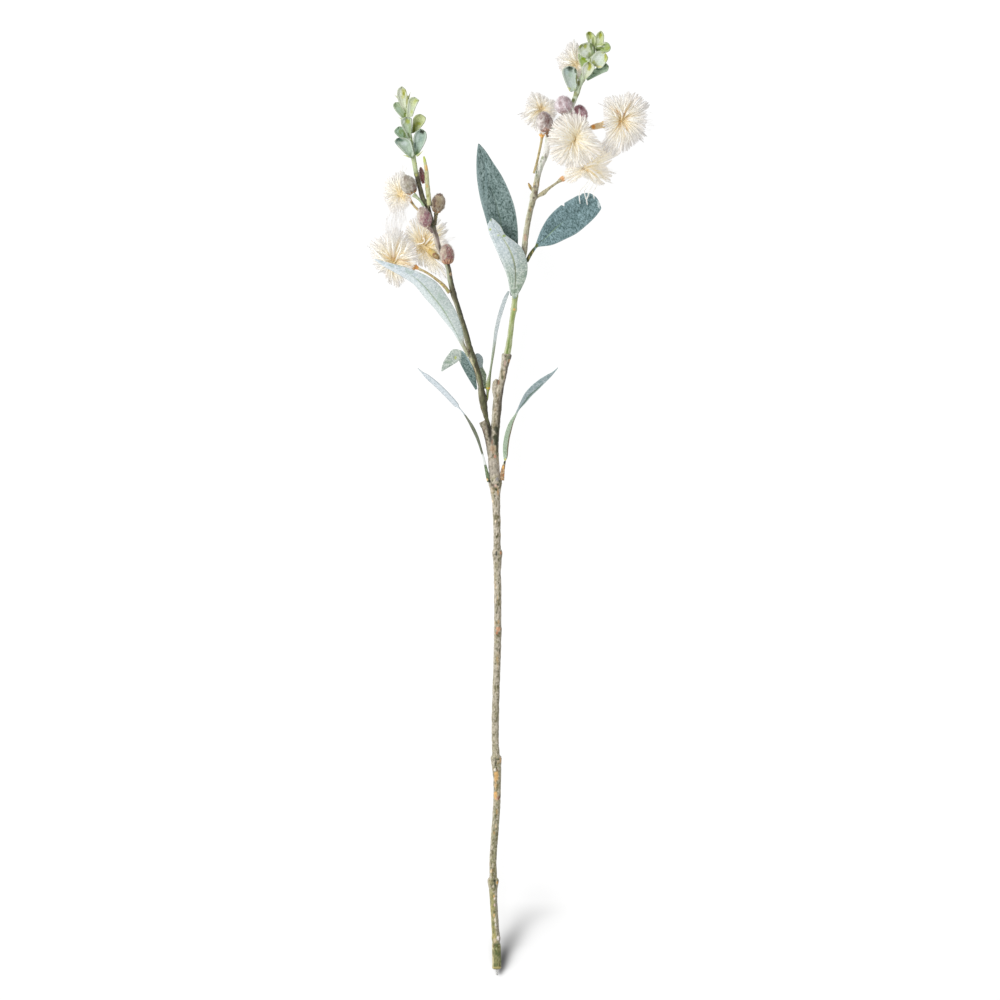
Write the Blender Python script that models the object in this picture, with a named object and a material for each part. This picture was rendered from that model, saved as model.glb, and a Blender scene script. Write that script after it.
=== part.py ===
"""A long cut stem with two flowering side branches, lying on a flat surface.

The stem lies along +Y with its cut end at -Y, +X is to its right and +Z points
up from the surface at z = 0.  It rests on its cut end and on two blossoms.
Everything is laid out on a plan sheet: u runs to the right and v runs down the
sheet, one plan unit is PLAN_UNIT metres at the surface, and heights and radii
are in millimetres.
"""

import math

import bmesh
import bpy
from mathutils import Vector

# ---------------------------------------------------------------- dimensions
PLAN_UNIT = 0.000849  # metres a plan unit, at the surface
VIEW_HEIGHT = 2.4  # metres above the surface from which the plan is drawn
CENTRE_U = 506.99  # plan position of the part's origin
CENTRE_V = 505.87
VIEW_U = 500.0  # the plan is drawn from straight above this point
VIEW_V = 500.0
MM = 0.001

CUT_END_V = 968.6
HEAD_LIFT = 29.0  # mm that the axis rises from the cut end to the blossoms
CUT_END_RADIUS = 3.73
WIRE_RADIUS = 1.05
LEAF_THICKNESS = 0.9
LEAFLET_THICKNESS = 1.3
STEM_SIDES = 12
BRANCH_SIDES = 10
STALK_SIDES = 8
BUD_SIDES = 10
BLOSSOM_SIDES = 16


# ------------------------------------------------------------------- helpers
def clear_scene():
    for obj in list(bpy.data.objects):
        bpy.data.objects.remove(obj, do_unlink=True)


def place(u, v, z):
    """World position in metres of a plan point at a height in millimetres."""
    k = PLAN_UNIT * (VIEW_HEIGHT - z * MM) / VIEW_HEIGHT
    x = (u - VIEW_U) * k + (VIEW_U - CENTRE_U) * PLAN_UNIT
    y = (VIEW_V - v) * k + (CENTRE_V - VIEW_V) * PLAN_UNIT
    return Vector((x, y, z * MM))


def axis_height(v):
    """Height of the stem's and branches' axes at plan row v, in millimetres."""
    t = (CUT_END_V - v) / 930.0
    return CUT_END_RADIUS + HEAD_LIFT * math.sin(0.5 * math.pi * t)


def smooth(rows, count):
    """count rows on a smooth curve through the given rows, evenly spaced."""
    knots = [0.0]
    for a, b in zip(rows, rows[1:]):
        step = math.sqrt(sum((q - p) ** 2 for p, q in zip(a[:3], b[:3])))
        knots.append(knots[-1] + max(step, 1e-6))
    slopes = []
    last = len(rows) - 1
    for i in range(len(rows)):
        lo, hi = max(i - 1, 0), min(i + 1, last)
        span = knots[hi] - knots[lo]
        slopes.append([(q - p) / span for p, q in zip(rows[lo], rows[hi])])
    out = []
    for k in range(count):
        s = knots[-1] * k / (count - 1)
        i = 0
        while i < last - 1 and knots[i + 1] < s:
            i += 1
        h = knots[i + 1] - knots[i]
        t = (s - knots[i]) / h
        a = 2 * t**3 - 3 * t**2 + 1
        b = t**3 - 2 * t**2 + t
        c = -2 * t**3 + 3 * t**2
        d = t**3 - t**2
        out.append(
            [
                a * p + b * h * m + c * q + d * h * n
                for p, m, q, n in zip(rows[i], slopes[i], rows[i + 1], slopes[i + 1])
            ]
        )
    return out


MATERIALS = {}


def material(name, colour, roughness, metallic=0.0):
    if name not in MATERIALS:
        mat = bpy.data.materials.new(name)
        mat.use_nodes = True
        shader = mat.node_tree.nodes["Principled BSDF"]
        shader.inputs["Base Color"].default_value = (*colour, 1.0)
        shader.inputs["Roughness"].default_value = roughness
        shader.inputs["Metallic"].default_value = metallic
        mat.diffuse_color = (*colour, 1.0)
        MATERIALS[name] = mat
    return MATERIALS[name]


def solid(name, verts, faces, mat, helper=False):
    """A mesh object from points and faces, with its faces pointing out."""
    mesh = bpy.data.meshes.new(name)
    bm = bmesh.new()
    corners = [bm.verts.new(p) for p in verts]
    for face in faces:
        bm.faces.new([corners[i] for i in face])
    bmesh.ops.recalc_face_normals(bm, faces=bm.faces)
    bm.to_mesh(mesh)
    bm.free()
    if mesh.polygons:
        mesh.shade_smooth()
        mesh.set_sharp_from_angle(angle=math.radians(50))
    if mat:
        mesh.materials.append(mat)
    obj = bpy.data.objects.new(name, mesh)
    bpy.context.scene.collection.objects.link(obj)
    if helper:
        obj.hide_render = True
        obj.display_type = "WIRE"
    return obj


def join_in(obj, other):
    mod = obj.modifiers.new("join_" + other.name, "BOOLEAN")
    mod.operation = "UNION"
    mod.solver = "EXACT"
    mod.object = other


def rings_to_faces(count, sides):
    faces = []
    for i in range(count - 1):
        for j in range(sides):
            a, b = i * sides + j, i * sides + (j + 1) % sides
            faces.append((a, b, b + sides, a + sides))
    faces.append(tuple(range(sides - 1, -1, -1)))
    faces.append(tuple((count - 1) * sides + j for j in range(sides)))
    return faces


def rod(name, stations, sides, mat, helper=False, floor=False):
    """A round rod through stations (u, v, z, radius in mm), closed at both ends."""
    centres = [place(*s[:3]) for s in stations]
    verts = []
    side = None
    for i, centre in enumerate(centres):
        along = centres[min(i + 1, len(centres) - 1)] - centres[max(i - 1, 0)]
        along.normalize()
        if side is None:
            side = Vector((0, 0, 1)) if abs(along.z) < 0.8 else Vector((1, 0, 0))
        side = (side - along * side.dot(along)).normalized()
        other = along.cross(side)
        for j in range(sides):
            angle = 2 * math.pi * j / sides
            p = centre + (side * math.cos(angle) + other * math.sin(angle)) * (
                stations[i][3] * MM
            )
            if floor:
                p.z = max(p.z, 0.0)
            verts.append(p)
    return solid(name, verts, rings_to_faces(len(centres), sides), mat, helper)


def stalk(name, rows, count, mat):
    """A slim stalk on a smooth curve through rows (u, v, z, radius)."""
    return rod(name, smooth(rows, count), STALK_SIDES, mat)


def bud(name, base, tip, radius, mat, crown=False):
    """A pointed egg shape from its base to its tip, both (u, v, z)."""
    profile = (
        (0.00, 0.30),
        (0.06, 0.52),
        (0.20, 0.84),
        (0.38, 1.00),
        (0.58, 0.97),
        (0.76, 0.78),
        (0.90, 0.49),
        (1.00, 0.12),
    )
    if crown:
        profile = ((-0.07, 0.34), (-0.02, 0.40), *profile[1:])
    stations = []
    for t, share in profile:
        at = [a + (b - a) * t for a, b in zip(base, tip)]
        stations.append((*at, radius * share))
    return rod(name, stations, BUD_SIDES, mat)


def blossom(name, rings, mat):
    """A closed puff of fine filaments through rings (u, v, z, radius).  The
    narrow rings at the calyx face along the flower's own axis, the wide ones
    face straight up or down, and the puff is flat where it meets the surface."""
    centres = [place(*ring[:3]) for ring in rings]
    rising = 1.0 if centres[-1].z > centres[0].z else -1.0
    verts = []
    side = Vector((0.35, 0.94, 0.1))
    for i, (u, v, z, radius) in enumerate(rings):
        along = centres[min(i + 1, len(rings) - 1)] - centres[max(i - 1, 0)]
        along.normalize()
        share = min(1.0, max(0.0, (radius - 4.5) / 5.0))
        facing = along.lerp(Vector((0, 0, rising)), share).normalized()
        side = (side - facing * side.dot(facing)).normalized()
        other = facing.cross(side)
        for j in range(BLOSSOM_SIDES):
            angle = 2 * math.pi * (j + 0.5) / BLOSSOM_SIDES
            p = centres[i] + (side * math.cos(angle) + other * math.sin(angle)) * (
                radius * MM
            )
            p.z = max(p.z, 0.0)
            verts.append(p)
    return solid(name, verts, rings_to_faces(len(rings), BLOSSOM_SIDES), mat)


def blade(name, rows, count, columns, thickness, mat):
    """A thin leaf through rows of (left, middle, right) points (u, v, z), from
    its petiole to its tip, with a rim of its own thickness all round."""
    flat = [[*m, *left, *right] for left, m, right in rows]
    grid = []
    for row in smooth(flat, count):
        mid, left, right = (place(*row[i : i + 3]) for i in (0, 3, 6))
        line = []
        for c in range(columns + 1):
            s = 2.0 * c / columns - 1.0
            edge = left if s < 0 else right
            line.append(mid.lerp(edge, abs(s)))
        grid.append(line)
    last, width = len(grid) - 1, columns + 1
    upper, lower = [], []
    for i, line in enumerate(grid):
        for c, p in enumerate(line):
            du = grid[min(i + 1, last)][c] - grid[max(i - 1, 0)][c]
            dv = line[min(c + 1, columns)] - line[max(c - 1, 0)]
            normal = du.cross(dv)
            if normal.length < 1e-12:
                normal = Vector((0, 0, 1))
            normal.normalize()
            half = thickness[0] + (thickness[1] - thickness[0]) * min(1.0, 3.0 * i / last)
            if c in (0, columns):
                half *= 0.6
            upper.append(p + normal * (half * 0.5 * MM))
            lower.append(p - normal * (half * 0.5 * MM))
    total = len(upper)
    faces = []
    for i in range(last):
        for c in range(columns):
            a, b = i * width + c, i * width + c + 1
            faces.append((a, b, b + width, a + width))
            faces.append((total + a + width, total + b + width, total + b, total + a))
    rim = [c for c in range(width)]
    rim += [i * width + columns for i in range(1, last + 1)]
    rim += [last * width + c for c in range(columns - 1, -1, -1)]
    rim += [i * width for i in range(last - 1, 0, -1)]
    for k, a in enumerate(rim):
        b = rim[(k + 1) % len(rim)]
        faces.append((a, total + a, total + b, b))
    return solid(name, upper + lower, faces, mat)


def leaflet(name, base, tip, width, cup, mat, helper=False):
    """A small spoon-shaped leaflet from base to tip (u, v, z), width in plan
    units, its edges raised by cup millimetres."""
    profile = ((0.0, 0.22), (0.18, 0.42), (0.42, 0.80), (0.66, 1.0), (0.86, 0.80), (1.0, 0.30))
    du, dv = tip[0] - base[0], tip[1] - base[1]
    length = math.hypot(du, dv)
    nu, nv = -dv / length, du / length
    rows = []
    for t, share in profile:
        u, v, z = (a + (b - a) * t for a, b in zip(base, tip))
        w = 0.5 * width * share
        lift = cup * share
        rows.append(
            (
                (u - nu * w, v - nv * w, z + lift),
                (u, v, z),
                (u + nu * w, v + nv * w, z + lift),
            )
        )
    obj = blade(name, rows, 6, 2, (LEAFLET_THICKNESS, LEAFLET_THICKNESS), mat)
    if helper:
        obj.hide_render = True
        obj.display_type = "WIRE"
    return obj


# -------------------------------------------------------------------- colours
clear_scene()
BARK = material("bark", (0.37, 0.33, 0.22), 0.8)
DARK_BARK = material("dark_bark", (0.13, 0.12, 0.08), 0.8)
GREEN_BARK = material("green_bark", (0.40, 0.45, 0.24), 0.7)
WIRE = material("wire", (0.60, 0.60, 0.58), 0.35, 1.0)
STALK = material("stalk", (0.38, 0.33, 0.19), 0.75)
FLOSS = material("floss", (0.80, 0.70, 0.50), 0.85)
BUD_FUR = material("bud_fur", (0.33, 0.24, 0.21), 0.95)
LEAF_DARK = material("leaf_dark", (0.14, 0.20, 0.19), 0.85)
LEAF_PALE = material("leaf_pale", (0.52, 0.60, 0.55), 0.85)
TIP_GREEN = material("tip_green", (0.48, 0.58, 0.42), 0.75)


# ---------------------------------------------------------------- main stem
# plan rows (u, v, width in plan units) from the cut end to the right collar
STEM_LINE = (
    (496.6, 968.6, 8.8),
    (496.5, 955.0, 8.8),
    (495.9, 941.0, 8.6),
    (495.2, 930.0, 7.5),
    (494.2, 905.0, 7.4),
    (493.0, 884.0, 8.2),
    (492.8, 860.0, 7.7),
    (494.3, 840.0, 7.4),
    (495.9, 820.0, 7.3),
    (497.0, 800.0, 7.3),
    (497.4, 780.0, 7.0),
    (496.2, 757.0, 7.8),
    (495.1, 738.0, 7.3),
    (495.5, 710.0, 7.3),
    (496.6, 675.0, 7.3),
    (497.6, 640.0, 7.2),
    (497.8, 600.0, 7.2),
    (497.4, 570.0, 7.3),
    (497.4, 552.0, 7.8),
    (497.0, 530.0, 7.5),
    (496.2, 500.0, 7.7),
    (496.2, 486.0, 9.6),
    (494.8, 470.0, 9.2),
    (493.6, 456.0, 9.6),
    (493.4, 442.0, 10.0),
    (495.6, 426.0, 9.2),
    (497.0, 402.0, 9.4),
    (499.2, 391.0, 8.6),
    (502.2, 379.0, 6.8),
    (504.0, 368.0, 7.4),
    (505.8, 360.0, 8.0),
    (506.7, 353.9, 8.6),
)
# swollen nodes and sleeve edges: (plan row v, extra radius in mm, half length)
COLLARS = (
    (941.5, 0.35, 3.0),
    (880.0, 1.45, 4.2),
    (757.0, 1.45, 4.2),
    (552.0, 1.20, 4.0),
    (486.0, 0.95, 4.5),
    (355.6, 0.50, 2.4),
)


def stem_stations(line, collars, spacing):
    """Rod stations along a line, with closer ones at each collar."""
    dense = smooth([(u, v, 0.0, w) for u, v, w in line], 400)
    first, last = dense[0][1], dense[-1][1]
    rows = [first + (last - first) * i / spacing for i in range(spacing + 1)]
    for at, _, half in collars:
        rows = [v for v in rows if abs(v - at) > half * 1.9]
        rows += [at - 1.6 * half, at - 0.7 * half, at, at + 0.7 * half, at + 1.6 * half]
    rows = sorted({round(v, 3) for v in rows if last <= v <= first}, reverse=True)
    stations = []
    for v in rows:
        k = min(range(len(dense)), key=lambda i: abs(dense[i][1] - v))
        u, _, _, w = dense[k]
        radius = 0.5 * w * PLAN_UNIT / MM
        for at, extra, half in collars:
            radius += extra * math.exp(-(((v - at) / half) ** 2) * 1.6)
        stations.append((u, v, axis_height(v), radius))
    return stations


trunk = rod(
    "main_stem", stem_stations(STEM_LINE, COLLARS, 36), STEM_SIDES, BARK, floor=True
)
left_stub = rod(
    "left_socket",
    [
        (493.6, 449.0, axis_height(449), 2.2),
        (492.6, 441.5, axis_height(441.5), 3.3),
        (489.6, 434.0, axis_height(434), 3.2),
        (486.2, 427.6, axis_height(427.6), 3.2),
        (482.9, 421.6, axis_height(421.6), 3.25),
    ],
    BRANCH_SIDES,
    BARK,
    helper=True,
)
side_stub = rod(
    "side_stub",
    [
        (497.0, 398.0, axis_height(396), 2.6),
        (495.6, 389.0, axis_height(389), 2.9),
        (496.2, 382.0, axis_height(382), 2.2),
        (496.5, 379.2, axis_height(380), 1.5),
    ],
    STALK_SIDES,
    BARK,
    helper=True,
)
join_in(trunk, left_stub)
join_in(trunk, side_stub)

rod(
    "wire_core",
    [
        (496.9, 969.2, CUT_END_RADIUS - 0.1, WIRE_RADIUS),
        (497.0, 972.0, CUT_END_RADIUS - 0.3, WIRE_RADIUS),
        (497.1, 975.2, CUT_END_RADIUS - 0.5, WIRE_RADIUS * 0.9),
    ],
    STALK_SIDES,
    WIRE,
)

# ------------------------------------------------------------- side branches
LEFT_LINE = (
    (485.4, 416.6, 5.6),
    (483.4, 405.0, 6.2),
    (481.4, 391.0, 7.2),
    (478.2, 378.0, 6.6),
    (475.4, 369.0, 6.0),
    (472.8, 360.0, 7.2),
    (470.7, 351.4, 6.2),
    (468.2, 342.5, 6.2),
    (465.8, 333.6, 6.0),
    (463.0, 324.0, 5.6),
    (460.4, 315.7, 5.2),
    (457.4, 306.0, 5.0),
    (453.6, 294.5, 5.4),
    (450.2, 280.0, 5.4),
    (448.2, 268.0, 5.4),
    (444.8, 258.5, 5.4),
    (438.6, 247.0, 5.4),
    (435.9, 236.0, 5.2),
    (432.6, 226.0, 5.2),
    (430.0, 215.0, 5.0),
    (427.4, 206.0, 5.0),
    (423.0, 198.5, 5.0),
    (419.8, 187.0, 4.8),
    (417.2, 174.0, 4.6),
    (415.2, 160.0, 4.2),
    (412.8, 148.0, 3.8),
    (410.4, 135.0, 3.4),
    (408.2, 123.0, 2.8),
    (406.6, 113.4, 2.4),
)
RIGHT_LINE = (
    (507.3, 352.8, 6.7),
    (509.7, 338.0, 6.2),
    (512.0, 320.0, 5.4),
    (513.8, 309.5, 5.8),
    (514.9, 297.0, 5.8),
    (518.8, 275.0, 5.4),
    (524.0, 252.0, 5.8),
    (525.6, 237.0, 5.6),
    (527.9, 222.0, 5.8),
    (530.6, 209.0, 6.0),
    (533.6, 196.5, 6.6),
    (536.0, 185.0, 6.2),
    (538.6, 173.0, 6.2),
    (542.0, 163.0, 6.2),
    (546.0, 154.0, 6.0),
    (547.6, 143.0, 5.8),
    (549.0, 133.0, 5.6),
    (557.0, 122.0, 5.4),
    (566.6, 115.4, 5.2),
    (572.6, 104.0, 5.2),
    (576.0, 95.0, 5.2),
    (579.6, 85.6, 5.0),
    (583.0, 78.0, 4.6),
    (587.0, 69.0, 4.0),
    (591.0, 59.0, 3.4),
    (594.4, 49.0, 2.6),
)


def branch_stations(line, count):
    rows = smooth([(u, v, axis_height(v), w) for u, v, w in line], count)
    return [(u, v, axis_height(v), 0.5 * w * PLAN_UNIT / MM) for u, v, _, w in rows]


rod("left_branch", branch_stations(LEFT_LINE, 46), BRANCH_SIDES, DARK_BARK)
rod("right_branch", branch_stations(RIGHT_LINE, 46), BRANCH_SIDES, GREEN_BARK)
stalk(
    "left_side_stalk",
    (
        (429.2, 205.6, 36.2, 1.7),
        (428.6, 199.0, 34.0, 2.0),
        (427.3, 187.0, 32.4, 2.1),
        (426.4, 172.0, 32.0, 1.9),
        (424.0, 156.6, 31.8, 1.6),
    ),
    9,
    GREEN_BARK,
)

# ---------------------------------------------------- blossoms on their stalks
# each: stalk rows ending in the calyx cup (u, v, z, radius), then puff rings
BLOSSOMS = {
    "left_upper": (
        (
            (427.0, 216.6, 28.2, 1.0),
            (420.6, 211.6, 26.4, 1.0),
            (415.7, 207.6, 25.6, 1.0),
            (411.2, 201.9, 25.0, 1.1),
            (409.2, 199.4, 24.9, 2.2),
        ),
        (
            (408.4, 198.6, 24.8, 2.0),
            (405.2, 196.6, 24.4, 3.8),
            (401.8, 195.0, 22.9, 8.6),
            (399.2, 194.2, 20.4, 13.4),
            (398.0, 194.2, 17.0, 14.6),
            (397.6, 194.2, 13.2, 12.2),
            (397.4, 194.2, 10.4, 5.6),
        ),
    ),
    "left_lower": (
        (
            (449.2, 292.6, 33.2, 1.5),
            (443.6, 285.4, 31.6, 1.3),
            (435.9, 279.0, 29.6, 1.05),
            (427.0, 272.8, 27.2, 1.0),
            (418.6, 268.6, 25.4, 1.1),
            (415.2, 267.0, 25.0, 2.2),
        ),
        (
            (414.2, 266.8, 24.9, 2.2),
            (408.0, 265.2, 24.8, 4.0),
            (402.0, 263.6, 24.0, 9.6),
            (396.0, 262.4, 22.2, 16.4),
            (390.6, 261.6, 19.4, 19.8),
            (388.8, 261.4, 15.4, 19.2),
            (388.2, 261.4, 11.4, 12.0),
            (388.2, 261.4, 9.4, 5.0),
        ),
    ),
    "left_rear": (
        (
            (438.6, 258.2, 27.4, 1.4),
            (436.4, 256.4, 24.6, 2.3),
            (433.6, 253.8, 21.0, 2.6),
            (430.2, 250.8, 16.8, 2.4),
        ),
        (
            (429.2, 249.9, 14.6, 2.4),
            (427.6, 248.9, 12.6, 7.0),
            (425.6, 247.7, 10.4, 13.6),
            (424.4, 247.0, 7.4, 19.4),
            (423.8, 246.6, 3.6, 22.4),
            (423.6, 246.5, 0.0, 21.2),
        ),
    ),
    "right_front": (
        (
            (552.8, 140.0, 33.2, 1.0),
            (559.0, 141.4, 32.8, 1.0),
            (567.0, 142.0, 32.8, 1.0),
            (572.8, 141.6, 34.0, 1.3),
            (574.4, 141.2, 36.6, 2.6),
        ),
        (
            (574.8, 141.0, 38.4, 2.4),
            (575.0, 140.6, 41.0, 4.2),
            (575.6, 139.8, 43.2, 12.6),
            (576.0, 139.3, 45.6, 20.0),
            (576.2, 139.0, 48.6, 21.6),
            (576.3, 138.9, 51.6, 18.4),
            (576.3, 138.8, 54.0, 9.4),
        ),
    ),
    "right_rear": (
        (
            (533.9, 173.0, 35.4, 1.0),
            (536.0, 166.0, 33.4, 1.05),
            (538.4, 156.0, 29.4, 1.05),
            (541.0, 143.6, 23.6, 1.05),
            (541.8, 138.2, 20.8, 1.2),
            (542.0, 136.0, 20.0, 1.8),
        ),
        (
            (542.0, 134.8, 19.8, 1.8),
            (542.0, 127.0, 20.6, 3.2),
            (541.4, 120.0, 21.4, 9.4),
            (540.0, 113.6, 22.4, 15.6),
            (538.8, 111.4, 24.4, 17.0),
            (538.2, 110.8, 26.4, 13.6),
            (538.0, 110.6, 27.8, 6.0),
        ),
    ),
    "right_low": (
        (
            (538.8, 195.6, 31.0, 1.3),
            (543.2, 193.2, 29.8, 2.0),
            (548.2, 188.9, 27.2, 1.2),
            (557.1, 182.6, 22.2, 1.05),
            (561.6, 179.4, 19.6, 2.0),
        ),
        (
            (562.7, 178.8, 18.8, 2.1),
            (570.0, 174.8, 16.8, 4.2),
            (577.0, 170.8, 15.0, 10.4),
            (583.0, 166.8, 12.8, 16.6),
            (587.0, 164.2, 9.4, 19.6),
            (588.0, 163.6, 4.6, 20.2),
            (588.0, 163.6, 0.0, 18.2),
        ),
    ),
    "right_outer": (
        (
            (556.8, 129.2, 29.4, 1.1),
            (566.0, 130.0, 28.4, 1.0),
            (578.0, 129.8, 26.8, 1.0),
            (588.6, 128.2, 26.2, 1.3),
            (592.6, 127.2, 26.4, 2.3),
            (598.0, 125.9, 27.2, 2.6),
            (603.4, 124.7, 28.4, 2.5),
        ),
        (
            (604.8, 124.4, 29.0, 2.6),
            (610.0, 123.0, 30.6, 4.2),
            (615.0, 121.6, 32.0, 11.0),
            (620.0, 120.6, 33.6, 18.6),
            (623.2, 120.2, 35.8, 21.8),
            (624.4, 120.0, 38.2, 18.6),
            (624.8, 119.9, 40.2, 9.0),
        ),
    ),
    "right_top": (
        (
            (580.6, 82.6, 28.8, 1.1),
            (580.2, 79.4, 27.2, 1.4),
            (579.4, 77.0, 25.4, 2.0),
        ),
        (
            (579.2, 75.8, 24.4, 2.1),
            (578.2, 70.6, 22.6, 4.0),
            (576.0, 64.6, 20.6, 9.0),
            (573.8, 59.0, 17.6, 12.6),
            (572.6, 56.8, 13.6, 13.8),
            (572.2, 56.4, 9.4, 11.4),
            (572.2, 56.4, 6.6, 5.4),
        ),
    ),
}
for key, (stem_rows, rings) in BLOSSOMS.items():
    stalk("calyx_stalk_" + key, stem_rows, 2 * len(stem_rows), STALK)
    blossom("blossom_" + key, rings, FLOSS)

# --------------------------------------------------------------------- buds
bud("bud_left_top", (412.6, 193.2, 33.6), (404.4, 175.6, 35.0), 6.5, BUD_FUR)
bud("bud_left_mid", (427.6, 226.2, 38.0), (420.6, 207.0, 38.8), 5.8, BUD_FUR)
bud("bud_left_side", (436.3, 212.2, 32.2), (440.3, 193.6, 32.8), 5.7, BUD_FUR)
bud("bud_left_low", (447.8, 263.4, 38.6), (446.6, 243.8, 38.8), 5.7, BUD_FUR, crown=True)
bud("bud_left_small", (423.2, 183.2, 26.4), (420.8, 167.2, 26.8), 2.3, BUD_FUR)
bud("bud_right_left", (546.1, 131.2, 38.0), (543.0, 111.6, 38.4), 6.6, BUD_FUR)
bud("bud_right_mid", (563.6, 113.2, 39.4), (563.6, 95.8, 40.0), 7.0, BUD_FUR)
bud("bud_right_rear", (578.2, 123.6, 26.2), (580.0, 105.0, 26.6), 7.2, BUD_FUR)

stalk(
    "bud_stalk_left_top",
    ((424.0, 206.4, 35.2, 1.0), (420.0, 200.4, 34.2, 1.0), (413.6, 194.6, 33.4, 2.1)),
    6,
    GREEN_BARK,
)
stalk(
    "bud_stalk_left_mid",
    ((432.2, 232.6, 35.2, 0.9), (430.2, 230.0, 36.8, 1.0), (428.1, 227.2, 37.9, 1.7)),
    5,
    DARK_BARK,
)
stalk(
    "bud_stalk_left_side",
    ((434.9, 225.0, 35.4, 1.3), (435.6, 219.0, 33.4, 1.4), (436.1, 213.2, 32.3, 1.9)),
    6,
    DARK_BARK,
)
stalk(
    "bud_stalk_right_left",
    ((547.6, 137.0, 37.2, 0.9), (547.1, 134.6, 37.6, 1.0), (546.3, 132.3, 38.0, 1.9)),
    5,
    DARK_BARK,
)
stalk(
    "bud_stalk_right_mid",
    ((561.4, 120.2, 37.2, 0.9), (562.6, 117.4, 38.6, 1.0), (563.5, 114.3, 39.3, 1.9)),
    5,
    DARK_BARK,
)
stalk(
    "bud_stalk_right_rear",
    (
        (560.4, 123.0, 27.8, 0.9),
        (567.0, 127.4, 24.6, 1.0),
        (574.4, 129.4, 23.6, 1.1),
        (577.4, 127.6, 25.0, 1.4),
        (578.1, 125.2, 26.0, 1.8),
    ),
    9,
    DARK_BARK,
)


# ------------------------------------------------------------------- leaves
def level(u, v, z, half, du, dv, tilt=0.0):
    """A row across a leaf: its middle, and its edges half plan units away in
    the direction (du, dv), tilted so that the right edge is tilt mm higher."""
    n = math.hypot(du, dv)
    a, b = du / n * half, dv / n * half
    return ((u - a, v - b, z - tilt), (u, v, z), (u + a, v + b, z + tilt))


blade(
    "leaf_left_long",
    (
        level(468.2, 356.6, 32.6, 1.2, 1, -0.6),
        level(465.2, 350.2, 33.4, 1.6, 1, -0.6),
        ((459.9, 343.2, 33.0), (462.0, 344.4, 34.0), (464.2, 342.8, 34.0)),
        ((452.8, 331.6, 32.0), (457.5, 335.0, 34.6), (463.2, 333.6, 34.0)),
        ((443.8, 320.4, 32.0), (450.6, 322.2, 35.2), (461.0, 324.6, 34.0)),
        ((434.4, 308.4, 32.4), (442.4, 308.8, 35.8), (455.7, 311.0, 34.2)),
        ((425.4, 298.4, 33.0), (433.6, 297.4, 36.2), (446.8, 296.0, 34.6)),
        ((415.0, 285.4, 33.6), (422.6, 284.6, 36.6), (435.9, 282.0, 35.0)),
        ((405.4, 278.6, 34.0), (410.4, 274.6, 36.4), (420.7, 273.0, 35.4)),
        ((394.4, 272.4, 34.6), (397.4, 269.0, 36.0), (404.6, 267.0, 35.4)),
        ((383.0, 266.0, 34.8), (385.0, 264.0, 35.4), (386.8, 262.0, 35.2)),
        level(375.2, 259.4, 35.0, 0.7, 1, -1),
    ),
    15,
    4,
    (1.8, LEAF_THICKNESS),
    LEAF_PALE,
)
blade(
    "leaf_left_folded",
    (
        ((475.4, 389.8, 31.6), (476.4, 389.4, 31.6), (477.4, 389.0, 31.6)),
        ((470.0, 381.0, 31.6), (473.0, 380.6, 31.4), (476.2, 380.2, 31.8)),
        ((464.8, 372.2, 31.8), (469.4, 371.2, 31.4), (473.8, 370.0, 32.2)),
        ((460.4, 363.8, 31.4), (464.8, 361.6, 31.0), (468.6, 359.0, 31.2)),
        ((458.6, 360.6, 31.6), (460.0, 356.0, 31.0), (462.4, 351.0, 31.4)),
        ((457.2, 362.0, 30.8), (455.6, 356.2, 30.6), (453.6, 349.2, 30.8)),
        ((453.0, 364.8, 29.2), (450.8, 360.2, 29.4), (448.4, 354.4, 29.6)),
        ((448.0, 367.8, 28.0), (446.4, 364.8, 28.6), (444.2, 360.4, 28.8)),
        ((444.0, 370.2, 26.6), (443.0, 368.6, 26.8), (442.0, 366.4, 27.0)),
        ((441.9, 371.6, 26.2), (441.6, 371.2, 26.2), (441.3, 370.8, 26.2)),
    ),
    15,
    4,
    (1.8, LEAF_THICKNESS),
    LEAF_DARK,
)
blade(
    "leaf_left_rear",
    (
        level(484.6, 387.0, 24.2, 1.0, 1, 0.1),
        level(483.8, 378.0, 22.8, 2.8, 1, 0.1),
        level(480.2, 368.6, 21.8, 2.8, 1, 0.1),
        level(479.0, 361.0, 21.4, 3.8, 1, 0.1),
        level(477.8, 354.4, 21.4, 2.2, 1, 0.1),
    ),
    9,
    4,
    (1.8, LEAF_THICKNESS),
    LEAF_PALE,
)
blade(
    "leaf_right_thin",
    (
        level(488.0, 396.6, 27.0, 0.7, 1, 0.2, 0.6),
        level(488.9, 387.0, 26.8, 0.9, 1, 0.2, 1.6),
        level(490.4, 376.0, 26.6, 1.2, 1, 0.2, 3.6),
        level(492.2, 362.0, 26.2, 1.4, 1, 0.2, 5.6),
        level(494.0, 348.0, 25.8, 1.5, 1, 0.2, 6.6),
        level(495.8, 334.6, 25.2, 1.6, 1, 0.2, 6.4),
        level(498.6, 321.0, 24.4, 1.7, 1, 0.3, 5.6),
        level(502.9, 306.8, 23.4, 1.4, 1, 0.5, 3.4),
        level(508.6, 291.6, 22.0, 0.5, 1, 0.6, 0.6),
    ),
    14,
    2,
    (1.6, LEAF_THICKNESS),
    LEAF_DARK,
)
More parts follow.
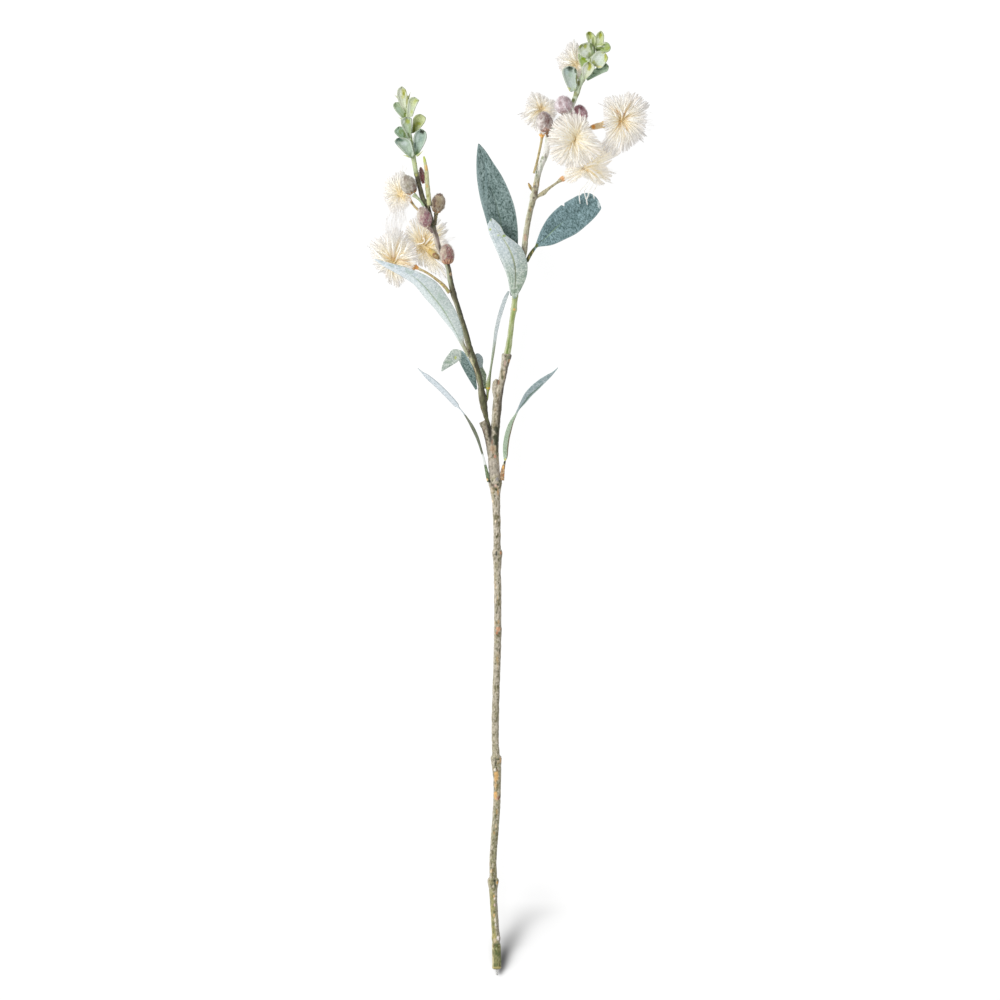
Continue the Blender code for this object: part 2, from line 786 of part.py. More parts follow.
blade(
    "leaf_right_dark",
    (
        level(511.6, 295.6, 27.0, 1.1, 1, -0.2),
        ((509.4, 287.6, 27.4), (511.6, 287.0, 27.0), (513.8, 286.6, 27.4)),
        ((506.4, 274.0, 28.6), (510.8, 272.6, 27.4), (515.2, 272.4, 28.0)),
        ((499.8, 258.0, 30.0), (508.0, 256.0, 28.2), (517.4, 253.8, 28.8)),
        ((490.6, 235.4, 31.4), (502.8, 232.4, 29.2), (518.2, 230.0, 30.0)),
        ((485.5, 217.2, 32.6), (498.4, 212.4, 30.0), (515.3, 208.2, 31.0)),
        ((480.2, 199.2, 33.2), (493.6, 194.0, 30.8), (509.6, 191.0, 31.8)),
        ((477.0, 180.4, 33.4), (488.6, 175.6, 31.4), (501.6, 175.6, 32.2)),
        ((476.2, 164.0, 33.2), (483.8, 160.8, 31.8), (492.2, 160.8, 32.2)),
        ((477.2, 150.6, 32.8), (480.4, 150.2, 32.2), (484.2, 149.8, 32.2)),
        level(478.8, 144.2, 32.6, 0.7, 1, 0),
    ),
    15,
    4,
    (1.8, LEAF_THICKNESS),
    LEAF_DARK,
)
blade(
    "leaf_right_pale",
    (
        level(514.6, 298.6, 35.4, 1.3, 1, -0.1),
        ((509.6, 290.4, 35.8), (515.2, 289.0, 36.4), (521.2, 288.6, 35.8)),
        ((507.6, 279.4, 36.2), (514.6, 276.6, 38.0), (526.2, 277.0, 36.4)),
        ((503.4, 265.6, 37.0), (512.8, 262.6, 39.6), (527.2, 264.0, 37.0)),
        ((495.8, 250.2, 38.4), (508.2, 247.0, 40.8), (521.0, 247.4, 38.2)),
        ((489.9, 236.0, 39.6), (500.0, 234.0, 41.2), (507.6, 235.6, 39.6)),
        ((487.5, 226.6, 40.4), (493.6, 225.6, 41.2), (499.8, 225.8, 40.4)),
        level(492.0, 219.6, 40.6, 1.2, 1, 0),
    ),
    13,
    4,
    (1.8, LEAF_THICKNESS),
    LEAF_PALE,
)
blade(
    "leaf_right_outer",
    (
        level(527.8, 257.2, 34.6, 1.1, 0.6, 0.8),
        level(532.6, 250.8, 33.6, 1.3, 0.6, 0.8),
        ((536.8, 241.6, 33.2), (538.8, 245.0, 32.6), (541.2, 247.0, 32.8)),
        ((541.6, 228.4, 34.6), (547.0, 236.4, 32.6), (552.0, 244.8, 32.8)),
        ((549.8, 215.2, 35.8), (556.4, 226.8, 33.0), (564.0, 240.0, 33.2)),
        ((560.0, 206.0, 36.4), (567.6, 218.4, 33.4), (575.6, 232.8, 33.6)),
        ((571.0, 199.6, 36.4), (578.8, 211.4, 33.6), (586.6, 225.8, 33.8)),
        ((583.0, 193.6, 36.0), (589.4, 205.6, 33.6), (596.0, 215.6, 33.8)),
        ((591.6, 193.4, 35.4), (595.8, 202.6, 33.8), (598.4, 212.4, 33.8)),
        ((598.0, 198.2, 34.6), (599.6, 203.6, 34.0), (600.6, 209.0, 34.0)),
    ),
    14,
    4,
    (1.8, LEAF_THICKNESS),
    LEAF_DARK,
)
blade(
    "leaf_fork_left",
    (
        level(488.6, 481.0, 28.0, 0.9, 1, -0.2, 0.5),
        level(486.2, 468.0, 28.4, 1.2, 1, -0.3, 1.2),
        level(482.4, 454.0, 29.0, 1.7, 1, -0.3, 3.6),
        level(478.6, 441.6, 29.6, 2.0, 1, -0.4, 5.4),
        level(473.2, 428.4, 30.4, 2.0, 1, -0.5, 6.2),
        level(465.4, 416.0, 31.2, 2.0, 1, -0.8, 6.4),
        level(456.4, 405.2, 32.0, 2.0, 1, -1.0, 6.2),
        level(447.0, 395.2, 32.6, 2.0, 1, -1.2, 5.4),
        level(435.0, 384.0, 33.0, 1.6, 1, -1.3, 3.6),
        level(421.6, 372.6, 33.2, 0.5, 1, -1.4, 0.6),
    ),
    15,
    2,
    (1.6, LEAF_THICKNESS),
    LEAF_PALE,
)
blade(
    "leaf_fork_right",
    (
        level(503.4, 479.6, 28.4, 1.0, 1, 0.1, 0.5),
        level(504.2, 467.0, 28.8, 1.2, 1, 0.1, 1.0),
        level(504.6, 455.0, 29.2, 1.8, 1, 0.1, -2.6),
        level(506.6, 443.0, 29.8, 2.3, 1, 0.2, -4.4),
        level(508.8, 431.0, 30.4, 2.2, 1, 0.3, -4.2),
        level(512.8, 420.4, 31.0, 1.5, 1, 0.5, -2.4),
        level(517.6, 412.0, 31.6, 2.0, 1, 0.6, -2.6),
        level(523.2, 402.0, 32.2, 3.8, 1, 0.7, -4.6),
        level(530.4, 392.0, 32.6, 5.2, 1, 0.9, -5.6),
        level(540.2, 382.6, 32.8, 4.4, 1, 1.1, -4.6),
        level(549.2, 375.2, 33.0, 2.6, 1, 1.2, -2.4),
        level(556.6, 369.4, 33.0, 0.6, 1, 1.2, -0.4),
    ),
    16,
    2,
    (1.6, LEAF_THICKNESS),
    LEAF_DARK,
)

# ----------------------------------------------------- leaflets at the tips
LEAFLETS = {
    "left_tip_top": ((405.7, 109.6, 32.8), (401.6, 87.2, 34.0), 9.0, 1.0),
    "left_tip_upper_right": ((410.2, 114.6, 33.4), (415.2, 98.4, 34.6), 9.2, 1.0),
    "left_tip_upper_left": ((404.2, 117.6, 31.0), (395.8, 104.2, 30.4), 8.6, 0.8),
    "left_tip_front": ((409.8, 137.4, 36.0), (405.0, 117.2, 38.0), 12.6, 1.2),
    "left_tip_mid_right": ((414.2, 134.0, 31.6), (419.8, 114.2, 32.4), 12.6, 1.0),
    "left_tip_mid_left": ((407.6, 139.0, 29.0), (399.2, 127.0, 28.6), 9.0, 0.8),
    "left_tip_low_left": ((412.2, 157.4, 36.2), (396.8, 138.0, 38.2), 12.6, 1.2),
    "left_tip_low_right": ((418.8, 154.6, 31.6), (421.6, 129.2, 36.8), 12.6, 1.2),
    "right_tip_upper_right": ((598.2, 49.4, 32.8), (610.4, 47.4, 33.4), 12.0, 1.2),
    "right_tip_upper_left": ((589.4, 54.2, 34.2), (579.2, 47.8, 35.2), 13.6, 1.2),
    "right_tip_front": ((593.6, 65.4, 36.0), (605.0, 52.2, 38.0), 14.0, 1.2),
    "right_tip_low_front": ((584.6, 77.0, 36.4), (589.6, 61.2, 39.8), 13.0, 1.2),
    "right_tip_low_right": ((588.4, 78.8, 32.4), (607.6, 66.0, 32.8), 11.0, 1.0),
    "right_tip_low_left": ((573.8, 90.2, 35.8), (568.6, 65.6, 36.8), 16.4, 1.4),
}
for key, (base, tip, width, cup) in LEAFLETS.items():
    leaflet("leaflet_" + key, base, tip, width, cup, TIP_GREEN)

top_pair = leaflet(
    "leaflet_right_tip_top_pair", (595.4, 46.2, 33.2), (588.8, 32.0, 34.2), 7.4, 1.0, TIP_GREEN
)
partner = leaflet(
    "top_pair_partner", (595.6, 46.2, 33.2), (601.0, 30.8, 34.4), 8.4, 1.0, TIP_GREEN, helper=True
)
join_in(top_pair, partner)
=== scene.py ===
"""Looks for a long cut stem with two flowering side branches, lying on a pale
surface.  Everything is laid out on the same plan sheet as the solid model: u
runs right, v runs down the sheet, heights are in millimetres, and place() turns
plan points into metres in the model's own frame."""

import math

import bpy
import numpy as np
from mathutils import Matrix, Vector


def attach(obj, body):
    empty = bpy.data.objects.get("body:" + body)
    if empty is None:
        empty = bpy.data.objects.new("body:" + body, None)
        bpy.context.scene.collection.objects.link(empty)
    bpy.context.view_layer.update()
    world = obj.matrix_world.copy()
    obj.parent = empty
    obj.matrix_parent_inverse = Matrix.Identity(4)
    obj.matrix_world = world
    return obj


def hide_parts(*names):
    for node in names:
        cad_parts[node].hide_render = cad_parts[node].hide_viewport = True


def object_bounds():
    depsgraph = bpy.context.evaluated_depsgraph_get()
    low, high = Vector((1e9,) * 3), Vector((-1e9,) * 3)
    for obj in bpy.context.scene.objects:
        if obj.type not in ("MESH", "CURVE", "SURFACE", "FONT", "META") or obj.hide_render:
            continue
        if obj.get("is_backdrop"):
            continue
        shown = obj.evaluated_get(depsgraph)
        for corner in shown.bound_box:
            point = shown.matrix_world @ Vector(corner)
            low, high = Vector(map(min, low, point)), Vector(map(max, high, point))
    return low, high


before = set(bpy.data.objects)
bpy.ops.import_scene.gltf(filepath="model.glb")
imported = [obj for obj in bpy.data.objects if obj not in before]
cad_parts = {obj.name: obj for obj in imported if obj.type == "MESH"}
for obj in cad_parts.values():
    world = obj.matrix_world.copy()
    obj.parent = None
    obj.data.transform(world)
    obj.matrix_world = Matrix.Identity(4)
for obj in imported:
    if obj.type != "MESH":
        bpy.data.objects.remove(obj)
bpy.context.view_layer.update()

# ---------------------------------------------------------------- dimensions
PLAN_UNIT = 0.000849
VIEW_HEIGHT = 2.4
CENTRE_U = 506.99
CENTRE_V = 505.87
VIEW_U = 500.0
VIEW_V = 500.0
MM = 0.001
CUT_END_V = 968.6
HEAD_LIFT = 29.0
CUT_END_RADIUS = 3.73
WIRE_RADIUS = 1.05
UNIT_MM = PLAN_UNIT / MM  # millimetres a plan unit


# ------------------------------------------------------------------- helpers
def place(p):
    """World positions in metres of plan points (u, v, z in millimetres)."""
    p = np.asarray(p, float)
    k = PLAN_UNIT * (VIEW_HEIGHT - p[..., 2] * MM) / VIEW_HEIGHT
    out = np.empty(p.shape[:-1] + (3,))
    out[..., 0] = (p[..., 0] - VIEW_U) * k + (VIEW_U - CENTRE_U) * PLAN_UNIT
    out[..., 1] = (VIEW_V - p[..., 1]) * k + (CENTRE_V - VIEW_V) * PLAN_UNIT
    out[..., 2] = p[..., 2] * MM
    return out


def plan(x):
    """The plan points (u, v, z) of world positions."""
    k = PLAN_UNIT * (VIEW_HEIGHT - x[..., 2]) / VIEW_HEIGHT
    out = np.empty_like(x)
    out[..., 0] = (x[..., 0] - (VIEW_U - CENTRE_U) * PLAN_UNIT) / k + VIEW_U
    out[..., 1] = VIEW_V - (x[..., 1] - (CENTRE_V - VIEW_V) * PLAN_UNIT) / k
    out[..., 2] = x[..., 2] / MM
    return out


def axis_height(v):
    """Height of the stem's and branches' axes at plan row v, in millimetres."""
    return CUT_END_RADIUS + HEAD_LIFT * np.sin(0.5 * np.pi * (CUT_END_V - np.asarray(v)) / 930.0)


def smooth(rows, count):
    """count rows on a smooth curve through the given rows, evenly spaced."""
    rows = np.asarray(rows, float)
    last = len(rows) - 1
    steps = np.maximum(np.linalg.norm(np.diff(rows[:, :3], axis=0), axis=1), 1e-6)
    knots = np.concatenate([[0.0], np.cumsum(steps)])
    lo = np.maximum(np.arange(last + 1) - 1, 0)
    hi = np.minimum(np.arange(last + 1) + 1, last)
    slopes = (rows[hi] - rows[lo]) / (knots[hi] - knots[lo])[:, None]
    s = np.linspace(0.0, knots[-1], count)
    i = np.clip(np.searchsorted(knots[1:], s), 0, last - 1)
    h = (knots[i + 1] - knots[i])[:, None]
    t = (s - knots[i])[:, None] / h
    return (
        (2 * t**3 - 3 * t**2 + 1) * rows[i]
        + (t**3 - 2 * t**2 + t) * h * slopes[i]
        + (-2 * t**3 + 3 * t**2) * rows[i + 1]
        + (t**3 - t**2) * h * slopes[i + 1]
    )


def unit(a):
    a = np.asarray(a, float)
    return a / np.maximum(np.linalg.norm(a, axis=-1, keepdims=True), 1e-12)


def grain(p, size, seed=0):
    """Smooth noise from -1 to 1 with cells of that size."""
    q = np.asarray(p, float) / size
    base = np.floor(q).astype(np.int64)
    f = q - base
    f = f * f * (3 - 2 * f)
    total = np.zeros(q.shape[:-1])
    for corner in range(8):
        c = np.array([corner & 1, (corner >> 1) & 1, (corner >> 2) & 1])
        n = (base + c) @ np.array([374761393, 668265263, 1103515245]) + seed * 97531357
        n = ((n ^ (n >> 13)) & 0x7FFFFFFF) * 1274126177
        n = ((n ^ (n >> 16)) & 0x7FFFFFFF) * 668265263
        n = (n >> 12) & 0xFFFF
        w = np.prod(np.where(c == 1, f, 1 - f), axis=-1)
        total += w * (n / 32767.5 - 1.0)
    return total


def step(x, low, high):
    t = np.clip((x - low) / (high - low), 0.0, 1.0)
    return t * t * (3 - 2 * t)


def rgb(*c):
    """Linear colour of a screen colour 0 to 255."""
    c = np.asarray(c, float) / 255.0
    return np.where(c <= 0.04045, c / 12.92, ((c + 0.055) / 1.055) ** 2.4)


def mix(a, b, t):
    t = np.asarray(t, float)[..., None]
    return a * (1 - t) + b * t


def stops(t, table):
    """Colour along t from a table of (t, screen colour)."""
    at = [row[0] for row in table]
    c = np.array([rgb(*row[1]) for row in table])
    return np.stack([np.interp(t, at, c[:, k]) for k in range(3)], axis=-1)


def spots(colour, p, table, seed=3):
    """Paints soft-edged spots (u, v, half width, half height, colour, strength)."""
    wobble = grain(np.stack([p[..., 0], p[..., 1], p[..., 2] * 0], -1), 1.3, seed)
    for u, v, du, dv, c, strength in table:
        d = np.sqrt(((p[..., 0] - u) / du) ** 2 + ((p[..., 1] - v) / dv) ** 2) + 0.28 * wobble
        colour = mix(colour, rgb(*c), strength * (1 - step(d, 0.7, 1.15)))
    return colour


def mesh_object(name, verts, faces, mat, colours):
    """An object from points, a list of face index arrays, and point colours."""
    mesh = bpy.data.meshes.new(name)
    verts = np.asarray(verts, np.float32).reshape(-1, 3)
    mesh.vertices.add(len(verts))
    mesh.vertices.foreach_set("co", verts.ravel())
    sizes = np.concatenate([np.full(len(f), f.shape[1]) for f in faces])
    loops = np.concatenate([f.ravel() for f in faces]).astype(np.int32)
    mesh.loops.add(len(loops))
    mesh.loops.foreach_set("vertex_index", loops)
    mesh.polygons.add(len(sizes))
    starts = np.concatenate([[0], np.cumsum(sizes)[:-1]]).astype(np.int32)
    mesh.polygons.foreach_set("loop_start", starts)
    mesh.update(calc_edges=True)
    mesh.validate()
    mesh.polygons.foreach_set("use_smooth", np.ones(len(mesh.polygons), bool))
    paint(mesh, colours)
    mesh.materials.append(mat)
    obj = bpy.data.objects.new(name, mesh)
    bpy.context.scene.collection.objects.link(obj)
    return obj


def paint(mesh, colours):
    layer = mesh.color_attributes.get("Col")
    if layer is None:
        layer = mesh.color_attributes.new("Col", "FLOAT_COLOR", "POINT")
    rgba = np.ones((len(mesh.vertices), 4), np.float32)
    rgba[:, :3] = np.clip(np.asarray(colours, np.float32).reshape(-1, 3), 0.0, 1.0)
    layer.data.foreach_set("color", rgba.ravel())


def stand_for(obj, node):
    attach(obj, "root")
    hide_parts(node)
    return obj


def tube_faces(count, sides, offset=0):
    i = np.arange(count - 1)[:, None] * sides
    j = np.arange(sides)[None, :]
    a, b = i + j, i + (j + 1) % sides
    return np.stack([a, b, b + sides, a + sides], -1).reshape(-1, 4) + offset


def tube(path, radii, sides):
    """Points of a tube with end points at both ends, and its faces."""
    n = len(path)
    along = unit(np.gradient(path, axis=0))
    radii = np.asarray(radii, float)
    if radii.ndim == 1:
        radii = np.repeat(radii[:, None], sides, axis=1)
    side = np.array([0.0, 0.0, 1.0]) if abs(along[0, 2]) < 0.8 else np.array([1.0, 0.0, 0.0])
    rings = np.empty((n, sides, 3))
    angle = 2 * np.pi * np.arange(sides) / sides
    for i in range(n):
        side = unit(side - along[i] * side.dot(along[i]))
        other = np.cross(along[i], side)
        rings[i] = path[i] + (
            side * np.cos(angle)[:, None] + other * np.sin(angle)[:, None]
        ) * radii[i][:, None]
    verts = np.concatenate([rings.reshape(-1, 3), path[:1], path[-1:]])
    j = np.arange(sides)
    k = (j + 1) % sides
    first = np.stack([np.full(sides, n * sides), k, j], -1)
    last = np.stack([np.full(sides, n * sides + 1), (n - 1) * sides + j, (n - 1) * sides + k], -1)
    return verts, [tube_faces(n, sides), np.concatenate([first, last])]


def rods(paths, radii, sides=3, flat=None, up=None):
    """Points and faces of many closed slim rods at once: paths (m, n, 3).  With
    flat, a rod is that many times wider than thick, its broad side towards up."""
    m, n = paths.shape[:2]
    along = unit(np.gradient(paths, axis=1))
    if up is None:
        half = n // 2
        bend = np.cross(paths[:, half] - paths[:, 0], paths[:, -1] - paths[:, half])
        size = np.linalg.norm(bend, axis=-1)
        reach = np.linalg.norm(paths[:, -1] - paths[:, 0], axis=-1)
        spare = np.cross(along.mean(1), np.array([0.31, 0.22, 0.92]))
        ref = unit(np.where((size > 0.01 * reach**2)[:, None], bend, spare))
        side = unit(ref[:, None, :] - along * (along * ref[:, None, :]).sum(-1, keepdims=True))
    else:
        side = unit(np.cross(along, up[:, None, :]))
    other = np.cross(along, side)
    thin = 1.0 if flat is None else 1.0 / flat
    angle = 2 * np.pi * np.arange(sides) / sides
    ring = paths[:, :, None, :] + radii[:, :, None, None] * (
        side[:, :, None, :] * np.cos(angle)[None, None, :, None]
        + other[:, :, None, :] * (thin * np.sin(angle))[None, None, :, None]
    )
    base = (np.arange(m) * n * sides)[:, None, None]
    i = np.arange(n - 1)[None, :, None] * sides
    j = np.arange(sides)[None, None, :]
    a, b = base + i + j, base + i + (j + 1) % sides
    quads = np.stack([a, b, b + sides, a + sides], -1).reshape(-1, 4)
    start = (np.arange(m) * n * sides)[:, None] + np.arange(sides)[None, ::-1]
    end = (np.arange(m) * n * sides + (n - 1) * sides)[:, None] + np.arange(sides)[None, :]
    return ring.reshape(-1, 3), [quads, start, end]


def join(groups):
    """One set of points, faces and colours from several (points, faces, colours)."""
    verts, faces, colours, offset = [], [], [], 0
    for v, f, c in groups:
        verts.append(np.asarray(v).reshape(-1, 3))
        faces += [part + offset for part in f]
        colours.append(np.asarray(c).reshape(-1, 3))
        offset += len(verts[-1])
    return np.concatenate(verts), faces, np.concatenate(colours)


# ----------------------------------------------------------------- materials
def finish(name, flecks, bump, rough, sheen=0.0, sheen_rough=0.5, specular=0.5, painted_glow_and_shade=0.0):
    """A node material: the painted colour, times layers of fine flecks (scale,
    stretch, detail, distortion, darkest, lightest), with bump layers (scale,
    stretch, height in metres) and a roughness that varies."""
    mat = bpy.data.materials.new(name)
    mat.use_nodes = True
    nodes, links = mat.node_tree.nodes, mat.node_tree.links
    shader = nodes["Principled BSDF"]
    coords = nodes.new("ShaderNodeTexCoord")
    attribute = nodes.new("ShaderNodeAttribute")
    attribute.attribute_name = "Col"
    colour = attribute.outputs["Color"]

    def noise(scale, stretch, detail=2.0, distortion=0.0):
        mapping = nodes.new("ShaderNodeMapping")
        mapping.inputs["Scale"].default_value = stretch
        links.new(coords.outputs["Object"], mapping.inputs["Vector"])
        texture = nodes.new("ShaderNodeTexNoise")
        texture.inputs["Scale"].default_value = scale
        texture.inputs["Detail"].default_value = detail
        texture.inputs["Distortion"].default_value = distortion
        links.new(mapping.outputs["Vector"], texture.inputs["Vector"])
        return texture.outputs["Fac"]

    def spread(value, low, high, start=0.32, end=0.68):
        node = nodes.new("ShaderNodeMapRange")
        node.inputs["From Min"].default_value = start
        node.inputs["From Max"].default_value = end
        node.inputs["To Min"].default_value = low
        node.inputs["To Max"].default_value = high
        links.new(value, node.inputs["Value"])
        return node.outputs["Result"]

    for scale, stretch, detail, distortion, low, high in flecks:
        scaled = nodes.new("ShaderNodeVectorMath")
        scaled.operation = "SCALE"
        links.new(colour, scaled.inputs[0])
        links.new(spread(noise(scale, stretch, detail, distortion), low, high), scaled.inputs["Scale"])
        colour = scaled.outputs["Vector"]
    links.new(colour, shader.inputs["Base Color"])
    normal = None
    for scale, stretch, height in bump:
        node = nodes.new("ShaderNodeBump")
        node.inputs["Distance"].default_value = height
        node.inputs["Strength"].default_value = 1.0
        links.new(noise(scale, stretch, 3.0), node.inputs["Height"])
        if normal is not None:
            links.new(normal, node.inputs["Normal"])
        normal = node.outputs["Normal"]
    if normal is not None:
        links.new(normal, shader.inputs["Normal"])
    links.new(spread(noise(260.0, (1, 1, 1)), *rough), shader.inputs["Roughness"])
    shader.inputs["Sheen Weight"].default_value = sheen
    shader.inputs["Sheen Roughness"].default_value = sheen_rough
    shader.inputs["Specular IOR Level"].default_value = specular
    # painted light: the surface glows with its own colour (emission), a stand-in for light that thin, see-through
    # threads pass on to each other
    if painted_glow_and_shade:  # light that thin, see-through threads pass on to each other
        links.new(colour, shader.inputs["Emission Color"])
        shader.inputs["Emission Strength"].default_value = painted_glow_and_shade
    return mat


BARK = finish(
    "bark",
    [(900.0, (1, 0.55, 1), 3.0, 0.6, 0.80, 1.16), (2600.0, (1, 0.7, 1), 1.0, 0.0, 0.90, 1.08)],
    [(1100.0, (1, 0.5, 1), 0.00022), (3000.0, (1, 1, 1), 0.00008)],
    (0.62, 0.86),
    sheen=0.12,
    specular=0.35,
)
TWIG = finish(
    "green_twig",
    [(1100.0, (1, 0.45, 1), 3.0, 0.5, 0.84, 1.14), (2800.0, (1, 1, 1), 1.0, 0.0, 0.92, 1.07)],
    [(1300.0, (1, 0.45, 1), 0.00016), (3200.0, (1, 1, 1), 0.00006)],
    (0.5, 0.78),
    sheen=0.15,
    specular=0.4,
)
FLEECE = finish(
    "leaf_fleece",
    [(1500.0, (1, 0.8, 1), 2.0, 1.1, 0.80, 1.20), (3600.0, (1, 1, 1), 1.0, 0.0, 0.88, 1.12)],
    [(1700.0, (1, 0.8, 1), 0.00022), (4200.0, (1, 1, 1), 0.00009)],
    (0.78, 0.95),
    sheen=0.22,
    sheen_rough=0.45,
    specular=0.2,
)
TIP = finish(
    "tip_leaflet",
    [(1400.0, (1, 1, 1), 2.0, 0.8, 0.84, 1.13), (3400.0, (1, 1, 1), 1.0, 0.0, 0.93, 1.07)],
    [(1500.0, (1, 1, 1), 0.00014), (3800.0, (1, 1, 1), 0.00006)],
    (0.62, 0.85),
    sheen=0.18,
    specular=0.3,
)
FUR = finish(
    "bud_fur",
    [(1500.0, (1, 1, 1), 2.0, 0.6, 0.84, 1.16), (3600.0, (1, 1, 1), 1.0, 0.0, 0.9, 1.1)],
    [(2200.0, (1, 1, 1), 0.00016)],
    (0.85, 0.97),
    sheen=0.25,
    sheen_rough=0.4,
    specular=0.15,
)
# the floss glows faintly with its own colour: painted light
FLOSS = finish(
    "floss",
    [(700.0, (1, 1, 1), 2.0, 0.3, 0.96, 1.03)],
    [],
    (0.5, 0.75),
    sheen=0.0,
    specular=0.2,
    painted_glow_and_shade=0.155,
)
CALYX = finish(
    "calyx",
    [(1500.0, (1, 0.6, 1), 2.0, 0.5, 0.84, 1.14)],
    [(1800.0, (1, 0.6, 1), 0.00014)],
    (0.5, 0.78),
    sheen=0.1,
    specular=0.4,
)
WIRE = finish(
    "wire",
    [(900.0, (1, 0.2, 1), 2.0, 0.0, 0.86, 1.08)],
    [(2200.0, (1, 0.15, 1), 0.00005)],
    (0.24, 0.42),
)
WIRE.node_tree.nodes["Principled BSDF"].inputs["Metallic"].default_value = 0.35


# --------------------------------------------------- camera, light and floor
def studio():
    data = bpy.data.cameras.new("camera")
    data.sensor_width = 36.0
    data.lens = 36.0 * VIEW_HEIGHT / (1000.0 * PLAN_UNIT)
    data.clip_start = 0.05
    data.clip_end = 50.0
    camera = bpy.data.objects.new("camera", data)
    camera.location = (
        (VIEW_U - CENTRE_U) * PLAN_UNIT,
        (CENTRE_V - VIEW_V) * PLAN_UNIT,
        VIEW_HEIGHT,
    )
    bpy.context.scene.collection.objects.link(camera)
    bpy.context.scene.camera = camera

    world = bpy.data.worlds.new("world")
    world.use_nodes = True
    back = world.node_tree.nodes["Background"]
    back.inputs["Color"].default_value = (1.0, 1.0, 1.0, 1.0)
    back.inputs["Strength"].default_value = 0.60
    bpy.context.scene.world = world

    def lamp(name, at, target, size, power, colour):
        light = bpy.data.lights.new(name, "AREA")
        light.shape = "DISK"
        light.size = size
        light.energy = power
        light.color = colour
        obj = bpy.data.objects.new(name, light)
        obj.location = at
        obj.rotation_euler = (Vector(target) - Vector(at)).to_track_quat("-Z", "Y").to_euler()
        bpy.context.scene.collection.objects.link(obj)

    lamp("key", (-1.25, 0.55, 1.35), (0.0, 0.05, 0.0), 0.7, 21.0, (1.0, 0.985, 0.96))

    mesh = bpy.data.meshes.new("floor")
    half, cells = 3.0, 24
    line = np.linspace(-half, half, cells + 1)
    x, y = np.meshgrid(line, line, indexing="ij")
    verts = np.stack([x.ravel(), y.ravel(), np.zeros(x.size)], -1)
    i, j = np.meshgrid(np.arange(cells), np.arange(cells), indexing="ij")
    a = (i * (cells + 1) + j).ravel()
    quads = np.stack([a, a + cells + 1, a + cells + 2, a + 1], -1)
    mesh.from_pydata(verts.tolist(), [], quads.tolist())
    mat = bpy.data.materials.new("pale_floor")
    mat.use_nodes = True
    nodes, links = mat.node_tree.nodes, mat.node_tree.links
    shader = nodes["Principled BSDF"]
    shader.inputs["Base Color"].default_value = (0.10, 0.10, 0.10, 1.0)
    shader.inputs["Roughness"].default_value = 0.95
    shader.inputs["Specular IOR Level"].default_value = 0.0
    shader.inputs["Emission Color"].default_value = (1.0, 1.0, 1.0, 1.0)

    # the sheet glows evenly, and only beside the cut end does a painted shadow dim its glow
    def maths(operation, a, b=0.0, c=0.0):
        node = nodes.new("ShaderNodeMath")
        node.operation = operation
        for socket, value in zip(node.inputs, (a, b, c)):
            if isinstance(value, (int, float)):
                socket.default_value = value
            else:
                links.new(value, socket)
        return node.outputs[0]

    coords = nodes.new("ShaderNodeTexCoord")
    split = nodes.new("ShaderNodeSeparateXYZ")
    links.new(coords.outputs["Object"], split.inputs[0])

    def table(value, stops_):
        """A smooth value from given (input, output) pairs, all between 0 and 1."""
        node = nodes.new("ShaderNodeValToRGB")
        ramp = node.color_ramp
        ramp.interpolation = "B_SPLINE"
        while len(ramp.elements) < len(stops_):
            ramp.elements.new(0.5)
        for element, (at, out) in zip(ramp.elements, stops_):
            element.position = at
        for element, (at, out) in zip(ramp.elements, stops_):
            element.color = (out, out, out, 1.0)
        links.new(value, node.inputs["Fac"])
        return node.outputs["Color"]

    # plan u and v of a floor point; the painted shadow's plume bends away from the stem
    u = maths("MULTIPLY_ADD", split.outputs["X"], 1.0 / PLAN_UNIT, CENTRE_U)
    v = maths("MULTIPLY_ADD", split.outputs["Y"], -1.0 / PLAN_UNIT, CENTRE_V)
    down = maths("DIVIDE", maths("SUBTRACT", v, 900.0), 80.0)  # 0 far out, 1 past the cut end
    middle = maths("MULTIPLY_ADD", table(down, (
        (0.0, 0.96), (0.16, 0.79), (0.26, 0.61), (0.36, 0.465), (0.46, 0.335), (0.56, 0.22), (0.61, 0.165),
        (0.66, 0.125), (0.71, 0.092), (0.76, 0.072), (0.81, 0.058), (0.86, 0.04), (0.91, 0.0))), 36.0, 499.9)
    width = maths("MULTIPLY", table(down, (
        (0.0, 0.95), (0.16, 0.75), (0.26, 0.55), (0.36, 0.47), (0.46, 0.455), (0.56, 0.42), (0.61, 0.37),
        (0.66, 0.325), (0.71, 0.295), (0.76, 0.275), (0.81, 0.23), (0.86, 0.185), (0.91, 0.115))), 29.0)
    depth = table(down, (
        (0.0, 0.0), (0.07, 0.06), (0.16, 0.19), (0.26, 0.31), (0.36, 0.45), (0.46, 0.61), (0.56, 0.72), (0.61, 0.83),
        (0.66, 0.92), (0.71, 0.975), (0.76, 0.985), (0.86, 0.95), (0.915, 0.75), (0.95, 0.0)))

    def bell(value, reach):
        """1 in the middle, and gone at about twice the reach."""
        across = maths("ABSOLUTE", maths("DIVIDE", value, reach))
        return maths("POWER", 2.718, maths("MULTIPLY", maths("POWER", across, 2.0), -1.0))

    aside = maths("SUBTRACT", u, middle)
    wide = maths("MULTIPLY", bell(maths("MAXIMUM", aside, 0.0), maths("MULTIPLY", width, 2.3)),
                 bell(maths("MINIMUM", aside, 0.0), width))
    fall = maths("ADD", maths("MULTIPLY", bell(aside, width), 0.88), maths("MULTIPLY", wide, 0.12))
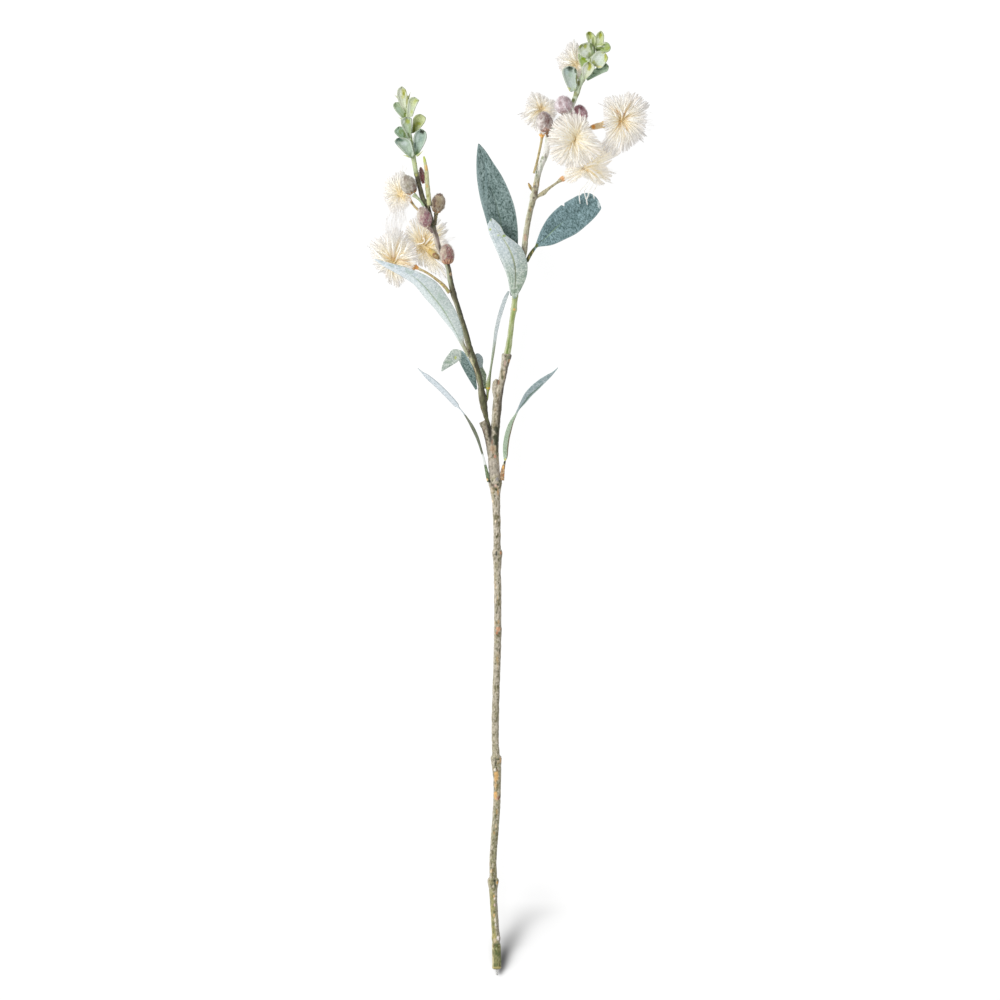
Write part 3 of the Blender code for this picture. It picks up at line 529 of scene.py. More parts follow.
    # a faint broad patch of painted shade to the right of the stem, above the cut end
    painted_glow_and_shade = maths("MULTIPLY", maths("MULTIPLY", bell(maths("SUBTRACT", u, 540.0), 27.0),
                                   bell(maths("SUBTRACT", v, 906.0), 26.0)), 0.085)
    shade = maths("ADD", maths("MULTIPLY", depth, fall), painted_glow_and_shade)
    links.new(maths("MULTIPLY_ADD", shade, -0.90, 0.95), shader.inputs["Emission Strength"])
    mesh.materials.append(mat)
    floor = bpy.data.objects.new("floor", mesh)
    bpy.context.scene.collection.objects.link(floor)
    floor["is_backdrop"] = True


studio()
bpy.context.scene.view_settings.view_transform = "Standard"

# ---------------------------------------------------------------- main stem
# plan rows (u, v) of the stem's middle line from the cut end to the collar
STEM_LINE = (
    (496.7, 968.6),
    (496.7, 955.0),
    (496.2, 941.0),
    (495.4, 930.0),
    (494.4, 912.0),
    (493.4, 896.0),
    (493.1, 884.0),
    (493.2, 872.0),
    (493.0, 860.0),
    (494.2, 840.0),
    (495.8, 820.0),
    (496.9, 800.0),
    (497.2, 786.0),
    (496.7, 770.0),
    (496.1, 757.0),
    (495.2, 738.0),
    (495.5, 710.0),
    (496.6, 675.0),
    (497.6, 640.0),
    (497.8, 600.0),
    (497.4, 570.0),
    (497.3, 552.0),
    (497.0, 530.0),
    (496.2, 506.0),
    (495.6, 492.0),
    (495.2, 482.0),
    (494.2, 468.0),
    (493.4, 456.0),
    (493.4, 442.0),
    (495.4, 426.0),
    (496.8, 410.0),
    (497.6, 400.0),
    (499.4, 390.0),
    (502.2, 379.0),
    (504.2, 368.0),
    (505.9, 360.0),
    (506.8, 353.9),
)
# widths (v, plan units): the sleeve, three flared joints, the fork
STEM_WIDTH = (
    (968.6, 7.6),
    (968.2, 8.9),
    (966.0, 9.0),
    (955.0, 8.8),
    (945.4, 8.8),
    (944.2, 8.3),
    (943.0, 7.5),
    (941.4, 7.7),
    (940.0, 8.6),
    (937.6, 9.0),
    (935.4, 8.2),
    (932.0, 7.6),
    (915.0, 7.3),
    (902.0, 7.4),
    (894.0, 8.0),
    (888.0, 9.0),
    (883.6, 10.6),
    (881.0, 11.4),
    (879.2, 10.8),
    (877.6, 8.4),
    (876.6, 7.3),
    (866.0, 7.2),
    (840.0, 7.3),
    (820.0, 7.2),
    (800.0, 7.3),
    (780.0, 7.9),
    (771.0, 8.9),
    (765.0, 9.6),
    (761.0, 10.7),
    (758.4, 11.3),
    (756.6, 10.4),
    (755.2, 8.0),
    (754.0, 7.2),
    (738.0, 7.1),
    (700.0, 7.3),
    (640.0, 7.2),
    (630.4, 7.9),
    (627.8, 8.1),
    (625.4, 7.2),
    (600.0, 7.2),
    (572.0, 7.3),
    (560.0, 8.4),
    (555.0, 9.8),
    (552.4, 10.3),
    (550.4, 9.2),
    (549.0, 7.6),
    (540.0, 7.3),
    (520.0, 7.5),
    (504.0, 8.0),
    (497.0, 9.0),
    (490.0, 10.8),
    (484.0, 13.4),
    (480.0, 13.8),
    (477.0, 12.0),
    (472.0, 11.0),
    (462.0, 11.2),
    (450.0, 10.8),
    (441.0, 10.8),
    (434.0, 9.8),
    (424.0, 8.8),
    (410.0, 9.2),
    (400.0, 9.0),
    (393.0, 8.8),
    (386.0, 7.6),
    (379.0, 6.9),
    (368.0, 7.3),
    (361.0, 8.4),
    (357.0, 9.9),
    (355.0, 10.2),
    (353.9, 9.0),
)
# joints with two lips that face each other across a notch: (v, depth, length)
NOTCHES = ((881.5, 0.9, 10.0), (758.5, 0.8, 10.5), (552.5, 0.6, 7.0), (487.0, 0.8, 6.0))
STEM_SPOTS = (
    (490.6, 431.0, 1.5, 6.4, (54, 50, 42), 0.85),
    (494.6, 425.6, 1.6, 5.0, (140, 128, 98), 0.6),
    (498.4, 432.0, 1.3, 13.0, (78, 68, 56), 0.75),
    (499.4, 414.0, 1.2, 12.0, (88, 78, 64), 0.6),
    (493.6, 406.0, 1.0, 6.0, (120, 112, 84), 0.6),
    (496.4, 417.6, 1.1, 2.4, (196, 186, 160), 0.7),
    (494.2, 398.0, 1.0, 3.0, (204, 192, 168), 0.6),
    (498.0, 402.0, 1.0, 3.4, (92, 80, 62), 0.7),
    (495.2, 919.5, 0.9, 2.6, (250, 240, 222), 1.0),
    (495.7, 924.6, 1.2, 1.6, (252, 246, 236), 1.0),
    (494.0, 915.6, 0.8, 2.0, (238, 196, 140), 0.8),
    (497.9, 938.0, 1.5, 2.2, (250, 240, 236), 1.0),
    (495.0, 940.6, 1.6, 2.4, (222, 205, 172), 0.9),
    (494.4, 898.6, 0.9, 1.3, (250, 236, 220), 1.0),
    (494.0, 896.0, 0.8, 1.4, (236, 190, 130), 0.8),
    (494.6, 905.0, 0.9, 1.6, (236, 206, 198), 0.9),
    (497.3, 882.6, 1.0, 1.5, (232, 176, 88), 0.95),
    (491.2, 871.0, 0.9, 2.2, (246, 222, 180), 0.95),
    (492.8, 870.0, 0.7, 2.0, (120, 92, 44), 0.8),
    (495.0, 884.0, 0.8, 6.0, (62, 72, 50), 0.85),
    (494.2, 881.0, 0.8, 1.6, (50, 56, 40), 0.85),
    (491.2, 882.0, 1.3, 2.6, (178, 168, 112), 0.5),
    # painted highlight: the pale cream spot on the stem's upper face
    (495.7, 826.0, 1.0, 2.4, (236, 214, 176), 0.8),
    (494.2, 833.0, 0.9, 2.0, (198, 150, 96), 0.6),
    (497.0, 812.0, 1.0, 2.6, (206, 166, 106), 0.6),
    (495.6, 795.0, 1.9, 4.6, (236, 184, 112), 0.85),
    (496.2, 776.0, 2.2, 5.4, (232, 184, 116), 0.85),
    (495.6, 785.0, 1.5, 4.4, (226, 184, 124), 0.6),
    (498.6, 797.5, 1.5, 2.0, (150, 96, 76), 0.7),
    (496.8, 798.6, 1.0, 1.4, (232, 170, 150), 0.7),
    (497.4, 787.6, 1.0, 3.0, (120, 110, 62), 0.75),
    (496.9, 781.6, 0.8, 1.4, (132, 112, 60), 0.7),
    (494.9, 769.9, 1.2, 1.5, (255, 248, 236), 1.0),
    (497.3, 769.9, 0.8, 1.5, (124, 78, 36), 0.95),
    (495.7, 762.6, 0.9, 4.8, (82, 76, 60), 0.85),
    (498.0, 759.2, 2.4, 0.9, (66, 78, 44), 0.9),
    (500.6, 760.0, 0.9, 3.0, (216, 172, 120), 0.7),
    (497.0, 660.0, 0.9, 3.4, (210, 176, 122), 0.5),
    (498.4, 629.0, 2.6, 2.6, (214, 160, 122), 0.85),
    (496.8, 633.0, 1.0, 2.0, (206, 130, 92), 0.75),
    (498.6, 622.0, 1.0, 2.4, (210, 170, 120), 0.6),
    (497.4, 598.0, 0.8, 3.0, (206, 180, 130), 0.5),
    (496.4, 553.6, 0.9, 2.6, (40, 52, 44), 0.9),
    (500.6, 553.0, 0.9, 1.6, (206, 146, 100), 0.8),
    (495.6, 521.4, 0.9, 1.4, (246, 230, 204), 0.9),
    (496.6, 523.0, 0.8, 1.8, (96, 84, 60), 0.7),
    (492.4, 501.4, 0.8, 1.2, (246, 222, 192), 0.95),
    (498.0, 515.0, 0.9, 1.8, (96, 84, 62), 0.6),
    (498.0, 492.6, 0.9, 3.2, (216, 164, 100), 0.75),
    (495.4, 485.8, 1.3, 1.5, (246, 212, 196), 0.95),
    (498.0, 484.2, 1.0, 1.6, (44, 56, 34), 0.95),
    (496.4, 489.4, 1.2, 1.3, (52, 60, 36), 0.95),
    (492.6, 485.0, 1.6, 1.8, (92, 76, 62), 0.8),
    (489.9, 481.4, 1.1, 1.9, (34, 34, 24), 0.95),
    (487.0, 479.4, 1.2, 1.5, (240, 194, 132), 1.0),
    (499.4, 481.0, 1.4, 1.8, (74, 80, 48), 0.8),
    (497.4, 479.4, 1.4, 2.0, (150, 148, 158), 0.7),
    (491.4, 449.0, 1.3, 5.6, (198, 164, 132), 0.7),
    (495.0, 456.8, 1.3, 1.6, (204, 150, 124), 0.8),
    (489.2, 435.0, 1.4, 4.0, (58, 56, 46), 0.8),
    (497.2, 442.0, 1.5, 13.0, (64, 58, 50), 0.85),
    (496.4, 429.0, 2.8, 3.2, (44, 52, 32), 0.85),
    (489.8, 424.6, 1.3, 5.0, (66, 60, 54), 0.7),
    (502.4, 377.6, 1.1, 2.6, (84, 94, 50), 0.85),
    (498.6, 382.0, 1.0, 3.0, (138, 92, 62), 0.8),
    (503.4, 391.0, 1.6, 3.0, (62, 48, 44), 0.8),
    (509.4, 361.0, 1.0, 2.0, (222, 174, 116), 0.8),
    (505.0, 356.6, 1.2, 1.4, (70, 66, 44), 0.7),
    (495.6, 440.0, 2.2, 6.6, (60, 66, 44), 0.9),
    (493.4, 449.4, 1.9, 4.6, (178, 150, 120), 0.75),
    (494.8, 456.2, 1.3, 2.0, (200, 146, 122), 0.75),
    (491.0, 455.0, 1.2, 3.6, (206, 198, 186), 0.6),
    (496.8, 449.0, 1.0, 4.0, (110, 98, 78), 0.7),
    (492.2, 442.0, 1.0, 2.4, (166, 128, 104), 0.7),
    (498.6, 366.0, 1.1, 3.0, (196, 160, 138), 0.6),
    (505.0, 363.0, 1.2, 4.6, (186, 150, 140), 0.55),
    (503.4, 358.0, 1.2, 2.4, (214, 208, 194), 0.7),
    (508.4, 357.6, 1.6, 2.0, (112, 122, 92), 0.7),
    (506.0, 359.4, 1.2, 1.6, (116, 120, 88), 0.7),
    (501.8, 373.0, 1.1, 5.0, (104, 98, 58), 0.75),
    (504.2, 377.0, 0.9, 3.0, (168, 150, 116), 0.6),
)


def bark_colour(p, q, side, low):
    """Bark paint at plan points p and stretched points q (mm).  side is how far
    the surface faces right, from -1 to 1, and low is 1 at the cut end."""
    base = mix(rgb(186, 177, 158), rgb(166, 164, 126), low)
    base = mix(base, rgb(150, 146, 104), 0.55 * step(grain(q, 2.3, 11), -0.1, 0.6))
    base = mix(base, rgb(205, 196, 176), 0.75 * step(grain(q, 1.5, 12), 0.15, 0.6))
    base = mix(base, rgb(110, 104, 66), 0.85 * step(grain(q, 1.25, 13), 0.22, 0.5))
    base = mix(base, rgb(84, 84, 56), 0.8 * step(grain(q, 0.9, 14), 0.42, 0.62))
    base = mix(base, rgb(205, 176, 128), 0.55 * step(grain(q, 2.6, 15), 0.46, 0.72))
    fine = q * np.array([1.0, 2.0, 1.0])
    base = mix(base, rgb(104, 98, 70), 0.5 * step(grain(fine, 0.95, 17), 0.15, 0.45))
    base = mix(base, rgb(226, 218, 200), 0.42 * step(grain(fine, 0.85, 18), 0.2, 0.5))
    base = mix(base, rgb(232, 220, 200), 0.8 * step(grain(q, 1.0, 16), 0.52, 0.72))
    # painted highlight on the left-facing side and painted shade on the right-facing side
    base = mix(base, rgb(205, 198, 184), 0.35 * step(-side, 0.45, 0.95))
    base = mix(base, rgb(120, 108, 84), 0.30 * step(side, 0.45, 0.95) * (0.2 + 0.8 * step(p[:, 1], 424.0, 470.0)))
    base = mix(base, rgb(206, 198, 180), 0.2 * step(-p[:, 1], -396.0, -380.0))
    return base


def union(target, others):
    for other in others:
        mod = target.modifiers.new("join", "BOOLEAN")
        mod.operation = "UNION"
        mod.solver = "EXACT"
        mod.object = other
    graph = bpy.context.evaluated_depsgraph_get()
    graph.update()
    mesh = bpy.data.meshes.new_from_object(target.evaluated_get(graph), depsgraph=graph)
    target.modifiers.clear()
    target.data = mesh
    for other in others:
        bpy.data.objects.remove(other, do_unlink=True)
    return mesh


def roughen(mesh, amount, stretch, seed):
    """Moves a closed mesh's points along their normals like worn bark, and
    returns its points, normals and the stretched points used."""
    n = len(mesh.vertices)
    co = np.empty(n * 3, np.float32)
    mesh.vertices.foreach_get("co", co)
    co = co.reshape(-1, 3).astype(float)
    no = np.empty(n * 3, np.float32)
    mesh.vertex_normals.foreach_get("vector", no)
    no = no.reshape(-1, 3).astype(float)
    q = co / MM * np.array([1.0, stretch, 1.0])
    lift = (
        0.16 * grain(q, 2.4, seed)
        + 0.10 * grain(q, 1.1, seed + 1)
        + 0.05 * grain(q, 0.55, seed + 2)
        - 0.20 * step(grain(q, 1.25, 13), 0.22, 0.5)
        - 0.16 * step(grain(q, 0.9, 14), 0.42, 0.62)
        + 0.14 * step(grain(q, 1.0, 16), 0.52, 0.72)
        + 0.10 * step(grain(q, 2.6, 15), 0.42, 0.7)
    )
    moved = co + no * (lift * amount * MM)[:, None]
    moved[:, 2] = np.maximum(moved[:, 2], 0.00002)
    mesh.vertices.foreach_set("co", moved.astype(np.float32).ravel())
    mesh.update()
    return co, no, q


def build_stem():
    line = smooth([(u, v, 0.0) for u, v in STEM_LINE], 1600)
    rows = np.linspace(968.6, 353.9, 820)
    order = np.argsort(line[:, 1])
    u = np.interp(rows, line[order, 1], line[order, 0])
    table = np.array(STEM_WIDTH)[::-1]
    w = np.interp(rows, table[:, 0], table[:, 1])
    z = axis_height(rows)
    path = place(np.stack([u, rows, z], -1))
    sides = 40
    k = PLAN_UNIT * (VIEW_HEIGHT - z * MM) / VIEW_HEIGHT
    radii = np.repeat((0.5 * w * k)[:, None], sides, axis=1)
    angle = 2 * np.pi * np.arange(sides) / sides  # 0 is up, and it turns about the path
    base = np.interp(rows, [353.9, 968.6], [7.2, 7.2]) * 0.5 * k
    for at, depth, length in NOTCHES:
        near = np.clip((rows - at + 1.5) / length, 0, 1) * (rows > at - 1.5)
        fade = np.where(near > 0, (1 - near) ** 0.8, 0.0)
        across = np.maximum(
            np.exp(-(((angle + np.pi) % (2 * np.pi) - np.pi) / 0.42) ** 2),
            np.exp(-((angle - np.pi) / 0.42) ** 2),
        )
        room = np.maximum(radii - (base * 0.86)[:, None], 0.0)
        radii = radii - depth * room * fade[:, None] * across[None, :]
    verts, faces = tube(path, radii, sides)
    verts[:, 2] = np.maximum(verts[:, 2], 0.00002)
    grey = np.full((len(verts), 3), 0.4)
    trunk = mesh_object("main_stem_bark", verts, faces, BARK, grey)

    def stub(name, stations, sides=32, steps=60):
        rows = smooth(stations, steps)
        pts = place(rows[:, :3])
        v, f = tube(pts, rows[:, 3] * MM, sides)
        return mesh_object(name, v, f, BARK, np.full((len(v), 3), 0.4))

    left = stub(
        "left_socket",
        [
            (492.0, 462.0, float(axis_height(462)), 2.6),
            (491.2, 450.0, float(axis_height(450)), 3.9),
            (490.2, 443.0, float(axis_height(443)), 4.0),
            (488.3, 435.6, float(axis_height(435.6)), 3.6),
            (485.8, 428.6, float(axis_height(428.6)), 3.3),
            (483.3, 422.8, float(axis_height(422.6)), 3.3),
            (482.5, 421.2, float(axis_height(421.2)), 3.2),
        ],
    )
    side = stub(
        "side_stub",
        [
            (497.2, 402.0, float(axis_height(396)) - 0.4, 2.3),
            (495.6, 391.0, float(axis_height(389)), 2.95),
            (495.3, 384.0, float(axis_height(384)), 2.75),
            (496.2, 380.6, float(axis_height(380)), 1.8),
            (496.6, 379.0, float(axis_height(379)), 0.9),
        ],
    )
    mesh = union(trunk, [left, side])
    mesh.polygons.foreach_set("use_smooth", np.ones(len(mesh.polygons), bool))
    co, no, q = roughen(mesh, 1.0, 0.42, 21)
    p = plan(co)
    low = step(p[:, 1], 640.0, 900.0)
    colour = bark_colour(p, q, no[:, 0], low)
    # the sleeve at the cut end is greener, with a cream lip, and a painted highlight on its left-facing side
    sleeve = step(p[:, 1], 942.5, 944.5)
    green = mix(rgb(148, 148, 100), rgb(96, 108, 62), step(grain(q, 1.5, 31), -0.25, 0.5))
    green = mix(green, rgb(196, 190, 148), 0.7 * step(grain(q, 1.1, 32), 0.35, 0.6))
    green = mix(green, rgb(226, 216, 170), 0.75 * step(-no[:, 0], 0.55, 0.9))
    green = mix(green, rgb(120, 88, 52), 0.6 * step(grain(q, 0.9, 33), 0.36, 0.6))
    green = mix(green, rgb(72, 88, 44), 0.6 * step(grain(q, 1.0, 34), 0.25, 0.55))
    above = step(p[:, 1], 884.0, 900.0) * (1 - sleeve)
    olive = mix(rgb(176, 168, 98), rgb(120, 122, 60), step(grain(q, 1.4, 35), -0.1, 0.5))
    colour = mix(colour, olive, 0.62 * above * step(-no[:, 0], -0.45, 0.25))
    colour = mix(colour, rgb(172, 162, 156), 0.5 * above * step(no[:, 0], 0.35, 0.8))
    colour = mix(colour, green, sleeve)
    lip = step(p[:, 1], 966.0, 967.6) * step(968.6 - p[:, 1], -0.4, 0.2)
    colour = mix(colour, rgb(205, 188, 126), 0.8 * lip)
    face = step(-no[:, 1], 0.8, 0.97) * step(p[:, 1], 966.5, 968.0)
    colour = mix(colour, rgb(150, 136, 100), 0.8 * face)
    # painted shade on the right-facing side and a painted highlight on the left-facing side below the collar
    upper = step(-p[:, 1], -432.0, -420.0)
    colour = mix(colour, rgb(74, 62, 54), 0.72 * upper * step(no[:, 0], 0.30, 0.8))
    colour = mix(colour, rgb(208, 204, 188), 0.6 * upper * step(-no[:, 0], 0.35, 0.85))
    colour = mix(colour, rgb(96, 88, 74), 0.34 * upper * step(p[:, 1], 388.0, 396.0) * step(no[:, 0], -0.7, 0.0))
    colour = mix(colour, rgb(196, 186, 178), 0.45 * step(-p[:, 1], -478, -472) * step(p[:, 1], 458, 462))
    # the cut face of the left socket
    cut = step(no @ np.array([-0.72, 0.69, 0.0]), 0.75, 0.95) * step(-p[:, 1], -427.0, -424.0)
    colour = mix(colour, rgb(222, 182, 164), cut * step(490.0 - p[:, 0], 0.0, 2.0))
    # painted shade: a dark patch in the crotch where the left branch leaves, and mauve-brown flecks beside it
    hollow = np.exp(-(((p[:, 0] - np.interp(p[:, 1], [424, 447], [487.6, 492.6])) / 1.9) ** 2))
    hollow = hollow * step(p[:, 1], 423.0, 426.0) * step(-p[:, 1], -448.0, -441.0) * step(no[:, 2], -0.1, 0.3)
    colour = mix(colour, rgb(44, 40, 34), 0.88 * hollow)
    side_fleck = step(-p[:, 0], -488.0, -486.0) * step(p[:, 1], 421.0, 424.0) * step(-p[:, 1], -452.0, -446.0)
    colour = mix(colour, rgb(132, 96, 88), 0.55 * side_fleck * step(grain(q, 1.2, 36), 0.0, 0.4))
    # what faces the sky carries the spots; the rest keeps the plain bark
    colour = mix(colour, spots(colour, p, STEM_SPOTS), step(no[:, 2], -0.25, 0.1))
    paint(mesh, colour)
    stand_for(trunk, "main_stem")


build_stem()


def build_wire():
    rows = smooth(
        [
            (496.9, 968.9, CUT_END_RADIUS - 0.1, WIRE_RADIUS),
            (497.0, 972.0, CUT_END_RADIUS - 0.3, WIRE_RADIUS),
            (497.1, 975.2, CUT_END_RADIUS - 0.5, WIRE_RADIUS * 0.9),
        ],
        40,
    )
    radius = rows[:, 3].copy()
    radius[-3:] *= (0.97, 0.86, 0.62)
    sides = 24
    angle = 2 * np.pi * np.arange(sides) / sides
    shape = 1 + 0.03 * np.cos(5 * angle)[None, :] + 0.015 * np.sin(rows[:, 1] * 9)[:, None]
    verts, faces = tube(place(rows[:, :3]), radius[:, None] * shape * MM, sides)
    q = verts / MM
    colour = mix(rgb(240, 240, 238), rgb(196, 196, 194), step(grain(q, 0.8, 5), 0.0, 0.6))
    obj = mesh_object("wire_tip", verts, faces, WIRE, colour)
    stand_for(obj, "wire_core")


build_wire()

# ------------------------------------------------------------- side branches
LEFT_LINE = (
    (489.8, 429.0, 2.4),
    (488.8, 424.0, 3.2),
    (486.5, 418.4, 4.4),
    (485.2, 413.0, 5.4),
    (483.8, 407.0, 6.6),
    (482.8, 400.0, 8.2),
    (481.6, 393.0, 7.6),
    (480.6, 386.0, 5.6),
    (478.4, 376.0, 6.8),
    (475.6, 368.0, 7.2),
    (473.2, 361.0, 8.2),
    (470.9, 352.0, 6.4),
    (468.2, 342.5, 6.0),
    (465.8, 333.6, 5.9),
    (463.0, 324.0, 5.6),
    (460.4, 315.7, 5.2),
    (457.4, 306.0, 5.0),
    (453.6, 294.5, 5.6),
    (450.2, 280.0, 5.4),
    (448.2, 268.0, 5.2),
    (444.8, 258.5, 5.2),
    (438.8, 247.0, 5.2),
    (435.9, 236.0, 5.2),
    (432.6, 226.0, 5.4),
    (430.0, 215.0, 4.8),
    (427.4, 206.0, 4.8),
    (423.0, 198.5, 5.0),
    (419.8, 187.0, 4.8),
    (416.4, 174.0, 4.6),
    (414.0, 160.0, 4.6),
    (412.2, 148.0, 3.8),
    (410.4, 135.0, 3.2),
    (408.2, 123.0, 2.7),
    (406.6, 113.4, 2.2),
)
RIGHT_LINE = (
    (505.7, 361.0, 5.6),
    (506.5, 356.6, 6.4),
    (507.3, 352.8, 6.8),
    (508.6, 346.0, 6.2),
    (509.7, 338.0, 5.8),
    (512.0, 320.0, 5.3),
    (513.8, 309.5, 5.8),
    (514.9, 297.0, 5.8),
    (518.8, 275.0, 5.4),
    (524.0, 252.0, 5.8),
    (525.6, 237.0, 5.8),
    (527.9, 222.0, 5.6),
    (530.6, 209.0, 5.6),
    (533.4, 197.5, 6.4),
    (535.2, 190.0, 6.0),
    (538.2, 174.5, 6.0),
    (542.0, 163.0, 6.2),
    (546.0, 154.0, 6.0),
    (547.6, 143.0, 5.8),
    (549.0, 133.0, 5.6),
    (557.0, 122.0, 5.4),
    (566.6, 115.4, 5.2),
    (572.6, 104.0, 5.2),
    (576.0, 95.0, 5.2),
    (579.2, 85.6, 5.6),
    (582.2, 78.6, 6.4),
    (586.6, 70.0, 5.0),
    (590.6, 59.0, 4.2),
    (593.4, 52.0, 4.4),
    (594.8, 46.4, 3.0),
)


def branch_rows(line, count):
    rows = smooth([(u, v, float(axis_height(v)), w) for u, v, w in line], count)
    rows[:, 2] = axis_height(rows[:, 1])
    return rows


def build_branch(name, node, line, knots, count, sides, mat, ridge, shade, spur=None):
    rows = branch_rows(line, count)
    k = PLAN_UNIT * (VIEW_HEIGHT - rows[:, 2] * MM) / VIEW_HEIGHT
    radius = 0.5 * rows[:, 3] * k
    for at, extra, half in knots:
        radius = radius + extra * MM * np.exp(-(((rows[:, 1] - at) / half) ** 2))
    radius[0] *= 0.8
    radius[-1] *= 0.6
    angle = 2 * np.pi * np.arange(sides) / sides
    along = np.arange(count)[:, None]
    twist = angle[None, :] + 0.9 * np.sin(along * 0.011)
    shape = 1 + ridge * (0.6 * np.cos(3 * twist + 0.4) + 0.4 * np.cos(5 * twist + 2.0))
    path = place(rows[:, :3])
    verts, faces = tube(path, radius[:, None] * shape, sides)
    obj = mesh_object(name, verts, faces, mat, np.full((len(verts), 3), 0.4))
    if spur:
        dense = smooth(spur, 16)
        v, f = tube(place(dense[:, :3]), dense[:, 3] * MM, 12)
        union(obj, [mesh_object("spur", v, f, mat, np.full((len(v), 3), 0.4))])
        obj.data.polygons.foreach_set("use_smooth", np.ones(len(obj.data.polygons), bool))
    co, no, q = roughen(obj.data, 0.72, 0.36, 41)
    p = plan(co)
    middle = np.interp(p[:, 1], rows[::-1, 1], rows[::-1, 0])
    paint(obj.data, shade(p, q, no, p[:, 0] - middle))
    stand_for(obj, node)
    return obj


def left_shade(p, q, no, off):
    c = np.broadcast_to(rgb(92, 88, 66), (len(p), 3)).copy()
    c = mix(c, rgb(128, 128, 92), 0.7 * step(grain(q, 1.9, 51), 0.0, 0.55))
    c = mix(c, rgb(56, 54, 40), 0.8 * step(grain(q, 1.5, 52), 0.08, 0.5))
    c = mix(c, rgb(166, 158, 122), 0.6 * step(grain(q, 1.1, 53), 0.35, 0.6))
    c = mix(c, rgb(110, 124, 84), 0.45 * step(grain(q, 3.4, 54), 0.0, 0.6))
    # painted highlight: pale paint along the left side of the twig, here and in the pale left-side mixes below
    pale = rgb(196, 190, 148)
    painted_highlight = step(-off, 0.3, 1.6) * (0.45 + 0.35 * grain(q * np.array([1, 0.4, 1]), 2.5, 55))
    c = mix(c, pale, np.clip(painted_highlight * step(p[:, 1], 300.0, 330.0), 0, 0.85))
    c = mix(c, rgb(216, 202, 152), 0.8 * step(-off, 0.8, 1.9) * step(p[:, 1], 358, 362) * step(-p[:, 1], -390, -382))
    c = mix(c, rgb(132, 138, 88), 0.6 * step(p[:, 1], 318, 344) * step(off, -1.8, -0.2) * step(grain(q, 1.5, 48), -0.35, 0.3))
    c = mix(c, rgb(62, 56, 38), 0.65 * step(grain(q, 0.95, 49), 0.1, 0.4) * step(p[:, 1], 330.0, 346.0))
    c = mix(c, rgb(216, 212, 184), 0.7 * step(-off, 0.5, 1.6) * step(p[:, 1], 290.0, 312.0) * step(-p[:, 1], -400.0, -388.0))
    # painted shade: darker paint along the right side
    c = mix(c, rgb(48, 42, 32), 0.6 * step(off, 0.0, 1.6) * step(p[:, 1], 280.0, 294.0) * step(-p[:, 1], -352.0, -334.0))
    c = mix(c, rgb(72, 74, 48), 0.45 * step(p[:, 1], 384.0, 392.0))
    # mauve and grey stretch beside the blossoms, paler green above
    c = mix(c, rgb(178, 162, 152), 0.8 * step(-p[:, 1], -262, -246) * step(p[:, 1], 226, 232) * step(grain(q, 2.0, 56), -0.4, 0.3))
    c = mix(c, rgb(182, 190, 164), 0.75 * step(-p[:, 1], -292, -278) * step(p[:, 1], 258, 264) * step(-off, -0.4, 0.9))
    c = mix(c, rgb(54, 48, 34), 0.55 * step(-p[:, 1], -206, -196) * step(p[:, 1], 168, 176) * step(grain(q, 2.4, 57), -0.5, 0.2))
    top = step(-p[:, 1], -178.0, -168.0)
    green = mix(rgb(188, 202, 158), rgb(150, 168, 104), step(grain(q, 1.8, 58), -0.2, 0.5))
    c = mix(c, green, 0.92 * top)
    mauve = step(-p[:, 1], -264, -250) * step(p[:, 1], 224, 230)
    # painted highlight on the left side of the mauve stretch
    c = mix(c, rgb(214, 204, 194), 0.6 * mauve * step(-off, 0.2, 1.6))
    c = mix(c, rgb(96, 76, 70), 0.5 * mauve * step(grain(q, 1.2, 59), 0.25, 0.55))
    # painted shade along the right side of the twig
    c = mix(c, rgb(60, 54, 46), 0.6 * step(off, 0.9, 2.2) * (1 - top) * (1 - 0.9 * mauve))
    c = mix(c, rgb(140, 118, 120), 0.6 * mauve * step(off, -0.8, 0.8) * step(grain(q, 1.6, 50), -0.4, 0.2))
    return spots(
        c,
        p,
        (
            (451.0, 274.0, 1.8, 1.6, (196, 168, 132), 0.9),
            (451.4, 274.0, 0.7, 0.7, (110, 78, 58), 0.9),
            (441.6, 246.0, 1.2, 2.6, (160, 140, 138), 0.6),
            (480.4, 407.5, 1.2, 1.6, (120, 92, 54), 0.8),
            (469.0, 351.0, 1.0, 4.0, (92, 66, 40), 0.7),
            (475.0, 371.0, 1.2, 3.2, (232, 214, 176), 0.8),
            (416.4, 175.0, 1.6, 1.6, (186, 190, 110), 0.7),
            (415.4, 164.0, 0.9, 2.2, (190, 196, 120), 0.7),
        ),
    )


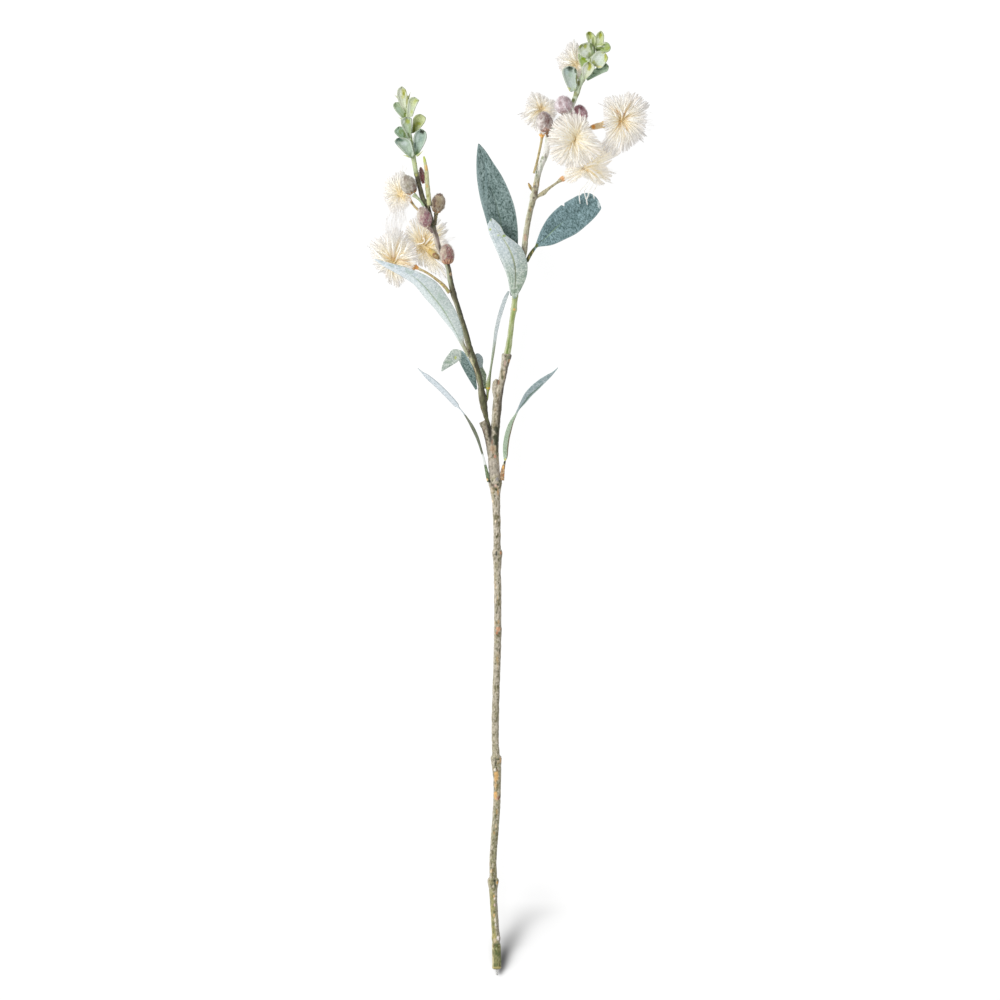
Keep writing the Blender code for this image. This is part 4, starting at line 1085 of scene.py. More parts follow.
def right_shade(p, q, no, off):
    c = np.broadcast_to(rgb(182, 178, 152), (len(p), 3)).copy()
    c = mix(c, rgb(150, 150, 112), 0.6 * step(grain(q, 1.8, 61), 0.0, 0.55))
    c = mix(c, rgb(208, 204, 186), 0.6 * step(grain(q, 1.4, 62), 0.15, 0.6))
    c = mix(c, rgb(120, 106, 84), 0.55 * step(grain(q, 1.0, 63), 0.35, 0.6))
    c = mix(c, rgb(196, 160, 116), 0.5 * step(grain(q, 2.2, 64), 0.35, 0.65))
    low = step(p[:, 1], 286.0, 300.0)
    c = mix(c, rgb(106, 102, 84), 0.6 * step(grain(q, 0.8, 68), 0.28, 0.5))
    c = mix(c, rgb(226, 220, 204), 0.5 * step(grain(q, 0.9, 69), 0.3, 0.55))
    green = mix(rgb(190, 200, 152), rgb(160, 176, 108), step(grain(q, 2.0, 65), -0.2, 0.5))
    c = mix(c, green, 0.85 * low)
    stripe = step(1.5 - np.abs(off + 0.2), 0.2, 0.9) * step(p[:, 1], 328.0, 342.0)
    c = mix(c, rgb(104, 134, 46), 0.85 * stripe * low)
    c = mix(c, rgb(134, 158, 70), 0.6 * low * step(1.4 - np.abs(off), 0.1, 0.9) * step(-p[:, 1], -330, -318))
    # painted highlight along the left side and painted shade along the right side
    c = mix(c, rgb(214, 216, 188), 0.6 * step(-off, 1.2, 2.4))
    c = mix(c, rgb(112, 104, 78), 0.45 * step(off, 1.4, 2.6) * (1 - low))
    upper = step(-p[:, 1], -182.0, -168.0)
    grey = mix(rgb(236, 236, 232), rgb(200, 206, 194), step(grain(q, 1.9, 66), 0.0, 0.6))
    c = mix(c, grey, 0.85 * upper)
    top = step(-p[:, 1], -108.0, -96.0)
    c = mix(c, mix(rgb(196, 212, 178), rgb(132, 142, 76), step(grain(q, 1.7, 67), 0.0, 0.5)), 0.85 * top)
    return spots(
        c,
        p,
        (
            (514.2, 309.5, 1.4, 1.3, (228, 178, 96), 0.95),
            (513.4, 297.0, 1.0, 3.4, (150, 160, 112), 0.6),
            (530.4, 209.0, 1.0, 3.4, (168, 140, 92), 0.6),
            (534.0, 186.0, 1.0, 3.6, (196, 172, 120), 0.7),
            (529.4, 186.0, 2.2, 3.2, (180, 150, 84), 0.95),
            (530.8, 189.2, 1.2, 1.6, (170, 140, 84), 0.8),
            (528.4, 183.4, 0.8, 0.9, (150, 112, 60), 0.9),
            (530.2, 188.4, 0.9, 1.2, (110, 90, 50), 0.8),
            (542.4, 157.7, 1.6, 2.2, (132, 146, 108), 0.8),
            (545.6, 156.0, 1.0, 3.0, (124, 116, 100), 0.7),
            (536.8, 175.4, 1.1, 1.1, (104, 116, 70), 0.9),
            (534.6, 186.8, 1.3, 1.7, (112, 104, 96), 0.85),
            (536.4, 194.0, 0.9, 3.4, (96, 88, 76), 0.85),
            (532.0, 206.4, 1.2, 1.4, (96, 100, 72), 0.8),
            (529.6, 214.6, 1.2, 3.0, (140, 148, 112), 0.7),
            (528.8, 210.6, 0.9, 1.4, (90, 84, 66), 0.7),
            (525.4, 238.0, 1.6, 3.6, (196, 160, 140), 0.6),
            (523.4, 250.0, 1.2, 3.0, (170, 142, 120), 0.6),
            (531.4, 199.6, 1.0, 1.6, (214, 210, 190), 0.8),
            (537.4, 168.6, 1.0, 2.6, (206, 206, 194), 0.7),
            (540.6, 161.4, 0.9, 1.2, (96, 104, 84), 0.7),
            (538.6, 172.0, 0.8, 1.4, (110, 116, 96), 0.6),
            (577.4, 80.6, 1.1, 3.6, (98, 100, 46), 0.85),
            (593.8, 50.6, 1.4, 5.0, (122, 142, 100), 0.8),
            (535.4, 192.0, 1.2, 3.0, (112, 92, 74), 0.7),
            (536.0, 172.0, 0.8, 1.2, (130, 168, 110), 0.8),
            (533.8, 198.0, 1.2, 1.6, (80, 66, 56), 0.8),
            (573.2, 100.4, 1.8, 2.6, (118, 132, 52), 0.85),
            (578.8, 83.0, 1.4, 3.0, (118, 122, 58), 0.8),
            (559.0, 120.0, 2.6, 2.0, (112, 86, 88), 0.75),
            (565.0, 116.4, 2.4, 2.0, (104, 78, 84), 0.75),
            (553.4, 127.4, 1.8, 2.4, (150, 176, 150), 0.8),
        ),
    )


build_branch(
    "left_branch_twig", "left_branch", LEFT_LINE,
    ((407.5, 0.35, 2.2), (361.0, 0.2, 3.0), (294.0, 0.35, 2.6), (262.0, 0.3, 2.2),
     (228.0, 0.35, 2.2), (205.0, 0.3, 2.0), (174.0, 0.25, 1.8), (157.0, 0.3, 1.8)),
    520, 22, TWIG, 0.055, left_shade,
)
right = build_branch(
    "right_branch_twig", "right_branch", RIGHT_LINE,
    ((309.5, 0.35, 1.8), (296.5, 0.25, 2.4), (258.0, 0.2, 2.4), (196.5, 0.45, 3.0),
     (185.0, 0.2, 2.0), (133.0, 0.2, 2.0), (92.0, 0.3, 2.0), (79.0, 0.25, 1.6)),
    520, 22, TWIG, 0.055, right_shade,
    spur=((534.6, 191.6, float(axis_height(191.6)), 1.7), (531.8, 189.2, float(axis_height(189.0)) + 0.5, 1.45),
          (529.8, 186.2, float(axis_height(186.0)) + 0.7, 1.25), (528.2, 183.0, float(axis_height(183.2)) + 0.7, 0.6)),
)


def slim(name, rows, count, sides, shade, knots=(), node=None, slot=None, mat=None, rough=0.4):
    """A slim stalk through rows (u, v, z, radius in mm)."""
    dense = smooth(rows, count)
    radius = dense[:, 3].copy()
    share = np.linspace(0, 1, count)
    for at, extra, half in knots:
        radius = radius + extra * np.exp(-(((share - at) / half) ** 2))
    path = place(dense[:, :3])
    verts, faces = tube(path, radius * MM, sides)
    q = verts / MM
    no = unit(verts - np.concatenate([np.repeat(path, sides, axis=0), path[:1] * 0.999, path[-1:] * 1.001]))
    verts = verts + no * (rough * MM * (0.22 * grain(q, 1.3, 71) + 0.14 * grain(q, 0.6, 72)))[:, None]
    a = np.concatenate([np.repeat(share, sides), [0.0, 1.0]])
    colour = shade(a, q, plan(verts), no)
    return verts, faces, colour


def side_stalk_shade(a, q, p, no):
    c = np.broadcast_to(rgb(196, 198, 150), (len(a), 3)).copy()
    c = mix(c, rgb(214, 206, 168), 0.7 * step(grain(q, 1.8, 75), 0.0, 0.5))
    c = mix(c, rgb(150, 164, 110), 0.6 * step(grain(q, 1.3, 76), 0.2, 0.6))
    return spots(
        c,
        p,
        (
            (424.4, 159.0, 1.6, 3.6, (190, 204, 96), 0.9),
            (426.4, 168.0, 1.6, 3.4, (226, 178, 104), 0.8),
            (427.2, 186.0, 1.0, 1.6, (200, 150, 90), 0.8),
            (428.0, 196.0, 1.0, 1.8, (150, 140, 70), 0.8),
        ),
    )


v, f, c = slim(
    "left_side_stalk",
    (
        (429.2, 205.6, 36.2, 1.7),
        (428.8, 199.0, 34.0, 1.95),
        (427.5, 187.0, 32.4, 1.9),
        (426.5, 172.0, 32.0, 1.6),
        (424.8, 161.0, 31.8, 1.25),
        (423.8, 156.4, 31.8, 0.7),
    ),
    150, 20, side_stalk_shade, ((0.35, 0.2, 0.04), (0.66, 0.22, 0.05)),
)
stand_for(mesh_object("left_side_shoot", v, f, TWIG, c), "left_side_stalk")


# ------------------------------------------------------------------- leaves
def level(u, v, z, half, du, dv, tilt=0.0):
    n = math.hypot(du, dv)
    a, b = du / n * half, dv / n * half
    return ((u - a, v - b, z - tilt), (u, v, z), (u + a, v + b, z + tilt))


def leaf(name, node, rows, count, columns, thick, paint_leaf, crease=0.5, ripple=0.25,
         nicks=(), mat=None, fleece=0.10, petiole=0.0, seed=1, extra=()):
    """A felted leaf through rows of (left, middle, right) plan points from its
    petiole to its tip: a creased grid with a thin rim, raised and sunk by its
    fleece.  thick is (petiole, blade) in mm, and nicks are (share along, half
    length, side, depth)."""
    flat = [[*m, *l, *r] for l, m, r in rows]
    dense = smooth(flat, count)
    mid, left, right = dense[:, 0:3], dense[:, 3:6], dense[:, 6:9]
    a = np.linspace(0, 1, count)
    for at, half, side, depth in nicks:
        pull = depth * np.clip(1 - np.abs(a - at) / half, 0, 1)[:, None]
        if side < 0:
            left = left + (mid - left) * pull
        else:
            right = right + (mid - right) * pull
    s = np.linspace(-1, 1, columns + 1)
    s = np.sign(s) * (1 - (1 - np.abs(s)) ** 1.15)
    edge = np.where(s[None, :, None] < 0, left[:, None, :], right[:, None, :])
    share = np.abs(s)[None, :, None]
    grid = mid[:, None, :] + (edge - mid[:, None, :]) * share
    width = np.linalg.norm(right[:, :2] - left[:, :2], axis=1) * UNIT_MM
    wide = np.clip(width / 10.0, 0, 1)[:, None]
    # heights: soft trough or ridge at the rib, and slow waves along the edges
    rise = (edge[..., 2] - mid[:, None, 2]) * (np.abs(s)[None, :] ** 1.3 - np.abs(s)[None, :])
    grid[..., 2] += rise
    grid[..., 2] -= crease * wide * np.exp(-((s[None, :] / 0.12) ** 2))
    wave = np.sin(a * 17 + seed) * 0.6 + np.sin(a * 31 + 2.1 * seed) * 0.4
    grid[..., 2] += ripple * wide * wave[:, None] * (np.abs(s)[None, :] ** 2) * np.sign(s)[None, :]
    world = place(grid)
    du = np.gradient(world, axis=0)
    dv = np.gradient(world, axis=1)
    normal = unit(np.cross(dv, du))
    half = 0.5 * (thick[0] + (thick[1] - thick[0]) * np.minimum(1.0, 3.2 * a))[:, None]
    rim = np.sqrt(np.clip(1 - (np.abs(s)[None, :] ** 5), 0.05, 1))
    half = half * rim
    taper = np.clip((1 - a) / 0.02, 0.35, 1)[:, None]
    half = half * taper
    q = world / MM
    felt = 0.6 * grain(q, 0.95, seed + 80) + 0.4 * grain(q, 0.5, seed + 81)
    under = 0.6 * grain(q + 7.0, 1.1, seed + 82) + 0.4 * grain(q, 0.6, seed + 83)
    rib = np.exp(-((s[None, :] / 0.10) ** 2)) * wide
    top = world + normal * ((half + fleece * felt * wide) * MM)[..., None]
    bottom = world - normal * ((half + fleece * under * wide + 0.35 * rib) * MM)[..., None]
    n, m = count, columns + 1
    total = n * m
    i, j = np.meshgrid(np.arange(n - 1), np.arange(m - 1), indexing="ij")
    b = (i * m + j).ravel()
    upper = np.stack([b, b + 1, b + m + 1, b + m], -1)[:, ::1]
    lower = np.stack([total + b + m, total + b + m + 1, total + b + 1, total + b], -1)
    rim_line = np.concatenate([
        np.arange(m), np.arange(1, n) * m + m - 1, (n - 1) * m + np.arange(m - 2, -1, -1),
        np.arange(n - 2, 0, -1) * m,
    ])
    nxt = np.roll(rim_line, -1)
    band = np.stack([rim_line, total + rim_line, total + nxt, nxt], -1)
    grid_a = np.repeat(a[:, None], m, axis=1)
    grid_s = np.repeat(s[None, :], n, axis=0)
    c_top = paint_leaf(grid_a, grid_s, q, felt, plan(world), True)
    c_low = paint_leaf(grid_a, grid_s, q + 3.0, under, plan(world), False)
    groups = [(np.concatenate([top.reshape(-1, 3), bottom.reshape(-1, 3)]), [upper, lower, band],
               np.concatenate([c_top.reshape(-1, 3), c_low.reshape(-1, 3)]))]
    groups += list(extra)
    v, f, c = join(groups)
    obj = mesh_object(name, v, f, mat or FLEECE, c)
    stand_for(obj, node)
    return obj


def dark_fleece(deep, light, edge, rib, rib_reach, left_edge=0.5, seed=0, contrast=1.0, spot_table=(), rib_width=0.05, foot=None):
    """Two-tone felt: dark ground seen between pale blue-grey fibres."""
    deep, light, edge, rib = rgb(*deep), rgb(*light), rgb(*edge), rgb(*rib)

    def shade(a, s, q, felt, p, is_top):
        slant = np.stack([q[..., 0] + 0.35 * q[..., 1], q[..., 1] * 0.5 - 0.2 * q[..., 0], q[..., 2]], -1)
        fibres = 0.35 * felt + 0.5 * grain(slant, 0.62, 90 + seed) + 0.4 * grain(slant, 0.4, 94 + seed)
        c = mix(deep, light, np.clip(0.5 + contrast * fibres, 0, 1))
        cloud = grain(q, 9.0, 91 + seed)
        c = mix(c, deep, 0.25 * step(cloud, 0.0, 0.7))
        c = mix(c, light, 0.25 * step(-cloud, 0.0, 0.7))
        c = mix(c, edge, left_edge * step(-s, 0.55, 1.0) + 0.3 * step(s, 0.85, 1.0))
        c = mix(c, rgb(196, 206, 204), 0.5 * step(np.abs(s), 0.955, 0.99))
        if foot:
            c = mix(c, rgb(*foot[0]), foot[2] * step(-a, -foot[1], 0.0))
        line = np.exp(-((s / rib_width) ** 2)) * np.interp(a, [0, rib_reach, rib_reach + 0.2, 1], [1, 1, 0, 0])
        c = mix(c, rib, 0.75 * line)
        if not is_top:
            c = mix(c, rgb(196, 208, 204), 0.55)
        if len(spot_table) and is_top:
            c = spots(c, p, spot_table)
        return c

    return shade


LEAF_LONG_ROWS = (
    level(468.2, 356.6, 32.6, 1.2, 1, -0.6),
    level(465.6, 350.2, 33.4, 1.9, 1, -0.6),
    ((459.9, 343.2, 33.0), (462.0, 344.4, 34.0), (464.4, 342.6, 34.0)),
    ((452.8, 331.6, 32.0), (457.5, 335.0, 34.6), (463.2, 333.6, 34.0)),
    ((443.8, 320.4, 32.0), (450.6, 322.2, 35.2), (461.0, 324.6, 34.0)),
    ((434.4, 308.4, 32.4), (442.4, 308.8, 35.8), (455.7, 311.0, 34.2)),
    ((425.4, 298.4, 33.0), (433.6, 297.4, 36.2), (446.8, 296.0, 34.6)),
    ((415.0, 285.4, 33.6), (422.6, 284.6, 36.6), (435.9, 282.0, 35.0)),
    ((405.4, 278.6, 34.0), (410.4, 274.6, 36.4), (420.7, 273.0, 35.4)),
    ((394.4, 272.4, 34.6), (397.4, 269.0, 36.0), (404.6, 267.0, 35.4)),
    ((383.0, 266.0, 34.8), (385.0, 264.0, 35.4), (386.8, 262.0, 35.2)),
    level(374.8, 259.2, 35.0, 0.6, 1, -1),
)


def long_shade(a, s, q, felt, p, is_top):
    blue = mix(rgb(196, 209, 218), rgb(222, 230, 234), np.clip(0.5 + 0.9 * felt, 0, 1))
    green = mix(rgb(182, 197, 194), rgb(214, 223, 221), np.clip(0.5 + 0.9 * felt, 0, 1))
    c = mix(green, blue, step(a, 0.45, 0.85))
    c = mix(c, rgb(168, 190, 176), 0.5 * step(grain(q, 3.0, 95), 0.15, 0.6) * (s > 0))
    c = mix(c, rgb(228, 236, 238), 0.45 * step(-s, 0.1, 0.5))
    c = mix(c, rgb(132, 150, 156), 0.75 * step(np.abs(s), 0.94, 1.0))
    rib = np.interp(a, [0.0, 0.25, 0.62, 0.78, 0.9], [1, 1, 0.9, 0.3, 0])
    c = mix(c, rgb(138, 158, 112), 0.9 * rib * np.exp(-((s / 0.06) ** 2)))
    base = step(-a, -0.16, -0.06)
    c = mix(c, rgb(168, 166, 118), 0.7 * base)
    c = mix(c, rgb(96, 70, 44), 0.6 * base * step(s, 0.1, 0.7))
    return c


leaf("long_left_leaf", "leaf_left_long", LEAF_LONG_ROWS, 260, 32, (1.6, 0.75),
     long_shade, crease=0.55, ripple=0.3, seed=2)

FOLDED_ROWS = (
    ((475.4, 389.8, 31.6), (476.4, 389.4, 31.6), (477.4, 389.0, 31.6)),
    ((470.0, 381.0, 31.6), (473.0, 380.6, 31.4), (476.2, 380.2, 31.8)),
    ((464.8, 372.2, 31.8), (469.4, 371.2, 31.4), (473.8, 370.0, 32.2)),
    ((460.4, 363.8, 31.4), (464.8, 361.6, 31.0), (468.6, 359.0, 31.2)),
    ((458.6, 360.6, 31.6), (460.0, 356.0, 31.0), (462.4, 351.0, 31.4)),
    ((457.2, 362.0, 30.8), (455.6, 356.2, 30.6), (453.6, 349.2, 30.8)),
    ((453.0, 364.8, 29.2), (450.8, 360.2, 29.4), (448.4, 354.4, 29.6)),
    ((448.0, 367.8, 28.0), (446.4, 364.8, 28.6), (444.2, 360.4, 28.8)),
    ((444.0, 370.2, 26.6), (443.0, 368.6, 26.8), (442.0, 366.4, 27.0)),
    ((441.9, 371.6, 26.2), (441.6, 371.2, 26.2), (441.3, 370.8, 26.2)),
)


def folded_shade(a, s, q, felt, p, is_top):
    weave = 0.4 * felt + 0.45 * grain(q, 0.6, 87)
    dark = mix(rgb(62, 86, 82), rgb(146, 166, 162), np.clip(0.45 + 1.2 * weave, 0, 1))
    pale = mix(rgb(148, 163, 154), rgb(202, 210, 202), np.clip(0.5 + 1.1 * felt, 0, 1))
    back = step(460.6 - p[..., 0] + 0.10 * (362 - p[..., 1]), -0.8, 0.8)
    c = mix(dark, pale, back)
    c = mix(c, rgb(176, 200, 206), 0.6 * (1 - back) * step(s, 0.45, 0.9) * step(a, 0.3, 0.42))
    c = spots(c, p, ((455.7, 357.7, 1.2, 1.6, (176, 186, 96), 0.8), (449.0, 362.0, 4.0, 1.6, (150, 172, 148), 0.5)))
    return c


leaf("folded_left_leaf", "leaf_left_folded", FOLDED_ROWS, 150, 26, (1.5, 0.75),
     folded_shade, crease=0.25, ripple=0.15, seed=4)

REAR_ROWS = (
    level(485.0, 388.6, 24.2, 0.9, 1, 0.1),
    ((481.0, 383.0, 23.2), (483.4, 381.0, 23.2), (486.2, 379.0, 23.4)),
    ((478.6, 374.6, 22.4), (482.2, 373.8, 22.2), (486.3, 374.4, 22.6)),
    ((477.0, 367.2, 21.8), (479.6, 367.2, 21.8), (482.8, 366.8, 22.0)),
    ((475.2, 361.4, 21.4), (479.2, 361.0, 21.4), (483.2, 361.0, 21.6)),
    ((475.0, 356.4, 21.4), (478.6, 356.0, 21.4), (482.2, 356.6, 21.6)),
    ((475.6, 353.8, 21.4), (477.2, 353.2, 21.4), (479.2, 353.6, 21.5)),
)


def rear_shade(a, s, q, felt, p, is_top):
    dark = mix(rgb(126, 148, 124), rgb(198, 210, 188), np.clip(0.5 + 1.2 * felt, 0, 1))
    pale = mix(rgb(176, 196, 202), rgb(216, 228, 230), np.clip(0.5 + 0.9 * felt, 0, 1))
    c = mix(dark, pale, step(367.6 - p[..., 1], -1.0, 0.6))
    return mix(c, rgb(120, 140, 150), 0.6 * step(np.abs(s), 0.82, 1.0) * step(367.6 - p[..., 1], -1.0, 0.6))


leaf("rear_left_leaf", "leaf_left_rear", REAR_ROWS, 90, 18, (1.4, 0.7),
     rear_shade, crease=0.2, ripple=0.1, seed=6)

THIN_ROWS = (
    level(485.8, 402.8, 26.8, 0.8, 1, 0.2, 0.3),
    level(487.2, 398.4, 27.0, 0.9, 1, 0.2, 0.4),
    level(487.6, 392.0, 26.9, 1.2, 1, 0.2, 0.6),
    level(488.0, 387.6, 26.8, 2.2, 1, 0.2, 1.0),
    level(488.6, 381.0, 26.8, 2.0, 1, 0.2, 1.6),
    level(489.8, 375.0, 26.6, 1.1, 1, 0.2, 3.0),
    level(491.2, 366.0, 26.3, 0.9, 1, 0.2, 5.0),
    level(493.0, 354.0, 26.0, 1.2, 1, 0.2, 6.2),
    level(494.8, 341.0, 25.5, 1.4, 1, 0.2, 6.6),
    level(496.2, 330.6, 25.0, 1.7, 1, 0.2, 6.2),
    level(498.8, 319.0, 24.3, 1.9, 1, 0.3, 5.4),
    level(502.2, 307.4, 23.4, 2.0, 1, 0.45, 3.6),
    level(505.4, 298.4, 22.6, 1.9, 1, 0.6, 2.0),
    level(508.8, 291.2, 22.0, 1.0, 1, 0.6, 0.6),
)


def thin_shade(a, s, q, felt, p, is_top):
    c = mix(rgb(152, 166, 168), rgb(200, 207, 209), np.clip(0.5 + 0.9 * felt, 0, 1))
    green = mix(rgb(120, 140, 96), rgb(176, 190, 150), np.clip(0.5 + 0.9 * felt, 0, 1))
    c = mix(c, green, 0.75 * step(p[..., 1], 335, 360))
    c = mix(c, rgb(128, 150, 116), 0.7 * step(-s, 0.3, 0.9) * step(p[..., 1], 318, 335))
    c = mix(c, rgb(204, 212, 180), 0.8 * step(-s, 0.0, 0.6) * step(p[..., 1], 374, 378) * step(387 - p[..., 1], 0, 1))
    c = mix(c, rgb(104, 112, 74), 0.75 * step(s, -0.1, 0.6) * step(p[..., 1], 334, 352))
    c = mix(c, rgb(86, 96, 56), 0.7 * step(s, 0.2, 0.8) * step(p[..., 1], 366, 374))
    c = mix(c, rgb(146, 152, 84), 0.6 * step(p[..., 1], 378, 386))
    return spots(c, p, ((487.6, 388.4, 2.4, 1.0, (198, 190, 80), 0.95), (489.6, 388.0, 0.9, 1.2, (208, 140, 70), 0.9)))


leaf("thin_right_leaf", "leaf_right_thin", THIN_ROWS, 190, 12, (1.5, 0.7),
     thin_shade, crease=0.0, ripple=0.1, seed=7)

DARK_ROWS = (
    level(511.6, 295.6, 27.0, 1.1, 1, -0.2),
    ((509.4, 287.6, 27.4), (511.6, 287.0, 27.0), (513.8, 286.6, 27.4)),
    ((506.4, 274.0, 28.6), (510.8, 272.6, 27.4), (515.2, 272.4, 28.0)),
    ((499.8, 258.0, 30.0), (508.0, 256.0, 28.2), (517.4, 253.8, 28.8)),
    ((491.2, 237.4, 31.4), (502.8, 234.4, 29.2), (518.0, 232.0, 30.0)),
    ((484.9, 216.2, 32.6), (498.4, 212.4, 30.0), (515.3, 210.2, 31.0)),
    ((480.2, 199.2, 33.2), (493.6, 195.0, 30.8), (510.2, 194.0, 31.8)),
    ((477.2, 181.4, 33.4), (488.6, 177.2, 31.4), (502.4, 176.8, 32.2)),
    ((476.3, 166.0, 33.2), (484.0, 162.0, 31.8), (492.4, 161.2, 32.2)),
    ((476.9, 151.6, 32.8), (480.6, 150.6, 32.2), (485.0, 150.0, 32.2)),
    level(478.7, 143.6, 32.6, 0.6, 1, 0),
)
leaf("dark_right_leaf", "leaf_right_dark", DARK_ROWS, 270, 44, (1.6, 0.8),
     dark_fleece((64, 87, 82), (150, 171, 170), (160, 182, 184), (90, 108, 90), 0.55, 0.55, seed=1,
                 foot=((50, 70, 58), 0.64, 0.72), contrast=1.4,
                 rib_width=0.035,
                 spot_table=((486.0, 182.0, 1.4, 22.0, (150, 176, 178), 0.35),)),
     crease=0.5, ripple=0.35, seed=8)

PALE_ROWS = (
    level(514.6, 298.6, 35.4, 1.3, 1, -0.1),
    ((509.8, 290.4, 35.8), (515.2, 289.0, 36.4), (521.4, 288.6, 35.8)),
    ((507.8, 279.4, 36.2), (515.4, 276.6, 38.0), (526.4, 277.0, 36.4)),
    ((503.6, 266.0, 37.0), (514.2, 264.0, 39.6), (527.4, 264.0, 37.0)),
    ((497.2, 252.0, 38.4), (510.0, 251.0, 40.8), (522.8, 249.6, 38.2)),
    ((492.8, 242.2, 39.2), (504.6, 241.0, 41.2), (514.6, 241.4, 38.8)),
    ((489.4, 234.4, 39.8), (500.2, 234.2, 41.4), (505.4, 234.6, 40.2)),
    ((487.6, 226.2, 40.4), (494.4, 226.2, 41.2), (500.6, 226.2, 40.8)),
    ((488.8, 222.4, 40.5), (492.0, 221.6, 40.9), (496.4, 221.6, 40.6)),
    level(491.8, 218.2, 40.6, 0.8, 1, 0),
)


def pale_shade(a, s, q, felt, p, is_top):
    cool = mix(rgb(182, 196, 201), rgb(219, 228, 230), np.clip(0.5 + 0.9 * felt, 0, 1))
    warm = mix(rgb(144, 163, 147), rgb(208, 218, 206), np.clip(0.5 + 1.2 * felt, 0, 1))
    c = mix(cool, warm, step(p[..., 1], 246, 284))
    c = mix(c, warm, 0.5 * step(s, 0.1, 0.6) * step(p[..., 1], 240, 252))
    c = mix(c, rgb(122, 146, 116), 0.5 * step(grain(q, 1.6, 98), 0.1, 0.5) * step(p[..., 1], 256, 284))
    c = mix(c, rgb(150, 168, 168), 0.35 * step(grain(q, 1.3, 89), 0.15, 0.5))
    rib = np.interp(a, [0.0, 0.5, 0.8, 0.9], [1, 0.95, 0.7, 0])
    olive = mix(rgb(152, 162, 96), rgb(84, 92, 48), step(p[..., 1], 250, 272))
    c = mix(c, olive, 0.92 * rib * np.exp(-(((s - 0.02) / 0.065) ** 2)))
    c = mix(c, rgb(232, 240, 240), 0.5 * step(-s, 0.7, 1.0))
    c = mix(c, rgb(212, 220, 176), 0.6 * step(s, 0.86, 1.0) * step(-p[..., 1], -247, -237))
    return spots(
        c,
        p,
        (
            (490.4, 229.4, 1.4, 1.4, (166, 186, 92), 0.85),
            (504.0, 236.0, 1.8, 1.2, (168, 190, 100), 0.8),
            (498.4, 235.4, 1.4, 1.0, (186, 202, 140), 0.7),
            (490.6, 219.6, 1.0, 1.8, (128, 150, 96), 0.7),
            (507.9, 291.0, 0.7, 1.4, (226, 206, 96), 0.9),
        ),
    )


leaf("pale_right_leaf", "leaf_right_pale", PALE_ROWS, 190, 38, (1.6, 0.75),
     pale_shade, crease=0.55, ripple=0.3, seed=9)

OUTER_ROWS = (
    level(526.8, 261.4, 35.0, 1.8, 0.6, 0.5),
    level(529.6, 255.8, 34.4, 1.9, 0.6, 0.6),
    level(532.8, 250.8, 33.8, 1.7, 0.6, 0.8),
    level(535.8, 247.0, 33.4, 1.4, 0.6, 0.9),
    ((536.3, 242.2, 33.2), (537.3, 244.6, 32.6), (538.6, 246.9, 32.8)),
    ((540.8, 230.2, 34.6), (546.6, 237.2, 32.6), (552.0, 245.0, 32.8)),
    ((548.6, 217.0, 35.8), (556.4, 227.4, 33.0), (565.0, 239.4, 33.2)),
    ((559.6, 206.2, 36.4), (567.6, 218.8, 33.4), (576.4, 233.6, 33.6)),
    ((571.4, 198.8, 36.4), (578.8, 211.8, 33.6), (586.8, 225.2, 33.8)),
    ((582.6, 193.4, 36.0), (588.8, 205.6, 33.6), (594.6, 217.8, 33.8)),
    ((590.0, 193.2, 35.6), (594.2, 203.0, 33.8), (598.2, 213.4, 33.8)),
    ((595.4, 196.4, 35.0), (597.8, 203.0, 34.0), (600.4, 210.2, 34.0)),
    ((598.6, 200.4, 34.6), (600.2, 204.2, 34.2), (601.4, 208.2, 34.2)),
)
leaf("outer_right_leaf", "leaf_right_outer", OUTER_ROWS, 205, 44, (1.6, 0.8),
     dark_fleece((74, 100, 100), (152, 180, 186), (140, 168, 174), (150, 178, 124), 0.38, 0.35, seed=2, contrast=1.35,
                 foot=((74, 96, 84), 0.34, 0.55),
                 rib_width=0.04,
                 spot_table=((599.0, 204.0, 1.5, 5.0, (206, 220, 222), 0.85),
                             (536.4, 245.6, 2.0, 2.0, (128, 150, 84), 0.7),
                             (531.6, 251.4, 3.2, 5.6, (84, 88, 48), 0.97), (527.6, 258.6, 3.0, 4.4, (88, 88, 50), 0.97),
                             (536.0, 246.0, 2.0, 2.4, (96, 108, 60), 0.8),
                             (532.6, 253.2, 1.0, 3.0, (156, 146, 92), 0.85), (529.4, 258.0, 1.0, 2.6, (150, 138, 86), 0.85))),
     crease=0.5, ripple=0.3, nicks=((0.655, 0.016, -1, 0.20), (0.85, 0.012, -1, 0.10)), seed=10)

FORK_LEFT_ROWS = (
    level(488.4, 482.0, 28.0, 1.2, 1, -0.2, 0.4),
    level(487.2, 474.0, 28.2, 1.7, 1, -0.3, 0.8),
    level(485.4, 466.0, 28.5, 1.0, 1, -0.3, 1.4),
    level(483.2, 457.0, 28.9, 0.8, 1, -0.3, 2.6),
    level(480.6, 448.0, 29.3, 1.0, 1, -0.35, 4.6),
    level(477.4, 438.0, 29.8, 1.5, 1, -0.4, 5.8),
    level(472.4, 427.2, 30.5, 1.6, 1, -0.5, 6.2),
    level(466.6, 417.6, 31.1, 0.8, 1, -0.8, 6.4),
    level(461.6, 410.8, 31.7, 0.35, 1, -1.0, 1.0),
    level(458.4, 407.2, 31.8, 0.8, 1, -1.0, 2.0),
    level(456.6, 405.2, 32.0, 2.2, 1, -1.0, 6.0),
    level(447.0, 394.8, 32.6, 2.6, 1, -1.2, 5.2),
    level(436.4, 384.4, 33.0, 2.6, 1, -1.2, 3.8),
    level(427.2, 376.6, 33.1, 2.1, 1, -1.3, 2.0),
    level(421.6, 372.0, 33.2, 0.7, 1, -1.4, 0.6),
    level(417.8, 368.2, 33.2, 0.25, 1, -1.4, 0.2),
)


